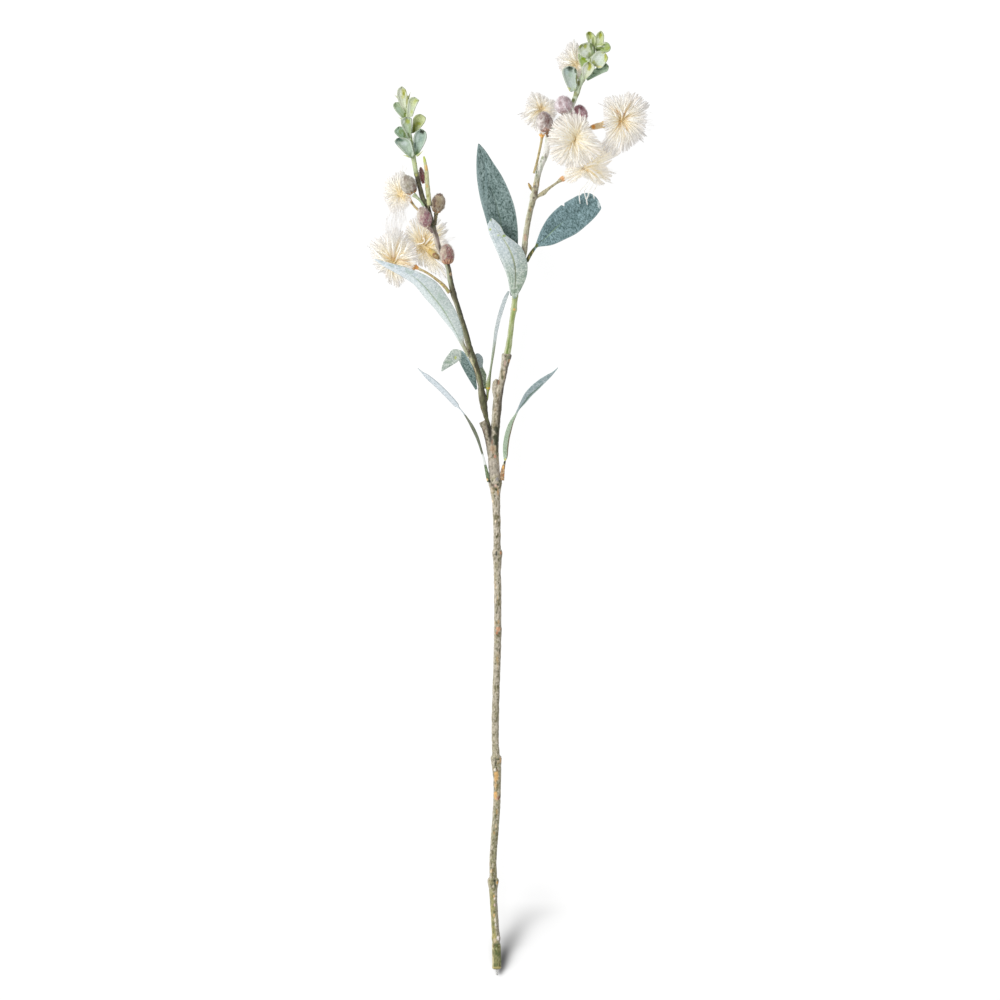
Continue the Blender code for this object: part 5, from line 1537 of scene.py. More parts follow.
def fork_left_shade(a, s, q, felt, p, is_top):
    pale = mix(rgb(190, 203, 210), rgb(226, 233, 238), np.clip(0.5 + 1.0 * felt, 0, 1))
    pale = mix(pale, rgb(136, 150, 156), 0.85 * step(np.abs(s), 0.74, 1.0))
    olive = mix(rgb(60, 68, 42), rgb(116, 126, 96), np.clip(0.4 + 0.8 * felt, 0, 1))
    olive = mix(olive, rgb(150, 168, 168), 0.6 * step(-s, 0.2, 0.9) * step(p[..., 1], 434, 446))
    c = mix(olive, pale, step(414.5 - p[..., 1], -1.5, 1.5))
    c = mix(c, rgb(232, 236, 234), 0.85 * step(p[..., 1], 453, 455) * step(465.0 - p[..., 1], -0.5, 1.0))
    base = step(p[..., 1], 464.5, 466.0)
    green = mix(rgb(72, 92, 50), rgb(156, 172, 146), np.clip(0.4 + 0.9 * felt, 0, 1))
    c = mix(c, green, base)
    return spots(c, p, ((487.0, 479.6, 1.4, 1.6, (240, 196, 136), 0.95), (489.6, 481.0, 1.0, 2.0, (40, 40, 28), 0.9)))


leaf("fork_left_leaf", "leaf_fork_left", FORK_LEFT_ROWS, 240, 10, (1.4, 0.65),
     fork_left_shade, crease=0.0, ripple=0.1, seed=11)

FORK_RIGHT_ROWS = (
    level(502.4, 480.4, 28.4, 1.8, 1, 0.1, 0.3),
    level(502.4, 473.0, 28.5, 2.1, 1, 0.1, 0.6),
    level(503.6, 466.4, 28.7, 1.4, 1, 0.1, 0.8),
    level(504.8, 461.6, 28.9, 0.8, 1, 0.1, 0.4),
    level(505.4, 456.6, 29.1, 2.1, 1, 0.1, -1.6),
    level(505.6, 448.0, 29.5, 2.7, 1, 0.1, -3.0),
    level(506.9, 438.0, 30.0, 2.8, 1, 0.2, -4.0),
    level(509.2, 429.0, 30.5, 2.6, 1, 0.35, -4.0),
    level(512.0, 421.4, 31.0, 1.9, 1, 0.5, -2.8),
    level(515.8, 414.6, 31.5, 0.9, 1, 0.6, -2.4),
    level(518.2, 409.6, 31.8, 0.9, 1, 0.65, -2.8),
    ((520.6, 401.6, 35.4), (522.6, 402.8, 32.2), (525.0, 403.6, 28.8)),
    ((525.0, 393.2, 36.8), (528.2, 395.0, 32.5), (531.4, 396.2, 27.8)),
    ((532.0, 385.4, 37.0), (536.0, 388.4, 32.7), (538.4, 389.4, 28.2)),
    ((540.4, 378.8, 36.4), (543.6, 381.2, 32.9), (545.4, 382.4, 29.6)),
    ((547.4, 374.6, 35.0), (549.2, 376.0, 33.0), (551.0, 376.8, 31.2)),
    level(553.6, 372.2, 33.0, 0.9, 1, 1.2, -0.8),
    level(558.0, 367.6, 33.0, 0.3, 1, 1.2, -0.2),
)


def fork_right_shade(a, s, q, felt, p, is_top):
    blue = mix(rgb(148, 174, 176), rgb(208, 222, 224), np.clip(0.5 + 0.9 * felt, 0, 1))
    blue = mix(blue, rgb(92, 124, 96), 0.85 * step(s, -0.05, 0.35) * step(0.75 - s, 0.0, 0.3) * step(545 - p[..., 0], 0, 8))
    pale = mix(rgb(178, 204, 168), rgb(216, 234, 210), np.clip(0.5 + 0.9 * felt, 0, 1))
    pale = mix(pale, rgb(118, 98, 62), 0.9 * step(s, 0.3, 0.6))
    c = mix(pale, blue, step(414.0 - p[..., 1], -2.0, 4.0))
    stub = mix(rgb(150, 118, 88), rgb(206, 178, 140), np.clip(0.5 + 0.9 * grain(q, 1.2, 99), 0, 1))
    stub = mix(stub, rgb(96, 70, 50), 0.7 * step(grain(q, 1.0, 97), 0.2, 0.5))
    c = mix(c, stub, step(p[..., 1], 463.5, 465.5))
    return spots(
        c,
        p,
        (
            (505.0, 462.6, 1.0, 1.8, (62, 54, 36), 0.95),
            (505.2, 459.5, 1.0, 1.1, (232, 220, 110), 0.95),
            (503.6, 467.4, 0.9, 1.8, (236, 184, 104), 0.95),
            (504.4, 475.0, 0.9, 1.6, (196, 132, 84), 0.8),
        ),
    )


leaf("fork_right_leaf", "leaf_fork_right", FORK_RIGHT_ROWS, 250, 12, (1.6, 0.65),
     fork_right_shade, crease=0.0, ripple=0.1, seed=12)

# ----------------------------------------------------- leaflets at the tips
# each: node, base height, tip height, cup, rows (left u, v, right u, v) from the
# base to the tip, then tones: rim, blade, blotch (on some leaflets a painted shade), foot, and where the blotch is
LEAFLETS = (
    ("left_tip_top", 32.8, 34.0, 1.0,
     ((405.0, 113.0, 407.6, 112.6), (400.2, 104.8, 407.8, 105.2), (397.8, 98.8, 408.0, 98.8),
      (397.2, 93.0, 406.8, 93.4), (398.4, 88.8, 405.4, 89.2), (400.6, 86.4, 403.2, 86.6)),
     (228, 232, 214), (213, 221, 198), (170, 174, 84), (128, 146, 74), (0.78, 0.35)),
    ("left_tip_upper_right", 33.4, 34.6, 1.0,
     ((406.6, 117.8, 412.6, 116.4), (406.8, 110.6, 414.4, 110.6), (407.6, 104.0, 416.4, 105.6),
      (408.6, 99.6, 418.4, 101.6), (411.6, 97.2, 419.0, 100.0), (413.4, 96.8, 416.0, 97.4)),
     (222, 230, 206), (197, 209, 174), (182, 193, 110), (206, 216, 182), (0.82, 0.4)),
    ("left_tip_upper_left", 31.0, 30.4, 0.8,
     ((403.0, 119.0, 408.2, 117.0), (399.2, 115.0, 407.4, 111.2), (395.8, 111.0, 404.8, 106.4),
      (393.6, 107.2, 402.0, 103.6), (393.2, 104.2, 398.8, 102.1), (394.4, 102.6, 396.6, 102.1)),
     (204, 216, 194), (168, 186, 154), (146, 160, 84), (116, 138, 68), (0.6, 0.9)),
    ("left_tip_front", 36.0, 38.0, 1.2,
     ((409.0, 138.6, 410.9, 138.2), (405.8, 133.4, 411.4, 132.8), (402.6, 127.6, 411.7, 127.4),
      (401.0, 122.4, 411.7, 122.0), (401.4, 119.0, 411.6, 118.2), (403.8, 117.2, 409.6, 116.6)),
     (216, 224, 208), (170, 188, 158), (152, 164, 80), (92, 108, 68), (0.8, 0.1)),
    ("left_tip_mid_right", 31.6, 32.4, 1.0,
     ((411.6, 133.4, 414.0, 132.6), (412.2, 128.0, 418.4, 129.4), (412.6, 123.0, 422.2, 125.8),
      (413.4, 118.4, 425.2, 121.0), (416.0, 115.2, 425.4, 117.2), (418.4, 114.0, 421.8, 114.2)),
     (208, 216, 166), (184, 195, 142), (154, 162, 74), (106, 116, 52), (0.45, -0.2)),
    ("left_tip_mid_left", 29.0, 28.6, 0.8,
     ((405.0, 140.4, 408.6, 138.6), (400.2, 137.9, 407.0, 134.6), (396.4, 134.8, 404.8, 130.6),
      (394.4, 131.2, 403.0, 127.6), (396.5, 128.0, 400.6, 126.5), (398.2, 126.8, 399.6, 126.4)),
     (178, 200, 182), (146, 172, 146), (112, 134, 82), (104, 124, 72), (0.55, 0.7)),
    ("left_tip_low_left", 36.2, 38.2, 1.2,
     ((411.0, 158.4, 414.6, 155.0), (405.0, 153.4, 413.2, 149.4), (400.2, 148.8, 411.8, 143.8),
      (396.4, 144.4, 409.8, 139.8), (394.6, 141.0, 405.6, 138.0), (395.6, 138.2, 401.6, 137.4)),
     (216, 226, 214), (172, 190, 174), (92, 118, 96), (108, 134, 76), (0.92, 0.0)),
    ("left_tip_low_right", 31.6, 36.8, 1.2,
     ((414.6, 155.4, 418.0, 154.8), (413.6, 148.6, 421.6, 148.8), (413.3, 142.4, 425.0, 142.6),
      (413.9, 136.4, 426.6, 137.4), (416.2, 131.6, 425.8, 132.2), (419.2, 128.6, 422.6, 128.8)),
     (200, 214, 204), (168, 189, 176), (48, 58, 38), (104, 132, 76), (0.97, 0.3)),
    ("right_tip_upper_right", 32.8, 33.4, 1.2,
     ((595.4, 47.2, 596.4, 53.0), (600.2, 44.4, 602.4, 52.4), (604.6, 42.0, 607.0, 52.2),
      (608.6, 43.4, 609.8, 50.4), (610.4, 46.0, 610.9, 48.6)),
     (198, 214, 168), (176, 196, 132), (160, 176, 72), (92, 112, 44), (0.8, 0.3)),
    ("right_tip_upper_left", 34.2, 35.2, 1.2,
     ((587.4, 58.6, 594.0, 54.2), (582.8, 57.0, 593.6, 48.6), (578.8, 52.8, 591.6, 43.8),
      (578.0, 48.4, 587.2, 42.6), (579.8, 45.0, 583.0, 43.4)),
     (224, 230, 208), (206, 215, 190), (162, 174, 100), (112, 126, 66), (0.85, 0.2)),
    ("right_tip_front", 36.0, 38.0, 1.2,
     ((590.6, 63.6, 598.8, 68.6), (591.2, 57.6, 602.0, 67.6), (594.2, 53.8, 605.8, 62.8),
      (598.4, 51.0, 607.9, 58.0), (603.0, 51.2, 606.6, 54.0)),
     (228, 236, 220), (215, 226, 210), (188, 198, 108), (150, 160, 74), (0.75, 0.85)),
    ("right_tip_low_front", 36.4, 39.8, 1.2,
     ((583.4, 79.8, 586.2, 79.2), (582.0, 73.4, 590.8, 74.4), (582.0, 68.0, 594.2, 69.2),
      (584.4, 63.6, 594.0, 65.2), (587.0, 61.8, 590.8, 62.2)),
     (230, 236, 220), (217, 224, 198), (178, 180, 84), (188, 204, 160), (0.66, 0.25)),
    ("right_tip_low_right", 32.4, 32.8, 1.0,
     ((585.0, 77.0, 587.4, 80.8), (592.4, 71.0, 595.4, 76.6), (599.6, 65.6, 602.6, 73.0),
      (605.4, 62.6, 607.9, 70.6), (608.4, 65.0, 609.0, 68.0)),
     (180, 200, 168), (136, 158, 130), (84, 108, 72), (140, 166, 136), (0.7, -0.9)),
    # this leaflet's dark blotch at its tip is painted shade on its top
    ("right_tip_low_left", 35.8, 36.8, 1.4,
     ((571.0, 92.2, 575.6, 90.4), (566.6, 84.8, 577.2, 84.0), (563.6, 77.6, 577.4, 77.6),
      (562.3, 71.2, 576.8, 71.6), (564.6, 67.2, 574.4, 67.0), (567.6, 66.0, 571.8, 66.0)),
     (212, 222, 212), (186, 200, 190), (64, 84, 62), (196, 212, 190), (0.93, 0.1)),
    ("right_tip_top_pair", 33.2, 34.2, 1.0,
     ((592.6, 49.6, 596.8, 48.6), (588.8, 43.6, 596.0, 41.6), (587.0, 38.6, 595.6, 37.4),
      (586.0, 34.2, 593.6, 34.0), (587.4, 31.6, 590.8, 31.4)),
     (220, 228, 194), (200, 211, 158), (150, 168, 60), (124, 142, 72), (0.9, -0.1)),
)
PARTNER = (33.2, 34.4, 1.0,
           ((595.0, 49.0, 599.6, 47.6), (595.0, 42.2, 603.2, 43.0), (595.4, 37.2, 603.9, 38.4),
            (597.2, 33.8, 603.7, 34.6), (600.3, 30.7, 601.6, 30.9)),
           (216, 224, 186), (194, 206, 154), (164, 176, 70), (176, 196, 140), (0.72, 0.1))
WEDGE = (31.6, 32.4, 0.8,
         ((583.0, 69.0, 591.0, 62.6), (579.8, 63.8, 590.0, 58.4), (578.3, 57.6, 587.4, 55.2),
          (578.4, 52.6, 582.0, 52.6)),
         (206, 220, 178), (176, 200, 120), (150, 176, 60), (128, 152, 84), (0.45, 0.1))
# painted marks on the leaflets: (u, v, reach across, reach down, colour, strength)
MARKS = {
    "left_tip_top": ((405.2, 90.6, 1.6, 2.0, (176, 180, 96), 0.7), (403.6, 93.8, 1.3, 1.5, (150, 154, 40), 0.85),
                     (407.0, 101.0, 1.2, 6.0, (150, 152, 62), 0.75), (402.4, 97.0, 1.6, 2.0, (206, 208, 120), 0.6),
                     (400.0, 92.0, 1.6, 4.0, (234, 238, 226), 0.6), (403.6, 104.0, 2.4, 4.0, (222, 230, 200), 0.6)),
    "left_tip_upper_right": ((409.0, 108.0, 1.4, 7.0, (226, 234, 220), 0.7), (413.0, 103.0, 2.4, 3.6, (212, 220, 170), 0.5),
                             (411.8, 112.0, 1.4, 2.6, (186, 198, 100), 0.6), (417.6, 100.6, 1.6, 1.0, (150, 160, 96), 0.7)),
    # the first two marks here are painted shade over the leaflet's right half
    "left_tip_upper_left": ((405.4, 112.4, 1.7, 5.6, (108, 126, 34), 0.95), (402.6, 107.2, 1.3, 2.6, (128, 146, 52), 0.85),
                            (398.4, 110.4, 2.4, 3.4, (176, 200, 180), 0.6), (395.4, 105.0, 1.6, 1.6, (140, 168, 124), 0.6)),
    "left_tip_front": ((403.2, 121.0, 1.4, 4.0, (224, 232, 222), 0.75), (408.2, 121.4, 1.9, 2.2, (166, 178, 84), 0.8),
                       (410.2, 129.0, 1.2, 5.0, (140, 160, 110), 0.7), (406.4, 128.0, 1.8, 5.0, (190, 206, 182), 0.5),
                       (408.6, 134.6, 1.2, 2.2, (104, 120, 64), 0.75)),
    "left_tip_mid_right": ((414.0, 128.0, 1.2, 5.4, (104, 112, 30), 0.95), (419.4, 123.6, 1.7, 1.7, (150, 162, 50), 0.85),
                           (417.0, 119.0, 2.8, 2.8, (178, 190, 128), 0.6), (423.6, 119.0, 1.6, 2.6, (214, 222, 178), 0.6),
                           (412.4, 121.4, 0.8, 5.0, (236, 240, 226), 0.8)),
    "left_tip_mid_left": ((404.6, 135.6, 1.6, 2.8, (96, 114, 58), 0.9), (400.6, 131.2, 1.7, 2.8, (122, 146, 88), 0.7),
                          (397.0, 130.6, 1.6, 3.0, (176, 204, 184), 0.6)),
    "left_tip_low_left": ((399.0, 139.6, 3.2, 1.8, (92, 120, 104), 0.85), (396.4, 143.0, 1.7, 2.0, (132, 158, 152), 0.7),
                          (404.4, 143.4, 3.6, 2.4, (206, 218, 216), 0.6), (409.4, 149.4, 2.0, 4.0, (184, 204, 182), 0.5),
                          (404.0, 153.6, 3.0, 1.2, (132, 164, 112), 0.7), (412.4, 154.8, 1.0, 3.0, (216, 226, 214), 0.7)),
    "left_tip_low_right": ((422.0, 131.6, 2.6, 1.5, (40, 50, 32), 0.9), (415.0, 145.4, 0.9, 3.4, (66, 92, 76), 0.85),
                           (417.6, 137.6, 1.6, 3.6, (206, 220, 216), 0.6), (421.0, 138.6, 1.8, 3.0, (140, 166, 156), 0.6),
                           (419.6, 145.0, 2.2, 3.0, (180, 202, 186), 0.6), (417.0, 153.0, 1.8, 1.8, (122, 158, 92), 0.7),
                           (424.6, 144.0, 1.0, 5.0, (196, 206, 190), 0.7)),
    "right_tip_top_pair": ((589.6, 33.4, 2.2, 1.8, (142, 152, 34), 0.85), (590.6, 37.0, 1.2, 3.2, (176, 188, 92), 0.7),
                           (593.0, 41.4, 0.9, 4.6, (110, 128, 52), 0.85), (590.6, 41.8, 1.2, 3.6, (222, 230, 212), 0.8),
                           (600.2, 34.6, 1.7, 2.2, (168, 174, 60), 0.85), (598.2, 40.6, 2.0, 3.2, (222, 230, 206), 0.7),
                           (595.4, 44.6, 0.8, 2.6, (126, 142, 72), 0.8), (601.6, 39.4, 1.2, 2.6, (206, 214, 160), 0.6)),
    "right_tip_upper_right": ((600.2, 46.2, 5.6, 0.9, (232, 238, 224), 0.85), (604.6, 43.2, 1.4, 1.2, (230, 236, 214), 0.8),
                              (598.4, 49.8, 2.4, 1.4, (72, 88, 36), 0.9), (602.4, 48.4, 2.0, 1.0, (124, 142, 72), 0.8),
                              (607.0, 47.0, 1.6, 2.2, (176, 190, 130), 0.6)),
    "right_tip_upper_left": ((580.6, 46.4, 1.8, 1.8, (158, 168, 62), 0.85), (585.2, 46.4, 1.8, 2.4, (164, 172, 74), 0.8),
                             (591.4, 46.6, 1.7, 4.4, (98, 118, 58), 0.9), (592.6, 51.6, 1.2, 3.0, (122, 146, 96), 0.8),
                             (584.6, 52.4, 3.2, 2.8, (222, 230, 220), 0.75), (583.4, 44.6, 1.0, 1.2, (216, 222, 200), 0.7),
                             (589.4, 53.8, 1.2, 2.0, (140, 156, 84), 0.7), (579.6, 51.6, 1.2, 2.4, (214, 222, 196), 0.6),
                             (583.0, 58.8, 2.2, 1.5, (150, 178, 42), 0.9), (580.0, 56.6, 0.9, 3.6, (226, 234, 216), 0.8),
                             (585.0, 56.0, 1.2, 1.2, (218, 226, 214), 0.7), (588.2, 59.0, 2.2, 1.7, (226, 232, 224), 0.9),
                             (585.0, 64.4, 1.8, 1.8, (206, 216, 196), 0.7)),
    "right_tip_front": ((605.4, 55.6, 1.4, 3.0, (170, 174, 62), 0.9), (602.6, 52.8, 1.4, 1.2, (190, 196, 112), 0.6),
                        (598.6, 57.8, 3.0, 3.4, (230, 238, 232), 0.7), (594.0, 62.0, 1.6, 1.8, (150, 156, 62), 0.75),
                        (595.4, 57.0, 1.0, 2.0, (196, 210, 190), 0.6), (601.6, 63.6, 2.6, 1.2, (200, 214, 190), 0.6),
                        (598.8, 66.6, 3.4, 0.9, (222, 222, 158), 0.9)),
    "right_tip_low_front": ((589.8, 65.4, 1.7, 3.4, (162, 164, 48), 0.9), (588.6, 68.6, 1.2, 2.0, (198, 200, 96), 0.7),
                            (588.2, 62.6, 1.4, 0.9, (130, 140, 70), 0.7), (584.2, 69.6, 1.6, 4.6, (236, 240, 232), 0.7),
                            (591.8, 69.6, 1.2, 3.0, (222, 230, 206), 0.6)),
    "right_tip_low_right": ((600.0, 69.4, 9.0, 4.4, (176, 198, 176), 0.8), (592.0, 75.4, 6.0, 3.0, (166, 190, 166), 0.8),
                            (592.6, 73.2, 2.6, 0.9, (78, 104, 70), 0.85), (598.0, 69.6, 2.4, 0.9, (84, 108, 72), 0.8),
                            (604.6, 65.4, 1.5, 1.4, (66, 90, 52), 0.85),
                            (600.0, 69.0, 3.0, 1.2, (110, 134, 104), 0.6), (601.6, 71.6, 3.4, 1.2, (176, 194, 172), 0.75),
                            (592.4, 76.0, 3.6, 1.2, (160, 184, 164), 0.75), (607.2, 67.0, 1.0, 2.4, (186, 202, 172), 0.7)),
    # the first three marks here are painted shade along the leaflet's top and right edges
    "right_tip_low_left": ((570.0, 68.0, 3.6, 1.5, (62, 80, 62), 0.9), (575.4, 70.0, 1.3, 3.0, (70, 88, 56), 0.9),
                           (576.4, 79.0, 0.8, 7.0, (96, 104, 36), 0.9), (566.4, 72.0, 2.2, 3.0, (176, 200, 196), 0.6),
                           (570.6, 74.6, 2.4, 3.0, (150, 176, 150), 0.5), (570.4, 84.0, 2.0, 4.0, (206, 218, 212), 0.6),
                           (569.0, 88.6, 2.0, 1.0, (196, 204, 96), 0.7), (574.6, 89.6, 1.6, 1.0, (150, 168, 96), 0.6)),
}
# small pointed bracts: from, to (u, v, z), foot radius in mm, colours
BRACTS = {
    "left_tip_top": (((407.2, 99.6, 33.0), (410.6, 91.6, 34.6), 0.95, (120, 132, 56), (200, 204, 160)),
                     ((398.4, 98.4, 33.0), (393.8, 94.4, 33.4), 0.7, (196, 204, 170), (206, 204, 176)),
                     ((406.6, 108.0, 33.4), (407.0, 98.4, 34.4), 0.55, (104, 118, 44), (150, 150, 70))),
    "left_tip_front": (((402.6, 119.6, 33.0), (398.2, 117.4, 33.4), 0.8, (206, 216, 170), (222, 226, 196)),),
    "left_tip_upper_right": (((417.6, 100.8, 34.4), (419.4, 99.8, 34.6), 0.6, (150, 160, 90), (180, 176, 130)),),
    "left_tip_low_left": (((411.4, 157.0, 35.4), (402.6, 155.2, 36.0), 0.95, (176, 196, 110), (206, 206, 130)),
                          ((407.8, 139.0, 36.4), (404.6, 140.6, 37.8), 0.5, (96, 120, 96), (120, 140, 120))),
    "left_tip_low_right": (((416.6, 156.0, 34.6), (423.8, 150.0, 36.0), 0.95, (196, 208, 150), (222, 222, 170)),),
    "right_tip_low_left": (((570.6, 91.0, 34.6), (566.8, 86.6, 35.0), 0.8, (206, 206, 96), (214, 196, 110)),),
    "right_tip_upper_right": (((598.6, 47.0, 34.2), (606.6, 41.8, 35.0), 1.0, (188, 204, 120), (214, 222, 170)),),
}


def spoon(rows, z0, z1, cup, tones, blotch_at, seed, count=36, columns=18, thick=0.85):
    """A cupped leaflet as (points, faces, colours)."""
    rim_tone, blade_tone, blotch_and_shade, foot = (rgb(*t) for t in tones)
    table = []
    last = len(rows) - 1
    for i, (lu, lv, ru, rv) in enumerate(rows):
        t = i / last
        table.append((0.5 * (lu + ru), 0.5 * (lv + rv), z0 + (z1 - z0) * t, lu, lv, ru, rv))
    dense = smooth(table, count)
    a = np.linspace(0, 1, count)
    close = np.clip((1 - a) / 0.10, 0, 1) ** 0.5  # the last rows round off the end
    mid = dense[:, 0:2]
    left = mid + (dense[:, 3:5] - mid) * (0.25 + 0.75 * close)[:, None]
    right = mid + (dense[:, 5:7] - mid) * (0.25 + 0.75 * close)[:, None]
    s = np.sin(np.linspace(-0.5, 0.5, columns + 1) * np.pi)
    across = np.where(s[None, :, None] < 0, left[:, None], right[:, None])
    flat = mid[:, None] + (across - mid[:, None]) * np.abs(s)[None, :, None]
    swell = np.interp(a, [0, 0.3, 0.7, 1], [0.3, 0.8, 1.0, 0.9])
    z = dense[:, 2][:, None] + cup * 1.6 * swell[:, None] * (np.abs(s)[None, :] ** 2.2)
    z = z + 0.5 * cup * step(a, 0.75, 1.0)[:, None]
    z = z - 0.28 * swell[:, None] * np.exp(-((s / 0.10) ** 2))[None, :]
    world = place(np.concatenate([flat, z[..., None]], -1))
    normal = unit(np.cross(np.gradient(world, axis=1), np.gradient(world, axis=0)))
    q = world / MM
    felt = 0.6 * grain(q, 1.0, seed) + 0.4 * grain(q, 0.5, seed + 1)
    half = 0.5 * thick * (0.55 + 0.45 * np.sqrt(np.clip(1 - np.abs(s) ** 4, 0, 1)))[None, :] * np.clip((1 - a) / 0.06 + 0.5, 0, 1)[:, None]
    roll = 0.34 * np.exp(-(((np.abs(s) - 0.90) / 0.09) ** 2))[None, :]
    top = world + normal * ((half + roll + 0.07 * felt) * MM)[..., None]
    low = world - normal * ((half + 0.05 * felt) * MM)[..., None]
    n, m = count, columns + 1
    total = n * m
    i, j = np.meshgrid(np.arange(n - 1), np.arange(m - 1), indexing="ij")
    b = (i * m + j).ravel()
    upper = np.stack([b, b + 1, b + m + 1, b + m], -1)
    lower = np.stack([total + b + m, total + b + m + 1, total + b + 1, total + b], -1)
    line = np.concatenate([
        np.arange(m), np.arange(1, n) * m + m - 1, (n - 1) * m + np.arange(m - 2, -1, -1),
        np.arange(n - 2, 0, -1) * m,
    ])
    nxt = np.roll(line, -1)
    band = np.stack([line, total + line, total + nxt, nxt], -1)
    A, S = a[:, None] + 0 * s[None, :], s[None, :] + 0 * a[:, None]
    c = mix(blade_tone * 0.93, blade_tone * 1.06, np.clip(0.5 + 0.8 * felt, 0, 1))
    edge = np.maximum(step(np.abs(S), 0.66, 0.96), step(A, 0.86, 0.98))
    c = mix(c, rim_tone, 0.75 * edge)
    inner = np.exp(-(((np.abs(S) - 0.66) / 0.10) ** 2)) * step(A, 0.15, 0.4)
    c = mix(c, foot, 0.22 * inner)
    d = np.sqrt(((A - blotch_at[0]) / 0.20) ** 2 + ((S - blotch_at[1]) / 0.42) ** 2) + 0.3 * felt
    c = mix(c, blotch_and_shade, 0.85 * (1 - step(d, 0.55, 1.15)))
    c = mix(c, foot, 0.8 * step(-A, -0.30, -0.02) * (1 - 0.5 * step(np.abs(S), 0.6, 0.9)))
    vein = np.exp(-((S / 0.07) ** 2)) * step(-A, -0.7, -0.3)
    c = mix(c, foot, 0.35 * vein)
    line_tone = np.maximum(step(np.abs(S), 0.965, 0.995), step(A, 0.975, 0.998))
    c = mix(c, mix(foot, rgb(90, 106, 72), 0.5), 0.55 * line_tone)
    under = mix(c, rgb(196, 208, 180), 0.35)
    return (np.concatenate([top.reshape(-1, 3), low.reshape(-1, 3)]), [upper, lower, band],
            np.concatenate([c.reshape(-1, 3), under.reshape(-1, 3)]))


def bract(start, end, radius, foot, tip, seed):
    rows = smooth([(*start, 0), (*[(a + b) / 2 + d for a, b, d in zip(start, end, (0.3, 0.0, 0.3))], 0), (*end, 0)], 14)
    t = np.linspace(0, 1, 14)
    verts, faces = tube(place(rows[:, :3]), radius * MM * (1.02 - t ** 1.3) * (0.8 + 0.4 * np.sin(np.pi * np.minimum(t * 1.6, 1))), 8)
    a = np.concatenate([np.repeat(t, 8), [0, 1]])
    return verts, faces, mix(rgb(*foot), rgb(*tip), a)


for index, (key, z0, z1, cup, rows, rim, blade, blotch_and_shade, foot, at) in enumerate(LEAFLETS):
    groups = [spoon(rows, z0, z1, cup, (rim, blade, blotch_and_shade, foot), at, 200 + 3 * index)]
    if key == "right_tip_top_pair":
        z0, z1, cup, rows, rim, blade, blotch_and_shade, foot, at = PARTNER
        groups.append(spoon(rows, z0, z1, cup, (rim, blade, blotch_and_shade, foot), at, 290))
    if key == "right_tip_upper_left":
        z0, z1, cup, rows, rim, blade, blotch_and_shade, foot, at = WEDGE
        groups.append(spoon(rows, z0, z1, cup, (rim, blade, blotch_and_shade, foot), at, 293, thick=0.7))
    for k, (start, end, radius, low_tone, tip_tone) in enumerate(BRACTS.get(key, ())):
        groups.append(bract(start, end, radius, low_tone, tip_tone, k))
    v, f, c = join(groups)
    if key in MARKS:
        c = spots(c, plan(v), MARKS[key])
    stand_for(mesh_object("tip_" + key, v, f, TIP, c), "leaflet_" + key)

# --------------------------------------------------------------------- buds
PROFILE = ((0.00, 0.30), (0.06, 0.55), (0.20, 0.85), (0.38, 1.00), (0.58, 0.97), (0.76, 0.79), (0.90, 0.50), (0.97, 0.25), (1.0, 0.06))


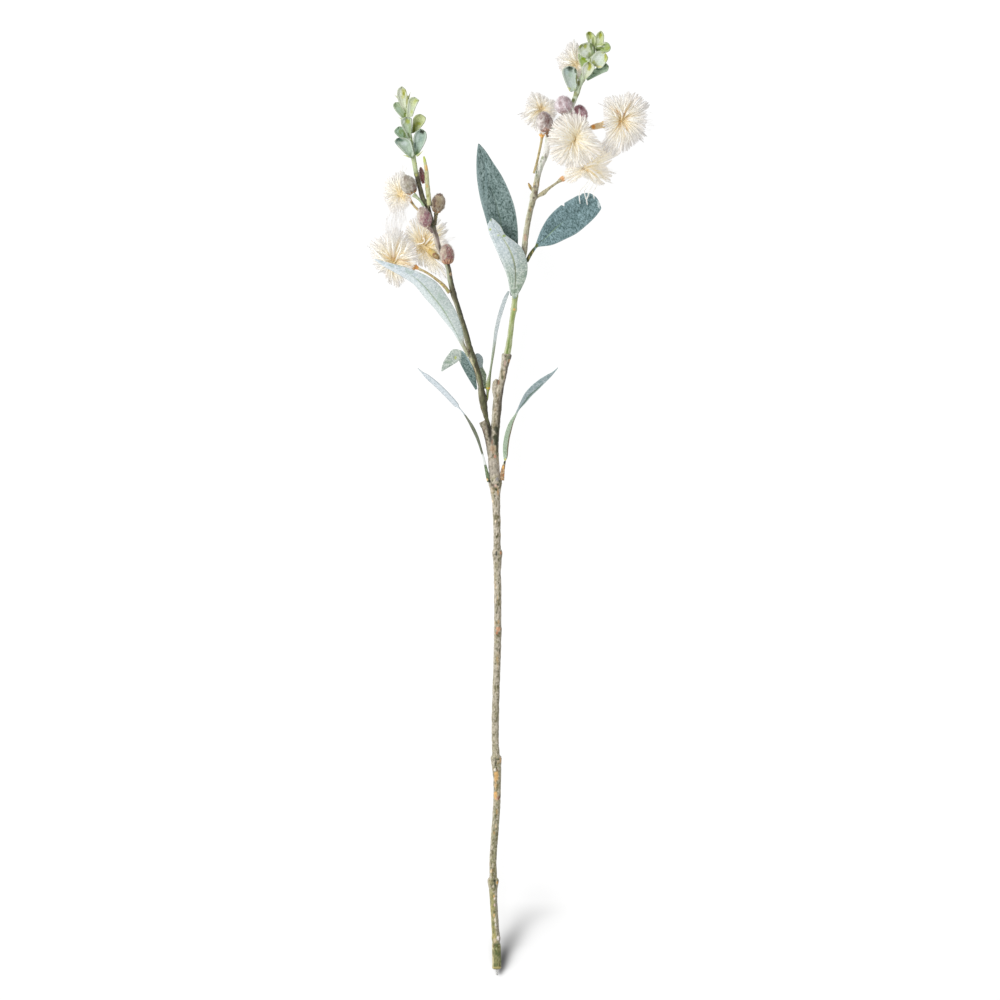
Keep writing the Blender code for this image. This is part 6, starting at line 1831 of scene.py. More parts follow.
def build_bud(key, base, tip, radius, tones, hair, seed, crown=None, hairs=860, patches=()):
    """A furry egg: a lumpy body, hundreds of fine hairs that lie towards its
    tip, and a ring of small scales at its foot."""
    rng = np.random.default_rng(seed)
    lo, hi = place(base), place(tip)
    axis = unit(hi - lo)
    length = float(np.linalg.norm(hi - lo))
    side = unit(np.cross(axis, [0.0, 0.0, 1.0]))
    other = np.cross(axis, side)
    rows, sides = 34, 36
    t = 0.5 - 0.5 * np.cos(np.linspace(0, 1, rows) * np.pi)
    share = smooth([(a, b, 0.0) for a, b in PROFILE], 300)
    r = np.interp(t, share[:, 0], share[:, 1]) * radius * MM
    path = lo + axis * (t * length)[:, None]
    angle = 2 * np.pi * np.arange(sides) / sides
    spoke = side * np.cos(angle)[:, None] + other * np.sin(angle)[:, None]
    ring = path[:, None] + spoke[None] * r[:, None, None]
    q = ring / MM
    lump = 0.32 * grain(q, 3.2, seed) + 0.16 * grain(q, 1.3, seed + 1) + 0.10 * grain(q, 0.7, seed + 2)
    ring = ring + spoke[None] * (lump * MM * np.minimum(r / r.max() * 1.5, 1)[:, None])[..., None]
    n = rows
    verts = np.concatenate([ring.reshape(-1, 3), path[:1], path[-1:] + axis * 0.0002])
    j = np.arange(sides)
    k = (j + 1) % sides
    first = np.stack([np.full(sides, n * sides), k, j], -1)
    last = np.stack([np.full(sides, n * sides + 1), (n - 1) * sides + j, (n - 1) * sides + k], -1)
    dark, mid, pale = (rgb(*tone) for tone in tones)

    middle = plan(lo + axis * length * 0.5)

    def tone(q, t):
        p = plan(q * MM)
        across = unit(np.array([-(tip[1] - base[1]), tip[0] - base[0]]))
        off = (p[:, :2] - middle[:2]) @ across / (radius / UNIT_MM)  # to the right of the axis
        off = off * np.sign(across[0])
        fine = q @ np.stack([side, other, axis * 0.6], 1)
        c = mix(mid, dark, 0.75 * step(grain(fine, 1.1, seed + 4), 0.05, 0.55))
        c = mix(c, pale, 0.9 * step(grain(fine, 0.9, seed + 5), -0.05, 0.5))
        c = mix(c, dark, 0.45 * step(grain(q, 4.0, seed + 6), 0.1, 0.6))
        # painted highlight on the left side of the bud and painted shade on its right side
        c = mix(c, pale, 0.55 * step(-off, 0.35, 0.95))
        c = mix(c, dark, 0.30 * step(off, 0.35, 0.95))
        return spots(c, p, patches) if len(patches) else c

    tt = np.repeat(t, sides)
    colour = tone(q.reshape(-1, 3), tt)
    colour = np.concatenate([colour, colour[:1], colour[-1:]])
    groups = [(verts, [tube_faces(n, sides), np.concatenate([first, last])], colour)]
    # fur
    ht = rng.uniform(0.02, 0.985, hairs * 2)
    keep = rng.uniform(0, 1, hairs * 2) < np.interp(ht, share[:, 0], share[:, 1])
    ht = ht[keep][:hairs]
    ha = rng.uniform(0, 2 * np.pi, len(ht))
    hr = np.interp(ht, share[:, 0], share[:, 1]) * radius * MM
    out = side * np.cos(ha)[:, None] + other * np.sin(ha)[:, None]
    root = lo + axis * (ht * length)[:, None] + out * (hr - 0.1 * MM)[:, None]
    slope = np.gradient(share[:, 1] * radius * MM, share[:, 0] * length)
    rise = np.interp(ht, share[:, 0], np.clip(slope, -1.5, 1.5))[:, None]
    lie = unit(axis + out * rise)
    nose = unit(out - axis * rise)
    jitter = rng.normal(0, 1, (len(ht), 3))
    way = unit(lie * 0.9 + nose * rng.uniform(0.25, 0.8, (len(ht), 1)) + jitter * 0.35)
    size = rng.uniform(0.8, 1.7, (len(ht), 1)) * MM
    a = root
    b = root + way * size * 0.55 + nose * size * 0.10
    c3 = root + way * size + lie * size * 0.15
    paths = np.stack([a, b, c3], 1)
    thin = rng.uniform(0.055, 0.085, (len(ht), 1)) * MM * np.array([[1.0, 0.8, 0.3]])
    v, f = rods(paths, thin)
    hc = mix(tone(root / MM, ht), rgb(*hair), rng.uniform(0.25, 0.85, len(ht)))
    hc = hc[:, None, None, :] * np.array([0.82, 0.98, 1.06])[None, :, None, None]
    hc = np.broadcast_to(hc, (len(ht), 3, 3, 3))
    groups.append((v, f, hc.reshape(-1, 3)))
    if crown:
        count, size, inner, outer = crown
        for i in range(count):
            w = 2 * np.pi * (i + rng.uniform(-0.2, 0.2)) / count
            spoke_i = side * math.cos(w) + other * math.sin(w)
            reach = size * rng.uniform(0.75, 1.15)
            pts = []
            for s_ in np.linspace(0, 1, 7):
                up = length * 0.0 + (s_ * reach - 0.35) * MM
                rr = np.interp(max(up, 0) / length, share[:, 0], share[:, 1]) * radius * MM + 0.22 * MM
                if s_ == 0:
                    rr *= 0.75
                pts.append(lo + axis * up + spoke_i * (rr + 0.25 * MM * s_ ** 3))
            wide = 0.62 * size / 2.4 * np.array([0.55, 0.9, 1.0, 0.95, 0.75, 0.45, 0.15]) * MM
            vv, ff = tube(np.array(pts), wide, 7)
            aa = np.concatenate([np.repeat(np.linspace(0, 1, 7), 7), [0, 1]])
            groups.append((vv, ff, mix(rgb(*inner), rgb(*outer), aa)))
    v, f, c = join(groups)
    stand_for(mesh_object("furry_" + key, v, f, FUR, c), key)


MAUVE = ((104, 78, 80), (150, 122, 122), (196, 184, 180))
BUDS = (
    ("bud_left_top", (412.6, 193.2, 33.6), (404.2, 175.4, 35.0), 6.3, ((128, 112, 98), (176, 168, 152), (222, 219, 210)),
     (238, 236, 234), (7, 2.4, (206, 158, 100), (132, 96, 70)),
     ((414.6, 188.6, 1.8, 4.6, (128, 82, 70), 0.6), (408.0, 186.0, 2.6, 4.0, (142, 138, 112), 0.4))),
    ("bud_left_mid", (427.6, 226.2, 38.0), (420.6, 207.0, 38.8), 5.7, ((126, 80, 92), (172, 132, 136), (220, 210, 196)),
     (238, 228, 226), (6, 1.6, (186, 134, 120), (150, 106, 104)),
     ((427.4, 216.0, 3.4, 5.0, (158, 98, 116), 0.45), (421.6, 211.6, 3.0, 4.0, (196, 192, 168), 0.5),
      (418.2, 215.0, 1.8, 8.0, (226, 222, 210), 0.7), (424.8, 213.6, 0.9, 1.0, (122, 70, 88), 0.8),
      (426.0, 219.6, 1.0, 1.4, (146, 96, 110), 0.7))),
    ("bud_left_side", (436.3, 212.2, 32.2), (440.3, 193.4, 32.8), 5.6, ((106, 76, 66), (166, 148, 122), (208, 198, 176)),
     (230, 222, 208), (7, 1.8, (206, 160, 116), (150, 112, 84)),
     ((439.2, 200.6, 2.6, 5.0, (172, 164, 130), 0.35), (434.2, 201.6, 1.6, 7.6, (88, 58, 52), 0.8),
      (438.8, 194.2, 4.2, 1.7, (98, 66, 60), 0.75), (444.8, 201.0, 1.1, 6.0, (152, 126, 112), 0.6),
      (438.0, 203.6, 0.8, 0.9, (112, 92, 70), 0.7), (441.6, 198.4, 0.8, 1.0, (206, 198, 176), 0.7))),
    ("bud_left_low", (447.8, 263.4, 38.6), (446.4, 243.6, 38.8), 5.7, ((118, 76, 82), (168, 124, 122), (226, 218, 198)),
     (242, 234, 224), (10, 3.4, (166, 112, 84), (214, 180, 152)),
     ((450.4, 254.4, 2.2, 7.0, (150, 96, 92), 0.5), (444.8, 250.6, 2.6, 6.0, (200, 196, 172), 0.45),
      (447.4, 250.6, 1.1, 4.4, (124, 80, 84), 0.7), (448.4, 260.4, 4.6, 2.6, (164, 104, 78), 0.6))),
    ("bud_left_small", (423.2, 183.2, 26.4), (420.6, 167.0, 26.8), 2.3, ((110, 60, 68), (150, 92, 98), (200, 172, 170)),
     (216, 198, 196), (5, 1.2, (206, 120, 96), (160, 96, 84)), ()),
    ("bud_right_left", (546.1, 131.2, 38.0), (543.0, 111.4, 38.4), 6.4, ((124, 98, 92), (182, 164, 158), (240, 236, 232)),
     (250, 246, 248), (8, 2.0, (190, 146, 118), (156, 116, 98)),
     ((547.4, 121.0, 2.0, 7.6, (112, 74, 72), 0.6), (543.6, 120.0, 2.0, 6.0, (150, 132, 124), 0.35),
      (545.6, 129.4, 3.4, 1.8, (206, 160, 144), 0.45))),
    ("bud_right_mid", (563.6, 113.2, 39.4), (563.4, 95.6, 40.0), 7.2, ((158, 120, 126), (214, 196, 200), (246, 240, 244)),
     (252, 248, 250), (6, 1.8, (206, 190, 180), (196, 170, 166)),
     ((566.4, 99.0, 3.0, 2.6, (128, 84, 92), 0.55), (567.4, 106.0, 2.0, 5.0, (166, 120, 132), 0.4))),
    ("bud_right_rear", (578.2, 123.6, 26.2), (580.0, 104.8, 26.6), 7.0, ((134, 74, 90), (184, 130, 140), (228, 206, 212)),
     (244, 234, 238), (6, 1.8, (206, 190, 180), (196, 170, 166)),
     ((580.0, 107.0, 5.4, 2.0, (112, 50, 62), 0.65),)),
)
for index, (key, base, tip, radius, tones, hair, crown, patches) in enumerate(BUDS):
    build_bud(key, base, tip, radius, tones, hair, 300 + 7 * index, crown,
              hairs=400 if key == "bud_left_small" else 860, patches=patches)


def stalk_shade(low, high, fleck, seed=0):
    def shade(a, q, p, no):
        c = mix(rgb(*low), rgb(*high), a)
        c = mix(c, rgb(*fleck), 0.7 * step(grain(q, 1.1, 110 + seed), 0.15, 0.5))
        return mix(c, rgb(222, 214, 190), 0.4 * step(grain(q, 0.8, 111 + seed), 0.35, 0.6))

    return shade


BUD_STALKS = (
    ("bud_stalk_left_top", ((424.0, 206.4, 35.2, 1.0), (420.0, 200.4, 34.2, 1.05), (413.6, 194.6, 33.4, 1.9)),
     (150, 176, 140), (186, 196, 160), (120, 150, 104), "green_bark"),
    ("bud_stalk_left_mid", ((432.2, 232.6, 35.2, 0.9), (430.2, 230.0, 36.8, 1.0), (428.1, 227.2, 37.9, 1.6)),
     (132, 112, 108), (178, 150, 142), (104, 84, 82), "dark_bark"),
    ("bud_stalk_left_side", ((434.9, 225.0, 35.4, 1.3), (435.6, 219.0, 33.4, 1.4), (436.1, 213.2, 32.3, 1.8)),
     (104, 98, 74), (150, 140, 100), (64, 58, 44), "dark_bark"),
    ("bud_stalk_right_left", ((547.6, 137.0, 37.2, 0.9), (547.1, 134.6, 37.6, 1.0), (546.3, 132.3, 38.0, 1.8)),
     (104, 80, 60), (150, 110, 80), (70, 52, 44), "dark_bark"),
    ("bud_stalk_right_mid", ((561.4, 120.2, 37.2, 0.9), (562.6, 117.4, 38.6, 1.0), (563.5, 114.3, 39.3, 1.8)),
     (160, 150, 140), (190, 176, 168), (120, 104, 98), "dark_bark"),
    ("bud_stalk_right_rear",
     ((560.4, 123.0, 27.8, 0.9), (567.0, 127.4, 24.6, 1.0), (574.4, 129.4, 23.6, 1.1), (577.4, 127.6, 25.0, 1.4),
      (578.1, 125.2, 26.0, 1.7)),
     (140, 136, 104), (160, 140, 120), (110, 96, 70), "dark_bark"),
)
for index, (key, rows, low, high, fleck, slot) in enumerate(BUD_STALKS):
    v, f, c = slim(key, rows, 48, 14, stalk_shade(low, high, fleck, index), ((0.93, 0.25, 0.06),))
    stand_for(mesh_object("twig_" + key, v, f, TWIG, c), key)

# ------------------------------------------------------------------ blossoms
# Each: the calyx mouth (u, v, z), the centre of the puff, the rim's height, how
# far the puff reaches up and down from the rim in mm, its outline in plan, the
# open throat's half sizes and turn, how wide the empty cone over the throat is,
# extra tufts (u, v, z) and long stray hairs (u, v, z, count, spread)
BLOSSOMS = {
    "left_upper": dict(
        mouth=(408.4, 198.6, 24.8), centre=(400.4, 194.4, 21.5), rim=17.5, up=8.0, down=8.0, radius=1.7,
        outline=((401, 169.5), (394.4, 173), (390.2, 176.1), (386.3, 177.9), (383.9, 182.1), (382.6, 187.7),
                 (382.6, 195.4), (384.2, 201.8), (387.4, 206.7), (389.4, 212), (394, 214.6), (399.6, 212.0),
                 (405, 210), (409.6, 205.6), (411.6, 196), (411.0, 184), (407.4, 174)),
        throat=(2.6, 2.6, 0.0), cone=30, warm=0.10,
        gold=((397.3, 192, 0.9, 7.0, (240, 222, 168), 0.6), (401, 198, 0.9, 6.0, (236, 214, 156), 0.6),
              (404.4, 197, 1.6, 4.0, (240, 216, 156), 0.6)),
        hairs=((396, 216, 30, 16, 5), (404, 214, 30, 16, 5), (404, 162, 20, 10, 5), (392, 222, 18, 22, 5), (398, 226, 20, 18, 6), (406, 222, 22, 12, 5)),
    ),
    "left_lower": dict(
        mouth=(414.0, 266.6, 24.9), centre=(394.6, 261.2, 23.0), rim=18.5, up=10.0, down=9.5, radius=1.9,
        outline=((366.7, 244.9), (369.1, 240.7), (373.3, 237.2), (377.9, 237.2), (382.5, 233.7), (387, 229.5),
                 (393, 226.6), (400, 228), (407, 233), (413, 240), (417.6, 250), (418.6, 259), (414, 268),
                 (410.4, 274), (406, 279.3), (402.1, 285.6), (397.9, 289.1), (393, 286.4), (388.1, 284.2),
                 (384.6, 275.8), (381.8, 272.6), (377.5, 273.3), (376.5, 269.5), (371.6, 263.9), (370.4, 256),
                 (368.2, 250)),
        throat=(3.8, 2.4, 1.45), cone=34, warm=0.14,
        gold=((393.6, 256, 1.1, 5.5, (208, 166, 92), 0.85), (389.6, 247, 1.2, 5.0, (226, 200, 142), 0.6),
              (396.8, 245, 1.4, 5.0, (224, 196, 140), 0.55), (402.6, 260.4, 7.0, 1.4, (220, 184, 116), 0.75),
              (407, 263.6, 6.0, 2.4, (238, 210, 158), 0.7)),
        hairs=((392, 216, 30, 16, 6), (403, 214, 30, 18, 6), (366, 265.2, 22, 3, 1.5), (386, 216, 20, 16, 6), (396, 214, 21, 20, 7), (390, 222, 22, 12, 5)),
        tufts=((372.0, 265.0, 20), (366.2, 245.2, 19), (377.6, 273.6, 19), (387.2, 229.6, 24)),
        strands=(
            ((393.6, 262.0, 0.5), (393.6, 255.0, 4.5), (392.6, 245.0, 6.5), (391.6, 236.0, 6.0)),
            ((394.4, 263.6, 0.5), (396.2, 259.4, 4.0), (399.4, 252.8, 6.5), (400.9, 246.6, 6.5)),
            ((396.4, 262.0, 0.5), (399.6, 257.2, 4.5), (402.8, 254.8, 6.5), (406.4, 255.2, 6.0)),
            ((395.6, 258.0, 1.0), (397.8, 250.0, 5.0), (400.4, 243.6, 6.5), (403.4, 238.6, 6.0)),
            ((402.4, 256.6, 3.0), (405.4, 250.4, 6.0), (408.6, 242.0, 7.0)),
            ((391.0, 259.0, 1.0), (388.8, 250.0, 5.0), (387.6, 243.0, 6.0), (388.2, 236.0, 5.0)),
            ((390.0, 262.0, 1.0), (382.6, 258.4, 5.5), (375.6, 251.6, 5.0), (370.6, 247.0, 2.0)),
        ),
    ),
    "left_rear": dict(
        mouth=(429.0, 249.8, 14.8), centre=(423.4, 246.4, 12.4), rim=6.0, up=11.0, down=5.4, radius=2.2,
        outline=((405.4, 240), (404, 232), (407, 223), (414, 216), (424, 213), (433, 214.4), (440, 217.5),
                 (442.5, 220), (443.9, 224), (446.6, 223), (447.4, 227), (448.6, 229.1), (446.7, 234),
                 (445.3, 238.2), (448.6, 241.8), (447, 250), (445.6, 262), (446.4, 272), (446.6, 280),
                 (437, 275.6), (426, 268.6), (415, 263), (408, 256), (405.4, 248)),
        throat=(3.4, 2.4, 0.6), cone=30, warm=0.30,
        gold=((426.6, 244.8, 1.2, 1.7, (204, 168, 92), 0.85), (428.8, 241.4, 1.2, 1.9, (206, 170, 94), 0.85),
              (431.0, 237.8, 1.1, 1.9, (212, 180, 104), 0.8), (430.8, 243.6, 3.0, 3.6, (236, 214, 144), 0.75),
              (417.6, 250.0, 6.0, 2.0, (226, 200, 142), 0.55), (410, 253.4, 6.0, 2.0, (222, 196, 138), 0.55),
              (424.2, 238.2, 2.0, 1.6, (216, 184, 110), 0.75), (418.4, 232.6, 2.6, 3.4, (234, 214, 158), 0.55),
              (438.6, 232.0, 2.6, 5.0, (238, 220, 160), 0.6), (414, 258.4, 8.0, 1.2, (228, 206, 156), 0.5)),
        hairs=((456.6, 236.8, 10, 3, 1.0), (452, 240, 12, 3, 3), (446, 282, 8, 10, 3)),
        tufts=((447.9, 221.8, 14), (449.8, 229.2, 13), (449.6, 241.9, 13)),
        strands=(
            ((423.4, 246.6, 1.0), (426.8, 241.8, 5.0), (431.4, 236.6, 7.5)),
            ((420.6, 247.4, 1.0), (417.0, 244.6, 5.0), (423.4, 243.0, 7.0), (425.0, 239.8, 7.5), (422.6, 238.2, 7.0)),
            ((418.0, 251.6, 3.0), (411.0, 254.0, 7.5), (403.8, 258.0, 10.5)),
            ((425.6, 252.0, 2.0), (420.4, 254.4, 6.0), (413.0, 257.6, 9.0)),
            ((428.6, 243.6, 2.0), (434.6, 238.0, 7.0), (440.0, 231.0, 8.0)),
        ),
    ),
    "right_front": dict(
        mouth=(574.8, 141.0, 38.6), centre=(575.2, 139.4, 41.6), rim=47.5, up=5.5, down=6.0, radius=2.0,
        outline=((549.2, 153.5), (549.4, 159.5), (554.5, 163.5), (559.4, 166.4), (566, 169), (575, 170), (584, 167.4),
                 (593, 162), (601.4, 156), (604.6, 147.6), (599, 139.6), (593.4, 132.6), (591.4, 127.0), (589.0, 121.0),
                 (584, 115.5), (578, 112.5), (570, 112), (562, 114), (554.6, 119), (549.4, 127), (547.6, 138),
                 (547.8, 147)),
        throat=(10.0, 1.7, -1.14), cone=30, wash=0.34, lift=0.975,
        gold=((576.0, 138.0, 7.0, 11.0, (252, 246, 222), 0.6),
              (571.4, 147.4, 0.8, 2.0, (226, 204, 142), 0.7), (573.6, 142.8, 0.8, 2.4, (214, 188, 118), 0.75),
              (575.4, 138.8, 0.8, 2.6, (204, 176, 102), 0.8), (577.4, 134.6, 0.8, 2.6, (212, 186, 114), 0.75),
              (579.4, 130.2, 0.8, 2.4, (222, 198, 132), 0.7), (580.8, 126.8, 0.7, 1.5, (230, 210, 152), 0.6)),
        hairs=((552, 118, 46, 8, 4), (566, 104, 47, 6, 3), (546, 146, 44, 6, 4)),
        tufts=((579.6, 107.6, 48), (572.4, 106.8, 48), (586.6, 115.6, 47)),
        strands=(
            ((578.4, 133.0, 1.0), (583.6, 124.0, 7.0), (585.4, 114.6, 8.0)),
            ((576.6, 137.0, 1.0), (583.0, 137.6, 6.0), (591.0, 141.8, 8.0)),
            ((573.6, 142.6, 1.0), (567.6, 140.0, 6.0), (559.0, 139.6, 8.0)),
            ((572.6, 146.6, 1.0), (571.4, 155.0, 6.5), (574.0, 163.0, 8.0)),
            ((574.6, 143.0, 1.0), (580.6, 148.0, 6.0), (587.6, 151.6, 8.0)),
            ((576.8, 134.6, 1.0), (570.6, 127.6, 6.5), (566.0, 117.6, 8.0)),
        ),
    ),
    "right_rear": dict(
        mouth=(542.0, 134.8, 19.8), centre=(541.4, 109.6, 22.4), rim=23.4, up=6.0, down=6.5, radius=1.6,
        outline=((518.6, 115.6), (523.9, 112.8), (525.6, 104), (527.7, 96), (530.9, 91.8), (536.4, 91.6), (541.4, 93.5),
                 (549.1, 99.1), (554, 99.1), (557.6, 104), (557.6, 112), (554, 120), (549, 129), (543.4, 136),
                 (537.9, 135.3), (535.1, 130.4), (530.9, 128.9), (524.6, 123.3), (520.4, 118.8)),
        throat=(2.6, 2.6, 0.0), cone=28, lift=0.955,
        gold=((541.2, 106.2, 1.5, 3.0, (224, 200, 150), 0.7), (545.4, 103.6, 2.6, 1.2, (228, 206, 160), 0.6)),
        hairs=((531, 90, 24, 4, 2),),
        tufts=((516.6, 114.8, 23), (531.0, 91.0, 24)),
        strands=(
            ((541.0, 107.6, 1.5), (538.4, 101.0, 5.0), (536.4, 95.6, 5.5)),
            ((542.4, 107.0, 1.5), (546.4, 102.6, 5.0), (550.4, 100.0, 5.0)),
            ((539.0, 110.6, 1.0), (531.6, 110.6, 5.0), (525.4, 113.6, 4.0)),
        ),
    ),
    "right_low": dict(
        mouth=(562.6, 178.8, 18.8), centre=(585.6, 168.6, 15.4), rim=8.0, up=10.0, down=7.4, radius=1.7,
        outline=((563, 178), (565.2, 181.8), (570.6, 184.5), (573.7, 183), (578.3, 178.8), (582.8, 177.2),
                 (589, 179.5), (592.8, 182.2), (595.9, 185.3), (600.4, 186.6), (605.8, 184.5), (607.7, 181),
                 (611.0, 181.6), (611.7, 178), (614.6, 174.2), (611.2, 171.9), (607.3, 166.5), (609.2, 163.5),
                 (615, 158.1), (620.3, 153.5), (622.6, 149.0), (616, 142), (605, 140), (594, 144), (583, 149),
                 (573, 156), (566.4, 166)),
        throat=(3.2, 2.2, 0.35), cone=30, lift=1.10, wash=0.42,
        gold=((583.9, 168.9, 1.3, 1.1, (222, 178, 100), 0.8), (588.0, 161.4, 1.6, 1.3, (236, 206, 146), 0.6),
              (595.0, 172.8, 4.2, 3.4, (255, 236, 182), 0.7), (600.6, 176.4, 4.0, 3.4, (252, 238, 196), 0.6),
              (588.0, 171.5, 1.4, 0.8, (226, 190, 120), 0.7)),
        hairs=((618, 172, 14, 4, 4),),
        tufts=((612.8, 183.6, 10), (616.8, 173.7, 11), (605, 152, 18), (598, 152, 20)),
        strands=(
            ((585.0, 168.4, 1.5), (589.6, 168.6, 5.5), (595.4, 173.0, 8.0), (600.6, 178.6, 7.0)),
            ((584.0, 167.6, 1.5), (589.4, 164.4, 6.0), (596.6, 163.4, 8.5)),
            ((583.0, 169.6, 1.5), (576.6, 170.6, 5.5), (570.4, 175.0, 6.5)),
            ((586.4, 170.0, 1.5), (591.4, 174.6, 5.0), (595.0, 181.6, 4.0)),
        ),
        over=(
            ((590.0, 178.0, 8.0), (585.0, 185.6, 19.0), (579.8, 190.4, 22.6), (578.9, 194.2, 22.6), (579.3, 199.0, 22.0),
             (579.9, 203.6, 21.2)),
            ((592.0, 179.0, 8.0), (588.0, 186.0, 19.0), (584.4, 190.8, 22.6), (584.8, 194.6, 22.2), (586.3, 198.6, 21.6),
             (587.3, 204.8, 21.0)),
            ((595.0, 181.0, 8.0), (592.0, 187.0, 19.0), (589.1, 191.8, 22.2), (588.2, 195.8, 21.8), (586.6, 199.6, 21.4)),
            ((598.0, 182.0, 8.0), (596.0, 187.0, 19.0), (593.3, 191.4, 22.0), (593.4, 195.0, 21.8), (594.2, 198.8, 21.4)),
        ),
    ),
    "right_outer": dict(
        mouth=(604.8, 124.4, 29.0), centre=(621.4, 119.6, 31.6), rim=35.0, up=5.6, down=8.0, radius=2.3,
        outline=((631.8, 149.3), (635.3, 145.1), (640.2, 141.6), (643.4, 141.8), (646.6, 137.4), (645.2, 132.8),
                 (646.7, 126.7), (647.9, 116), (647.1, 111.4), (650.2, 104.5), (648.6, 101.2), (645.6, 100.7),
                 (642.5, 96.9), (634.9, 91.5), (630.3, 90.8), (623.4, 93.1), (616.5, 94.6), (607.3, 96.1),
                 (603.4, 98.4), (602.0, 103.2), (602.9, 109.0), (603.0, 115.0), (603.0, 120.4), (602.0, 126.4),
                 (605.2, 132), (605.0, 137.6), (600.6, 143), (602.6, 151), (610.6, 156.4), (620, 155.0)),
        throat=(3.6, 5.2, 0.0), cone=32,
        gold=((617.9, 112.4, 1.5, 2.8, (204, 158, 82), 0.9), (623.7, 114.4, 1.6, 3.4, (198, 146, 68), 0.95),
              (620.4, 121.6, 1.3, 2.2, (220, 178, 102), 0.8), (627.2, 118.6, 1.4, 2.4, (208, 164, 86), 0.8),
              (626.2, 129.0, 1.6, 3.6, (242, 206, 128), 0.8), (618.0, 126.6, 1.7, 1.7, (238, 210, 150), 0.65),
              (628.4, 108.0, 1.3, 3.8, (220, 188, 128), 0.7), (613.2, 108.4, 1.2, 3.2, (222, 196, 150), 0.6)),
        hairs=((654.6, 112, 34, 3, 1), (653.6, 120, 34, 5, 1.4), (655.0, 126, 33, 4, 1.2), (652.8, 131, 33, 3, 1.2)),
        tufts=((597.2, 102.6, 34), (643.9, 142.9, 33), (648.1, 137.3, 33), (651.0, 104.4, 35), (645.9, 100.4, 35)),
        strands=(
            ((619.0, 120.6, 1.0), (616.4, 115.4, 5.0), (613.0, 110.4, 6.6)),
            ((621.4, 121.0, 1.0), (622.0, 114.6, 5.0), (619.0, 108.0, 6.8), (616.4, 103.4, 7.0)),
            ((622.6, 119.6, 1.0), (624.0, 111.6, 5.6), (627.6, 103.8, 7.0)),
            ((623.6, 119.0, 1.0), (627.6, 112.6, 5.6), (631.6, 107.0, 7.0)),
            ((621.6, 117.6, 3.0), (622.0, 113.4, 6.0), (621.0, 111.4, 6.6)),
            ((621.0, 121.0, 2.0), (623.0, 126.6, 5.6), (626.2, 133.8, 6.6), (627.6, 138.6, 6.0)),
            ((624.0, 120.6, 1.0), (631.0, 120.0, 6.0), (638.6, 121.0, 7.0)),
        ),
    ),
    "right_top": dict(
        mouth=(579.2, 75.8, 24.4), centre=(576.6, 64.6, 22.0), rim=15.5, up=9.0, down=8.5, radius=1.7,
        outline=((555.1, 58.1), (557.5, 63.7), (559.6, 71.4), (564, 76), (571, 79), (578, 79.6), (582, 74),
                 (585, 66), (584.6, 56), (581.3, 46.7), (577, 42), (574, 38.8), (570, 41), (567.4, 43.3), (565, 47.4),
                 (561.8, 51), (558, 54.6)),
        throat=(2.6, 3.2, 0.0), cone=28, lift=0.93,
        gold=((577.4, 67.0, 1.5, 4.0, (230, 210, 164), 0.6),),
        hairs=((574, 37, 20, 4, 1.4), (554, 58.6, 17, 3, 1.4)),
        tufts=((574.0, 38.4, 20), (567.2, 43.0, 19), (555.0, 58.2, 17)),
        strands=(
            ((577.0, 64.0, 1.0), (573.4, 56.6, 5.0), (571.4, 48.4, 4.0)),
            ((575.4, 65.4, 1.0), (567.6, 62.6, 4.0), (560.6, 60.4, 0.0)),
        ),
    ),
}
FILAMENT = (
    (0.00, (226, 206, 156)),
    (0.14, (238, 220, 176)),
    (0.28, (243, 231, 199)),
    (0.44, (243, 236, 216)),
    (0.62, (239, 236, 227)),
    (0.80, (234, 232, 229)),
    (0.94, (229, 227, 226)),
    (1.00, (214, 212, 211)),
)


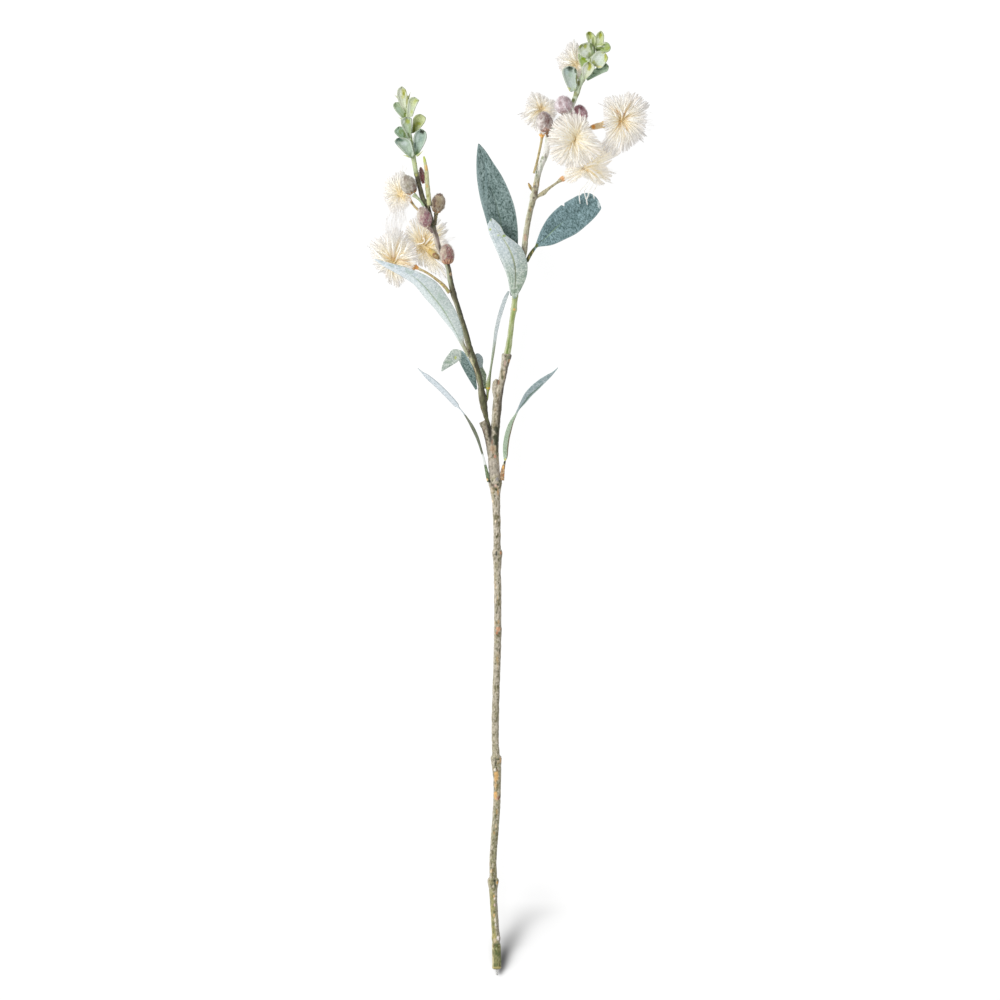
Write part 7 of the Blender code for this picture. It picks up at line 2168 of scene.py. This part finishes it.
def build_blossom(key, spec, seed, veil=170, clumps=106, per=7):
    """Filaments that rise out of the calyx through a neck and fan out to the
    puff's outline: matted tufts, loose clumps of single threads over them, and
    bolder strands among them."""
    rng = np.random.default_rng(seed)
    up_units = 1.0 / UNIT_MM
    flat = np.array([1.0, 1.0, up_units])
    centre = np.array(spec["centre"]) * flat
    mouth = np.array(spec["mouth"]) * flat
    lift = np.array([0.0, 0.0, 1.0])
    axis = unit(centre - mouth)
    e1 = np.cross(axis, lift)
    e1 = unit(e1) if np.linalg.norm(e1) > 0.2 else np.array([1.0, 0.0, 0.0])
    e1 = unit(e1 - axis * e1.dot(axis))
    e2 = np.cross(axis, e1)
    back = -axis[:2] / max(np.linalg.norm(axis[:2]), 1e-6) * (np.linalg.norm(axis[:2]) > 0.5)
    outline = np.array(spec["outline"], float) - centre[:2]
    phi = np.arctan2(outline[:, 1], outline[:, 0])
    order = np.argsort(phi)
    phi, rho = phi[order], np.linalg.norm(outline, axis=1)[order]
    phi = np.concatenate([phi - 2 * np.pi, phi, phi + 2 * np.pi])
    rho = np.concatenate([rho, rho, rho])
    ta, tb, turn = spec["throat"]
    long_way = np.array([math.cos(turn), math.sin(turn), 0.0])
    short_way = np.array([-math.sin(turn), math.cos(turn), 0.0])
    rim = spec["rim"] * up_units
    warmth = spec.get("warm", 0.0)
    floor_gap = 0.35 * up_units

    def ends_for(way, length):
        """End points on the puff's outline for directions and length shares."""
        angle = np.arctan2(way[:, 1], way[:, 0])
        level_share = np.hypot(way[:, 0], way[:, 1])
        reach = np.interp(angle, phi, rho) * level_share**0.75 * length
        z = rim + np.where(way[:, 2] > 0, spec["up"], spec["down"]) * up_units * way[:, 2] * length
        toward = np.cos(angle) * back[0] + np.sin(angle) * back[1]
        over = step(toward, 0.35, 0.8)
        arch = mouth[2] + (3.2 + 3.0 * np.abs(way[:, 2])) * up_units
        z = z * (1 - over) + np.maximum(arch, z) * over
        return np.stack([centre[0] + np.cos(angle) * reach, centre[1] + np.sin(angle) * reach, z], -1)

    def fan(end, owner, owners, steps, loose):
        """Paths from the calyx through the throat to the given ends."""
        count = len(end)
        out = end - centre
        ring = unit(out * np.array([1, 1, 0]) + rng.normal(0, 0.15, out.shape) * np.linalg.norm(out, axis=1, keepdims=True) * 0.3)
        fill = np.sqrt(rng.uniform(0.15, 1.0, count))[:, None]
        throat = centre + (long_way * (ring @ long_way)[:, None] * ta + short_way * (ring @ short_way)[:, None] * tb) * fill
        throat = throat + rng.normal(0, 0.3, throat.shape)
        around = np.arctan2(out @ e2, out @ e1) + rng.normal(0, 0.3, count)
        foot_r = spec["radius"] * up_units * np.sqrt(rng.uniform(0.2, 1.0, count))
        foot = mouth + e1 * (np.cos(around) * foot_r)[:, None] + e2 * (np.sin(around) * foot_r)[:, None]
        reach = np.linalg.norm(end - throat, axis=1)[:, None]
        straight = unit(end - throat)
        rise = np.clip(straight[:, 2:3] * 0.5 + 0.55, 0.05, 1.0)
        c1 = throat + unit(axis * 0.30 + straight * 0.65 + lift * 0.42 * rise) * reach * 0.40
        c2 = end - unit(straight * 0.9 - lift * 0.35 * rise) * reach * 0.34
        shared = rng.normal(0, 1, (owners, 2, 3))
        c1 = c1 + shared[owner, 0] * reach * 0.05 + rng.normal(0, 1, c1.shape) * reach * loose * 0.7
        c2 = c2 + shared[owner, 1] * reach * 0.07 + rng.normal(0, 1, c2.shape) * reach * loose
        t = np.array(steps)[None, :, None]
        curve = (
            (1 - t) ** 3 * throat[:, None] + 3 * (1 - t) ** 2 * t * c1[:, None]
            + 3 * (1 - t) * t**2 * c2[:, None] + t**3 * end[:, None]
        )
        wave_dir = unit(np.cross(straight, rng.normal(0, 1, straight.shape)))
        phase = rng.uniform(0, 6.28, owners)[owner]
        freq = rng.uniform(0.6, 1.2, owners)[owner]
        size = rng.uniform(0.1, 0.6, count)
        tt = np.array(steps)[None]
        sway = np.sin(phase[:, None] + 6.28 * freq[:, None] * tt) * size[:, None] * tt**0.8
        curve = curve + wave_dir[:, None] * sway[..., None]
        neck = 0.5 * (foot + throat) + rng.normal(0, 0.15, foot.shape)
        paths = np.concatenate([foot[:, None], neck[:, None], curve], 1)
        paths[..., 2] = np.maximum(paths[..., 2], floor_gap + 0.25 * rng.uniform(0, 1, paths.shape[:2]))
        return paths

    def tone(points, share, shift):
        """Gold in the hollow, cream round it and pale grey-white outside."""
        d = points[..., :2] - centre[:2]
        turn_to = np.arctan2(d[..., 1], d[..., 0])
        near = np.hypot(d[..., 0], d[..., 1]) / np.interp(turn_to, phi, rho)
        cloud = grain(points, 4.5, seed)
        x = np.clip(0.20 * share + 0.80 * near + 0.05 * shift + 0.06 * cloud - warmth * (1 - near), 0, 1)
        c = stops(x, FILAMENT)
        c = mix(c, rgb(250, 244, 230), spec.get("wash", 0.0)) * spec.get("lift", 1.0)
        return spots(c, points, spec.get("gold", ())) if spec.get("gold") else c

    # matted tufts: first a ring that fills the outline, then domes above and below
    ring_count = int(veil * 0.46)
    a = (np.arange(ring_count) + rng.uniform(-0.35, 0.35, ring_count)) / ring_count * 2 * np.pi
    tilt = rng.uniform(-0.32, 0.30, ring_count)
    ways = [np.stack([np.cos(a) * np.cos(tilt), np.sin(a) * np.cos(tilt), np.sin(tilt)], -1)]
    shares = [rng.uniform(0.965, 1.0, ring_count)]
    dome = veil - ring_count
    i = np.arange(dome * 2) + 0.5
    w = 1 - 2 * i / (dome * 2)
    g = np.pi * (1 + 5**0.5) * i
    d = np.stack([np.sqrt(1 - w * w) * np.cos(g), np.sqrt(1 - w * w) * np.sin(g), w], -1)
    d = unit(d + rng.normal(0, 0.12, d.shape))
    keep = (d @ axis > -0.86) & (d[:, 2] < math.cos(math.radians(spec["cone"]))) & (rng.uniform(0, 1, len(d)) < np.where(d[:, 2] > 0, 0.75, 0.3))
    ways.append(d[keep][:dome])
    shares.append(rng.uniform(0.70, 1.0, len(ways[1])))
    way, share = np.concatenate(ways), np.concatenate(shares)
    ends = ends_for(way, share)
    count = len(ends)
    paths = fan(ends, np.arange(count), count, (0.0, 0.25, 0.5, 0.74, 0.93, 1.0), 0.03)
    broad = np.hypot(*(ends - centre)[:, :2].T) * 2 * np.pi / ring_count * rng.uniform(0.75, 1.15, count)
    broad = np.clip(broad, 0.9, 3.0)
    broad[ring_count:] *= 0.66
    widths = 0.5 * broad[:, None] * np.array([0.26, 0.24, 0.28, 0.55, 0.85, 1.0, 0.80, 0.22])[None]
    up = unit(lift + rng.normal(0, 0.35, (count, 3)))
    v, f = rods(place(paths * np.array([1.0, 1.0, UNIT_MM])), widths * UNIT_MM * MM, sides=6, flat=5.0, up=up)
    along = np.array([0.0, 0.10, 0.20, 0.38, 0.58, 0.77, 0.94, 1.0])
    own = rng.normal(0, 1, (count, 1))
    c = tone(paths, np.broadcast_to(along[None], paths.shape[:2]), own)
    c = mix(c, rgb(226, 212, 194), 0.20 * np.clip(own, 0, 1.5) * np.ones_like(along)[None])
    c = mix(c, rgb(252, 249, 243), 0.35 * np.clip(-own, 0, 1.5) * np.ones_like(along)[None])
    angle = 2 * np.pi * np.arange(6) / 6
    c = np.repeat(c[:, :, None, :], 6, axis=2)
    # painted shade: each tuft is darker at the edges of its width than in its middle
    c = mix(c, rgb(220, 210, 196), 0.30 * np.abs(np.cos(angle))[None, None, :] ** 2 * np.ones(c.shape[:3]))
    groups = [(v, f, c)]

    # single threads in loose clumps, their directions spread over a sphere
    total = clumps * 4
    i = np.arange(total) + 0.5
    w = 1 - 2 * i / total
    g = np.pi * (1 + 5**0.5) * i
    way = np.stack([np.sqrt(1 - w * w) * np.cos(g), np.sqrt(1 - w * w) * np.sin(g), w], -1)
    way = unit(way + rng.normal(0, 0.10, way.shape))
    chance = np.ones(total)
    chance[way @ -axis > math.cos(math.radians(30))] = 0.0
    over = way[:, 2] > math.cos(math.radians(spec["cone"]))
    chance[over] = 0.12
    chance[(way[:, 2] > 0.2) & ~over] *= 1.3
    chance[way[:, 2] < -0.45] *= 0.4
    chance[np.abs(way[:, 2]) < 0.40] *= 1.6
    pick = rng.permutation(total)
    pick = pick[rng.uniform(0, 1.7, total)[pick] < chance[pick]][:clumps]
    way = way[pick]
    m = len(way)
    length = rng.uniform(0.88, 1.02, m)
    length[rng.uniform(0, 1, m) < 0.16] *= 0.78
    ends = ends_for(way, length)
    tint = rng.normal(0, 1, m)
    weight = np.full(m, per)
    spread = rng.uniform(1.2, 3.2, m)
    for u, v_, zz in spec.get("tufts", ()):
        ends = np.concatenate([ends, [[u, v_, zz * up_units]]])
        tint, weight, spread = np.append(tint, 0.6), np.append(weight, 12), np.append(spread, 0.6)
    owner = np.repeat(np.arange(len(ends)), weight)
    end = ends[owner]
    thick = rng.uniform(0.75, 1.2, len(owner))
    end = end + rng.normal(0, 1, (len(owner), 3)) * spread[owner][:, None] * 0.5 * np.array([1, 1, 0.8])
    shorten = rng.uniform(0.90, 1.0, len(owner))
    fine = np.zeros(len(owner), bool)
    for u, v_, zz, number, wide in spec.get("hairs", ()):
        extra = np.array([u, v_, zz * up_units]) + rng.normal(0, 1, (number, 3)) * np.array([wide, wide, 0.5 * wide]) * 0.6
        end = np.concatenate([end, extra])
        owner = np.concatenate([owner, rng.integers(0, m, number)])
        thick = np.concatenate([thick, rng.uniform(0.6, 0.85, number)])
        shorten = np.concatenate([shorten, rng.uniform(0.93, 1.0, number)])
        fine = np.concatenate([fine, np.ones(number, bool)])
    end = centre + (end - centre) * shorten[:, None]
    out = end - centre
    angle = np.arctan2(out[:, 1], out[:, 0])
    limit = np.interp(angle, phi, rho) * 1.02
    far = np.hypot(out[:, 0], out[:, 1])
    pull = np.where((far > limit) & ~fine & (owner < m), limit / np.maximum(far, 1e-6), 1.0)
    out[:, :2] *= pull[:, None]
    end = centre + out
    count = len(end)
    paths = fan(end, owner, len(ends), (0.0, 0.28, 0.56, 0.80, 1.0), 0.04)
    along = np.array([0.0, 0.10, 0.20, 0.42, 0.64, 0.84, 1.0])
    shape = np.array([1.15, 1.1, 1.1, 1.05, 1.0, 0.85, 0.45])
    radii = 0.135 * thick[:, None] * shape[None, :] * MM
    v, f = rods(place(paths * np.array([1.0, 1.0, UNIT_MM])), radii)
    owner_tint = np.clip(tint[np.minimum(owner, len(tint) - 1)], -2, 2)
    own = rng.normal(0, 1, count)
    colour = tone(paths, np.broadcast_to(along[None], paths.shape[:2]), (owner_tint + 0.8 * own)[:, None])
    late = np.array([0.2, 0.4, 0.7, 1, 1, 1, 0.9])[None]
    warm = np.clip(-owner_tint * 0.5 - 0.2, 0, 1)[:, None] * late
    colour = mix(colour, rgb(232, 214, 186), 0.40 * warm)
    dusk = np.clip(own * 0.6 - 0.35, 0, 1)[:, None] * late
    colour = mix(colour, rgb(216, 202, 186), 0.42 * dusk)
    white = (rng.uniform(0, 1, count) < 0.26)[:, None] * np.array([0, 0, 0.3, 0.8, 1, 1, 1])[None]
    colour = mix(colour, rgb(255, 254, 251), 0.9 * white)
    colour = mix(colour, rgb(240, 238, 236), 0.8 * fine[:, None] * np.array([0, 0, 0.3, 0.8, 1, 1, 1])[None])
    groups.append((v, f, np.repeat(colour[:, :, None, :], 3, axis=2)))

    # bolder pale strands: the ones that show plainly, and more between them
    lines = [(np.array(p, float) * [1, 1, up_units] + [0, 0, spec["centre"][2] * up_units], 7, 1.0)
             for p in spec.get("strands", ())]
    fixed = len(lines)
    lines += [(np.array(p, float) * [1, 1, up_units] + [0, 0, spec["centre"][2] * up_units], 6, 0.9)
              for p in spec.get("over", ())]
    reached = len(lines)
    for _ in range(spec.get("bold", 26)):
        a = rng.uniform(0, 2 * np.pi)
        w = rng.uniform(0.15, 0.85)
        d = np.array([[math.cos(a) * math.sqrt(1 - w * w), math.sin(a) * math.sqrt(1 - w * w), w]])
        if d[0] @ -axis > 0.85:
            continue
        tip = ends_for(d, np.array([rng.uniform(0.72, 1.0)]))[0]
        root = centre + np.array([math.cos(a) * ta, math.sin(a) * tb, 0.5]) * rng.uniform(0.2, 0.9)
        span = float(np.linalg.norm(tip - root))
        mid = 0.5 * (root + tip) + lift * span * 0.16 + rng.normal(0, 1, 3) * span * 0.07
        low = root + (mid - root) * 0.45 + lift * span * 0.07 + rng.normal(0, 1, 3) * span * 0.03
        high = mid + (tip - mid) * 0.55 + rng.normal(0, 1, 3) * span * 0.06
        lines.append((np.array([root, low, mid, high, tip]), 3, 0.72))
    for index, (line, k, bulk) in enumerate(lines):
        dense = smooth(line, 9)
        a = rng.uniform(0, 6.28, k)
        r = np.sqrt(rng.uniform(0.05, 1, k)) * 0.62 * bulk
        side = unit(np.cross(dense[-1] - dense[0], lift))
        over = unit(np.cross(side, dense[-1] - dense[0]))
        tt = np.linspace(0, 1, 9)
        spin = a[:, None] + 2.2 * tt[None]
        swell = (0.5 + 0.9 * np.sin(np.pi * tt * 0.8))[None]
        off = side * (np.cos(spin) * r[:, None] * swell)[..., None] + over * (np.sin(spin) * r[:, None] * swell)[..., None]
        bundle = dense[None] + off
        bundle[..., 2] = np.maximum(bundle[..., 2], 0.5 * up_units)
        radii = 0.19 * bulk * MM * (1.1 - 0.6 * tt**2)[None] * rng.uniform(0.85, 1.2, (k, 1))
        if fixed <= index < reached:
            radii = radii * np.interp(tt, [0.0, 0.42, 0.55, 1.0], [0.3, 0.3, 1.1, 1.3])[None]
        vv, ff = rods(place(bundle * np.array([1.0, 1.0, UNIT_MM])), radii)
        cc = tone(bundle, np.broadcast_to(tt[None], (k, 9)), np.zeros((k, 1)))
        cc = mix(cc, rgb(255, 254, 250), np.broadcast_to(0.92 * step(tt, 0.05, 0.5)[None], (k, 9)))
        groups.append((vv, ff, np.repeat(cc[:, :, None, :], 3, axis=2)))
    v, f, c = join(groups)
    node = "blossom_" + key
    stand_for(mesh_object("filaments_" + key, v, f, FLOSS, c), node)


for index, (key, spec) in enumerate(BLOSSOMS.items()):
    build_blossom(key, spec, 500 + 11 * index)

# ------------------------------------------------- calyx cups on their stalks
CALYX_STALKS = {
    "left_upper": (
        (427.0, 216.6, 28.2, 1.0),
        (420.6, 211.6, 26.4, 1.0),
        (415.7, 207.6, 25.6, 1.0),
        (411.2, 201.9, 25.0, 1.2),
        (409.0, 199.2, 24.9, 2.1),
        (407.8, 198.2, 24.7, 2.0),
    ),
    "left_lower": (
        (449.2, 292.6, 33.2, 1.5),
        (443.6, 285.4, 31.6, 1.4),
        (435.9, 279.0, 29.6, 1.15),
        (427.0, 272.8, 27.2, 1.05),
        (418.6, 268.6, 25.4, 1.2),
        (415.6, 267.1, 25.0, 2.1),
        (413.2, 266.4, 24.9, 2.1),
    ),
    "left_rear": (
        (438.6, 258.2, 27.4, 1.4),
        (436.4, 256.4, 24.6, 2.3),
        (433.6, 253.8, 21.0, 2.6),
        (430.2, 250.8, 16.8, 2.5),
        (428.4, 249.4, 14.2, 2.4),
    ),
    "right_front": (
        (552.8, 140.0, 33.2, 1.0),
        (559.0, 141.4, 32.8, 1.0),
        (567.0, 142.0, 32.8, 1.0),
        (572.8, 141.6, 34.0, 1.3),
        (574.4, 141.2, 36.6, 2.6),
        (574.8, 140.9, 38.8, 2.5),
    ),
    "right_rear": (
        (533.9, 173.0, 35.4, 1.0),
        (536.0, 166.0, 33.4, 1.05),
        (538.4, 156.0, 29.4, 1.05),
        (541.0, 143.6, 23.6, 1.05),
        (541.8, 138.2, 20.8, 1.2),
        (542.0, 135.4, 20.0, 1.9),
        (542.0, 133.6, 19.9, 1.8),
    ),
    "right_low": (
        (534.9, 199.4, 31.4, 1.1),
        (538.4, 196.0, 31.0, 1.3),
        (543.2, 193.2, 29.8, 2.0),
        (548.2, 188.9, 27.2, 1.3),
        (557.1, 182.6, 22.2, 1.1),
        (561.2, 179.6, 19.8, 2.0),
        (563.4, 178.4, 18.6, 1.9),
    ),
    "right_outer": (
        (556.8, 129.2, 29.4, 1.1),
        (566.0, 130.0, 28.4, 1.0),
        (578.0, 129.8, 26.8, 1.0),
        (588.6, 128.2, 26.2, 1.2),
        (591.2, 127.6, 26.3, 1.9),
        (594.6, 126.8, 26.7, 2.5),
        (599.0, 125.7, 27.4, 2.6),
        (605.0, 124.4, 29.0, 2.5),
    ),
    "right_top": (
        (580.6, 82.6, 28.8, 1.1),
        (580.2, 79.4, 27.2, 1.4),
        (579.4, 77.0, 25.4, 2.0),
        (578.8, 74.6, 24.0, 2.0),
    ),
}
CUP_TONES = {
    "left_upper": ((196, 176, 132), (244, 194, 130), 0.80),
    "left_lower": ((180, 160, 114), (222, 156, 84), 0.87),
    "left_rear": ((150, 122, 80), (206, 184, 120), 0.35),
    "right_front": ((150, 140, 104), (222, 186, 120), 0.75),
    "right_rear": ((192, 176, 128), (246, 188, 104), 0.90),
    "right_low": ((196, 190, 160), (242, 184, 130), 0.90),
    "right_outer": ((124, 112, 82), (230, 206, 164), 0.66),
    "right_top": ((150, 146, 100), (232, 212, 160), 0.60),
}


def build_calyx(key, rows, seed):
    low, cup, start = CUP_TONES[key]

    def shade(a, q, p, no):
        c = np.broadcast_to(rgb(*low), (len(a), 3)).copy()
        c = mix(c, rgb(120, 104, 62), 0.6 * step(grain(q, 1.4, seed), 0.1, 0.5))
        c = mix(c, rgb(206, 196, 156), 0.6 * step(grain(q, 1.1, seed + 1), 0.15, 0.5))
        warm = mix(rgb(*cup), rgb(248, 222, 178), step(a, start + 0.6 * (1 - start), 1.0))
        warm = mix(warm, rgb(*cup) * 0.72, 0.5 * step(grain(q, 0.9, seed + 2), 0.1, 0.5))
        c = mix(c, warm, step(a, start - 0.04, start + 0.03))
        if key == "left_lower":
            c = spots(c, p, ((441.0, 285.6, 1.6, 1.6, (214, 196, 96), 0.8), (447.0, 290.0, 2.2, 2.2, (150, 160, 96), 0.6),
                             (419.6, 268.8, 1.4, 1.4, (214, 206, 170), 0.8)))
        if key == "right_outer":
            c = spots(c, p, ((593.6, 126.8, 2.2, 2.6, (222, 148, 62), 0.95), (590.6, 127.6, 1.0, 1.6, (110, 100, 62), 0.7)))
        if key == "left_rear":
            c = spots(c, p, ((434.0, 254.4, 1.6, 1.3, (150, 98, 72), 0.7), (430.0, 250.6, 2.0, 1.4, (196, 158, 74), 0.6)))
        return c

    v, f, c = slim(key, rows, 90, 16, shade, rough=0.5)
    groups = [(v, f, c)]
    # short scales round the cup's mouth
    rng = np.random.default_rng(seed)
    dense = place(smooth(rows, 90)[:, :3])
    axis = unit(dense[-1] - dense[-8])
    side = unit(np.cross(axis, [0.3, 0.2, 0.93]))
    other = np.cross(axis, side)
    radius = rows[-1][3]
    for i in range(7):
        w = 2 * np.pi * (i + rng.uniform(-0.15, 0.15)) / 7
        spoke = side * math.cos(w) + other * math.sin(w)
        foot = dense[-6] + spoke * (radius - 0.1) * MM
        tip = dense[-1] + spoke * (radius + 0.1) * MM + axis * rng.uniform(0.5, 1.3) * MM
        pts = np.array([foot + (tip - foot) * s + spoke * 0.15 * MM * math.sin(math.pi * s) for s in np.linspace(0, 1, 6)])
        pts[:, 2] = np.maximum(pts[:, 2], 0.0008)
        vv, ff = tube(pts, np.array([0.4, 0.62, 0.62, 0.5, 0.3, 0.08]) * MM, 7)
        aa = np.concatenate([np.repeat(np.linspace(0, 1, 6), 7), [0, 1]])
        groups.append((vv, ff, mix(rgb(*cup) * 0.95, rgb(250, 230, 192), aa)))
    v, f, c = join(groups)
    stand_for(mesh_object("cup_" + key, v, f, CALYX, c), "calyx_stalk_" + key)


for index, (key, rows) in enumerate(CALYX_STALKS.items()):
    build_calyx(key, rows, 700 + 5 * index)

low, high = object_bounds()
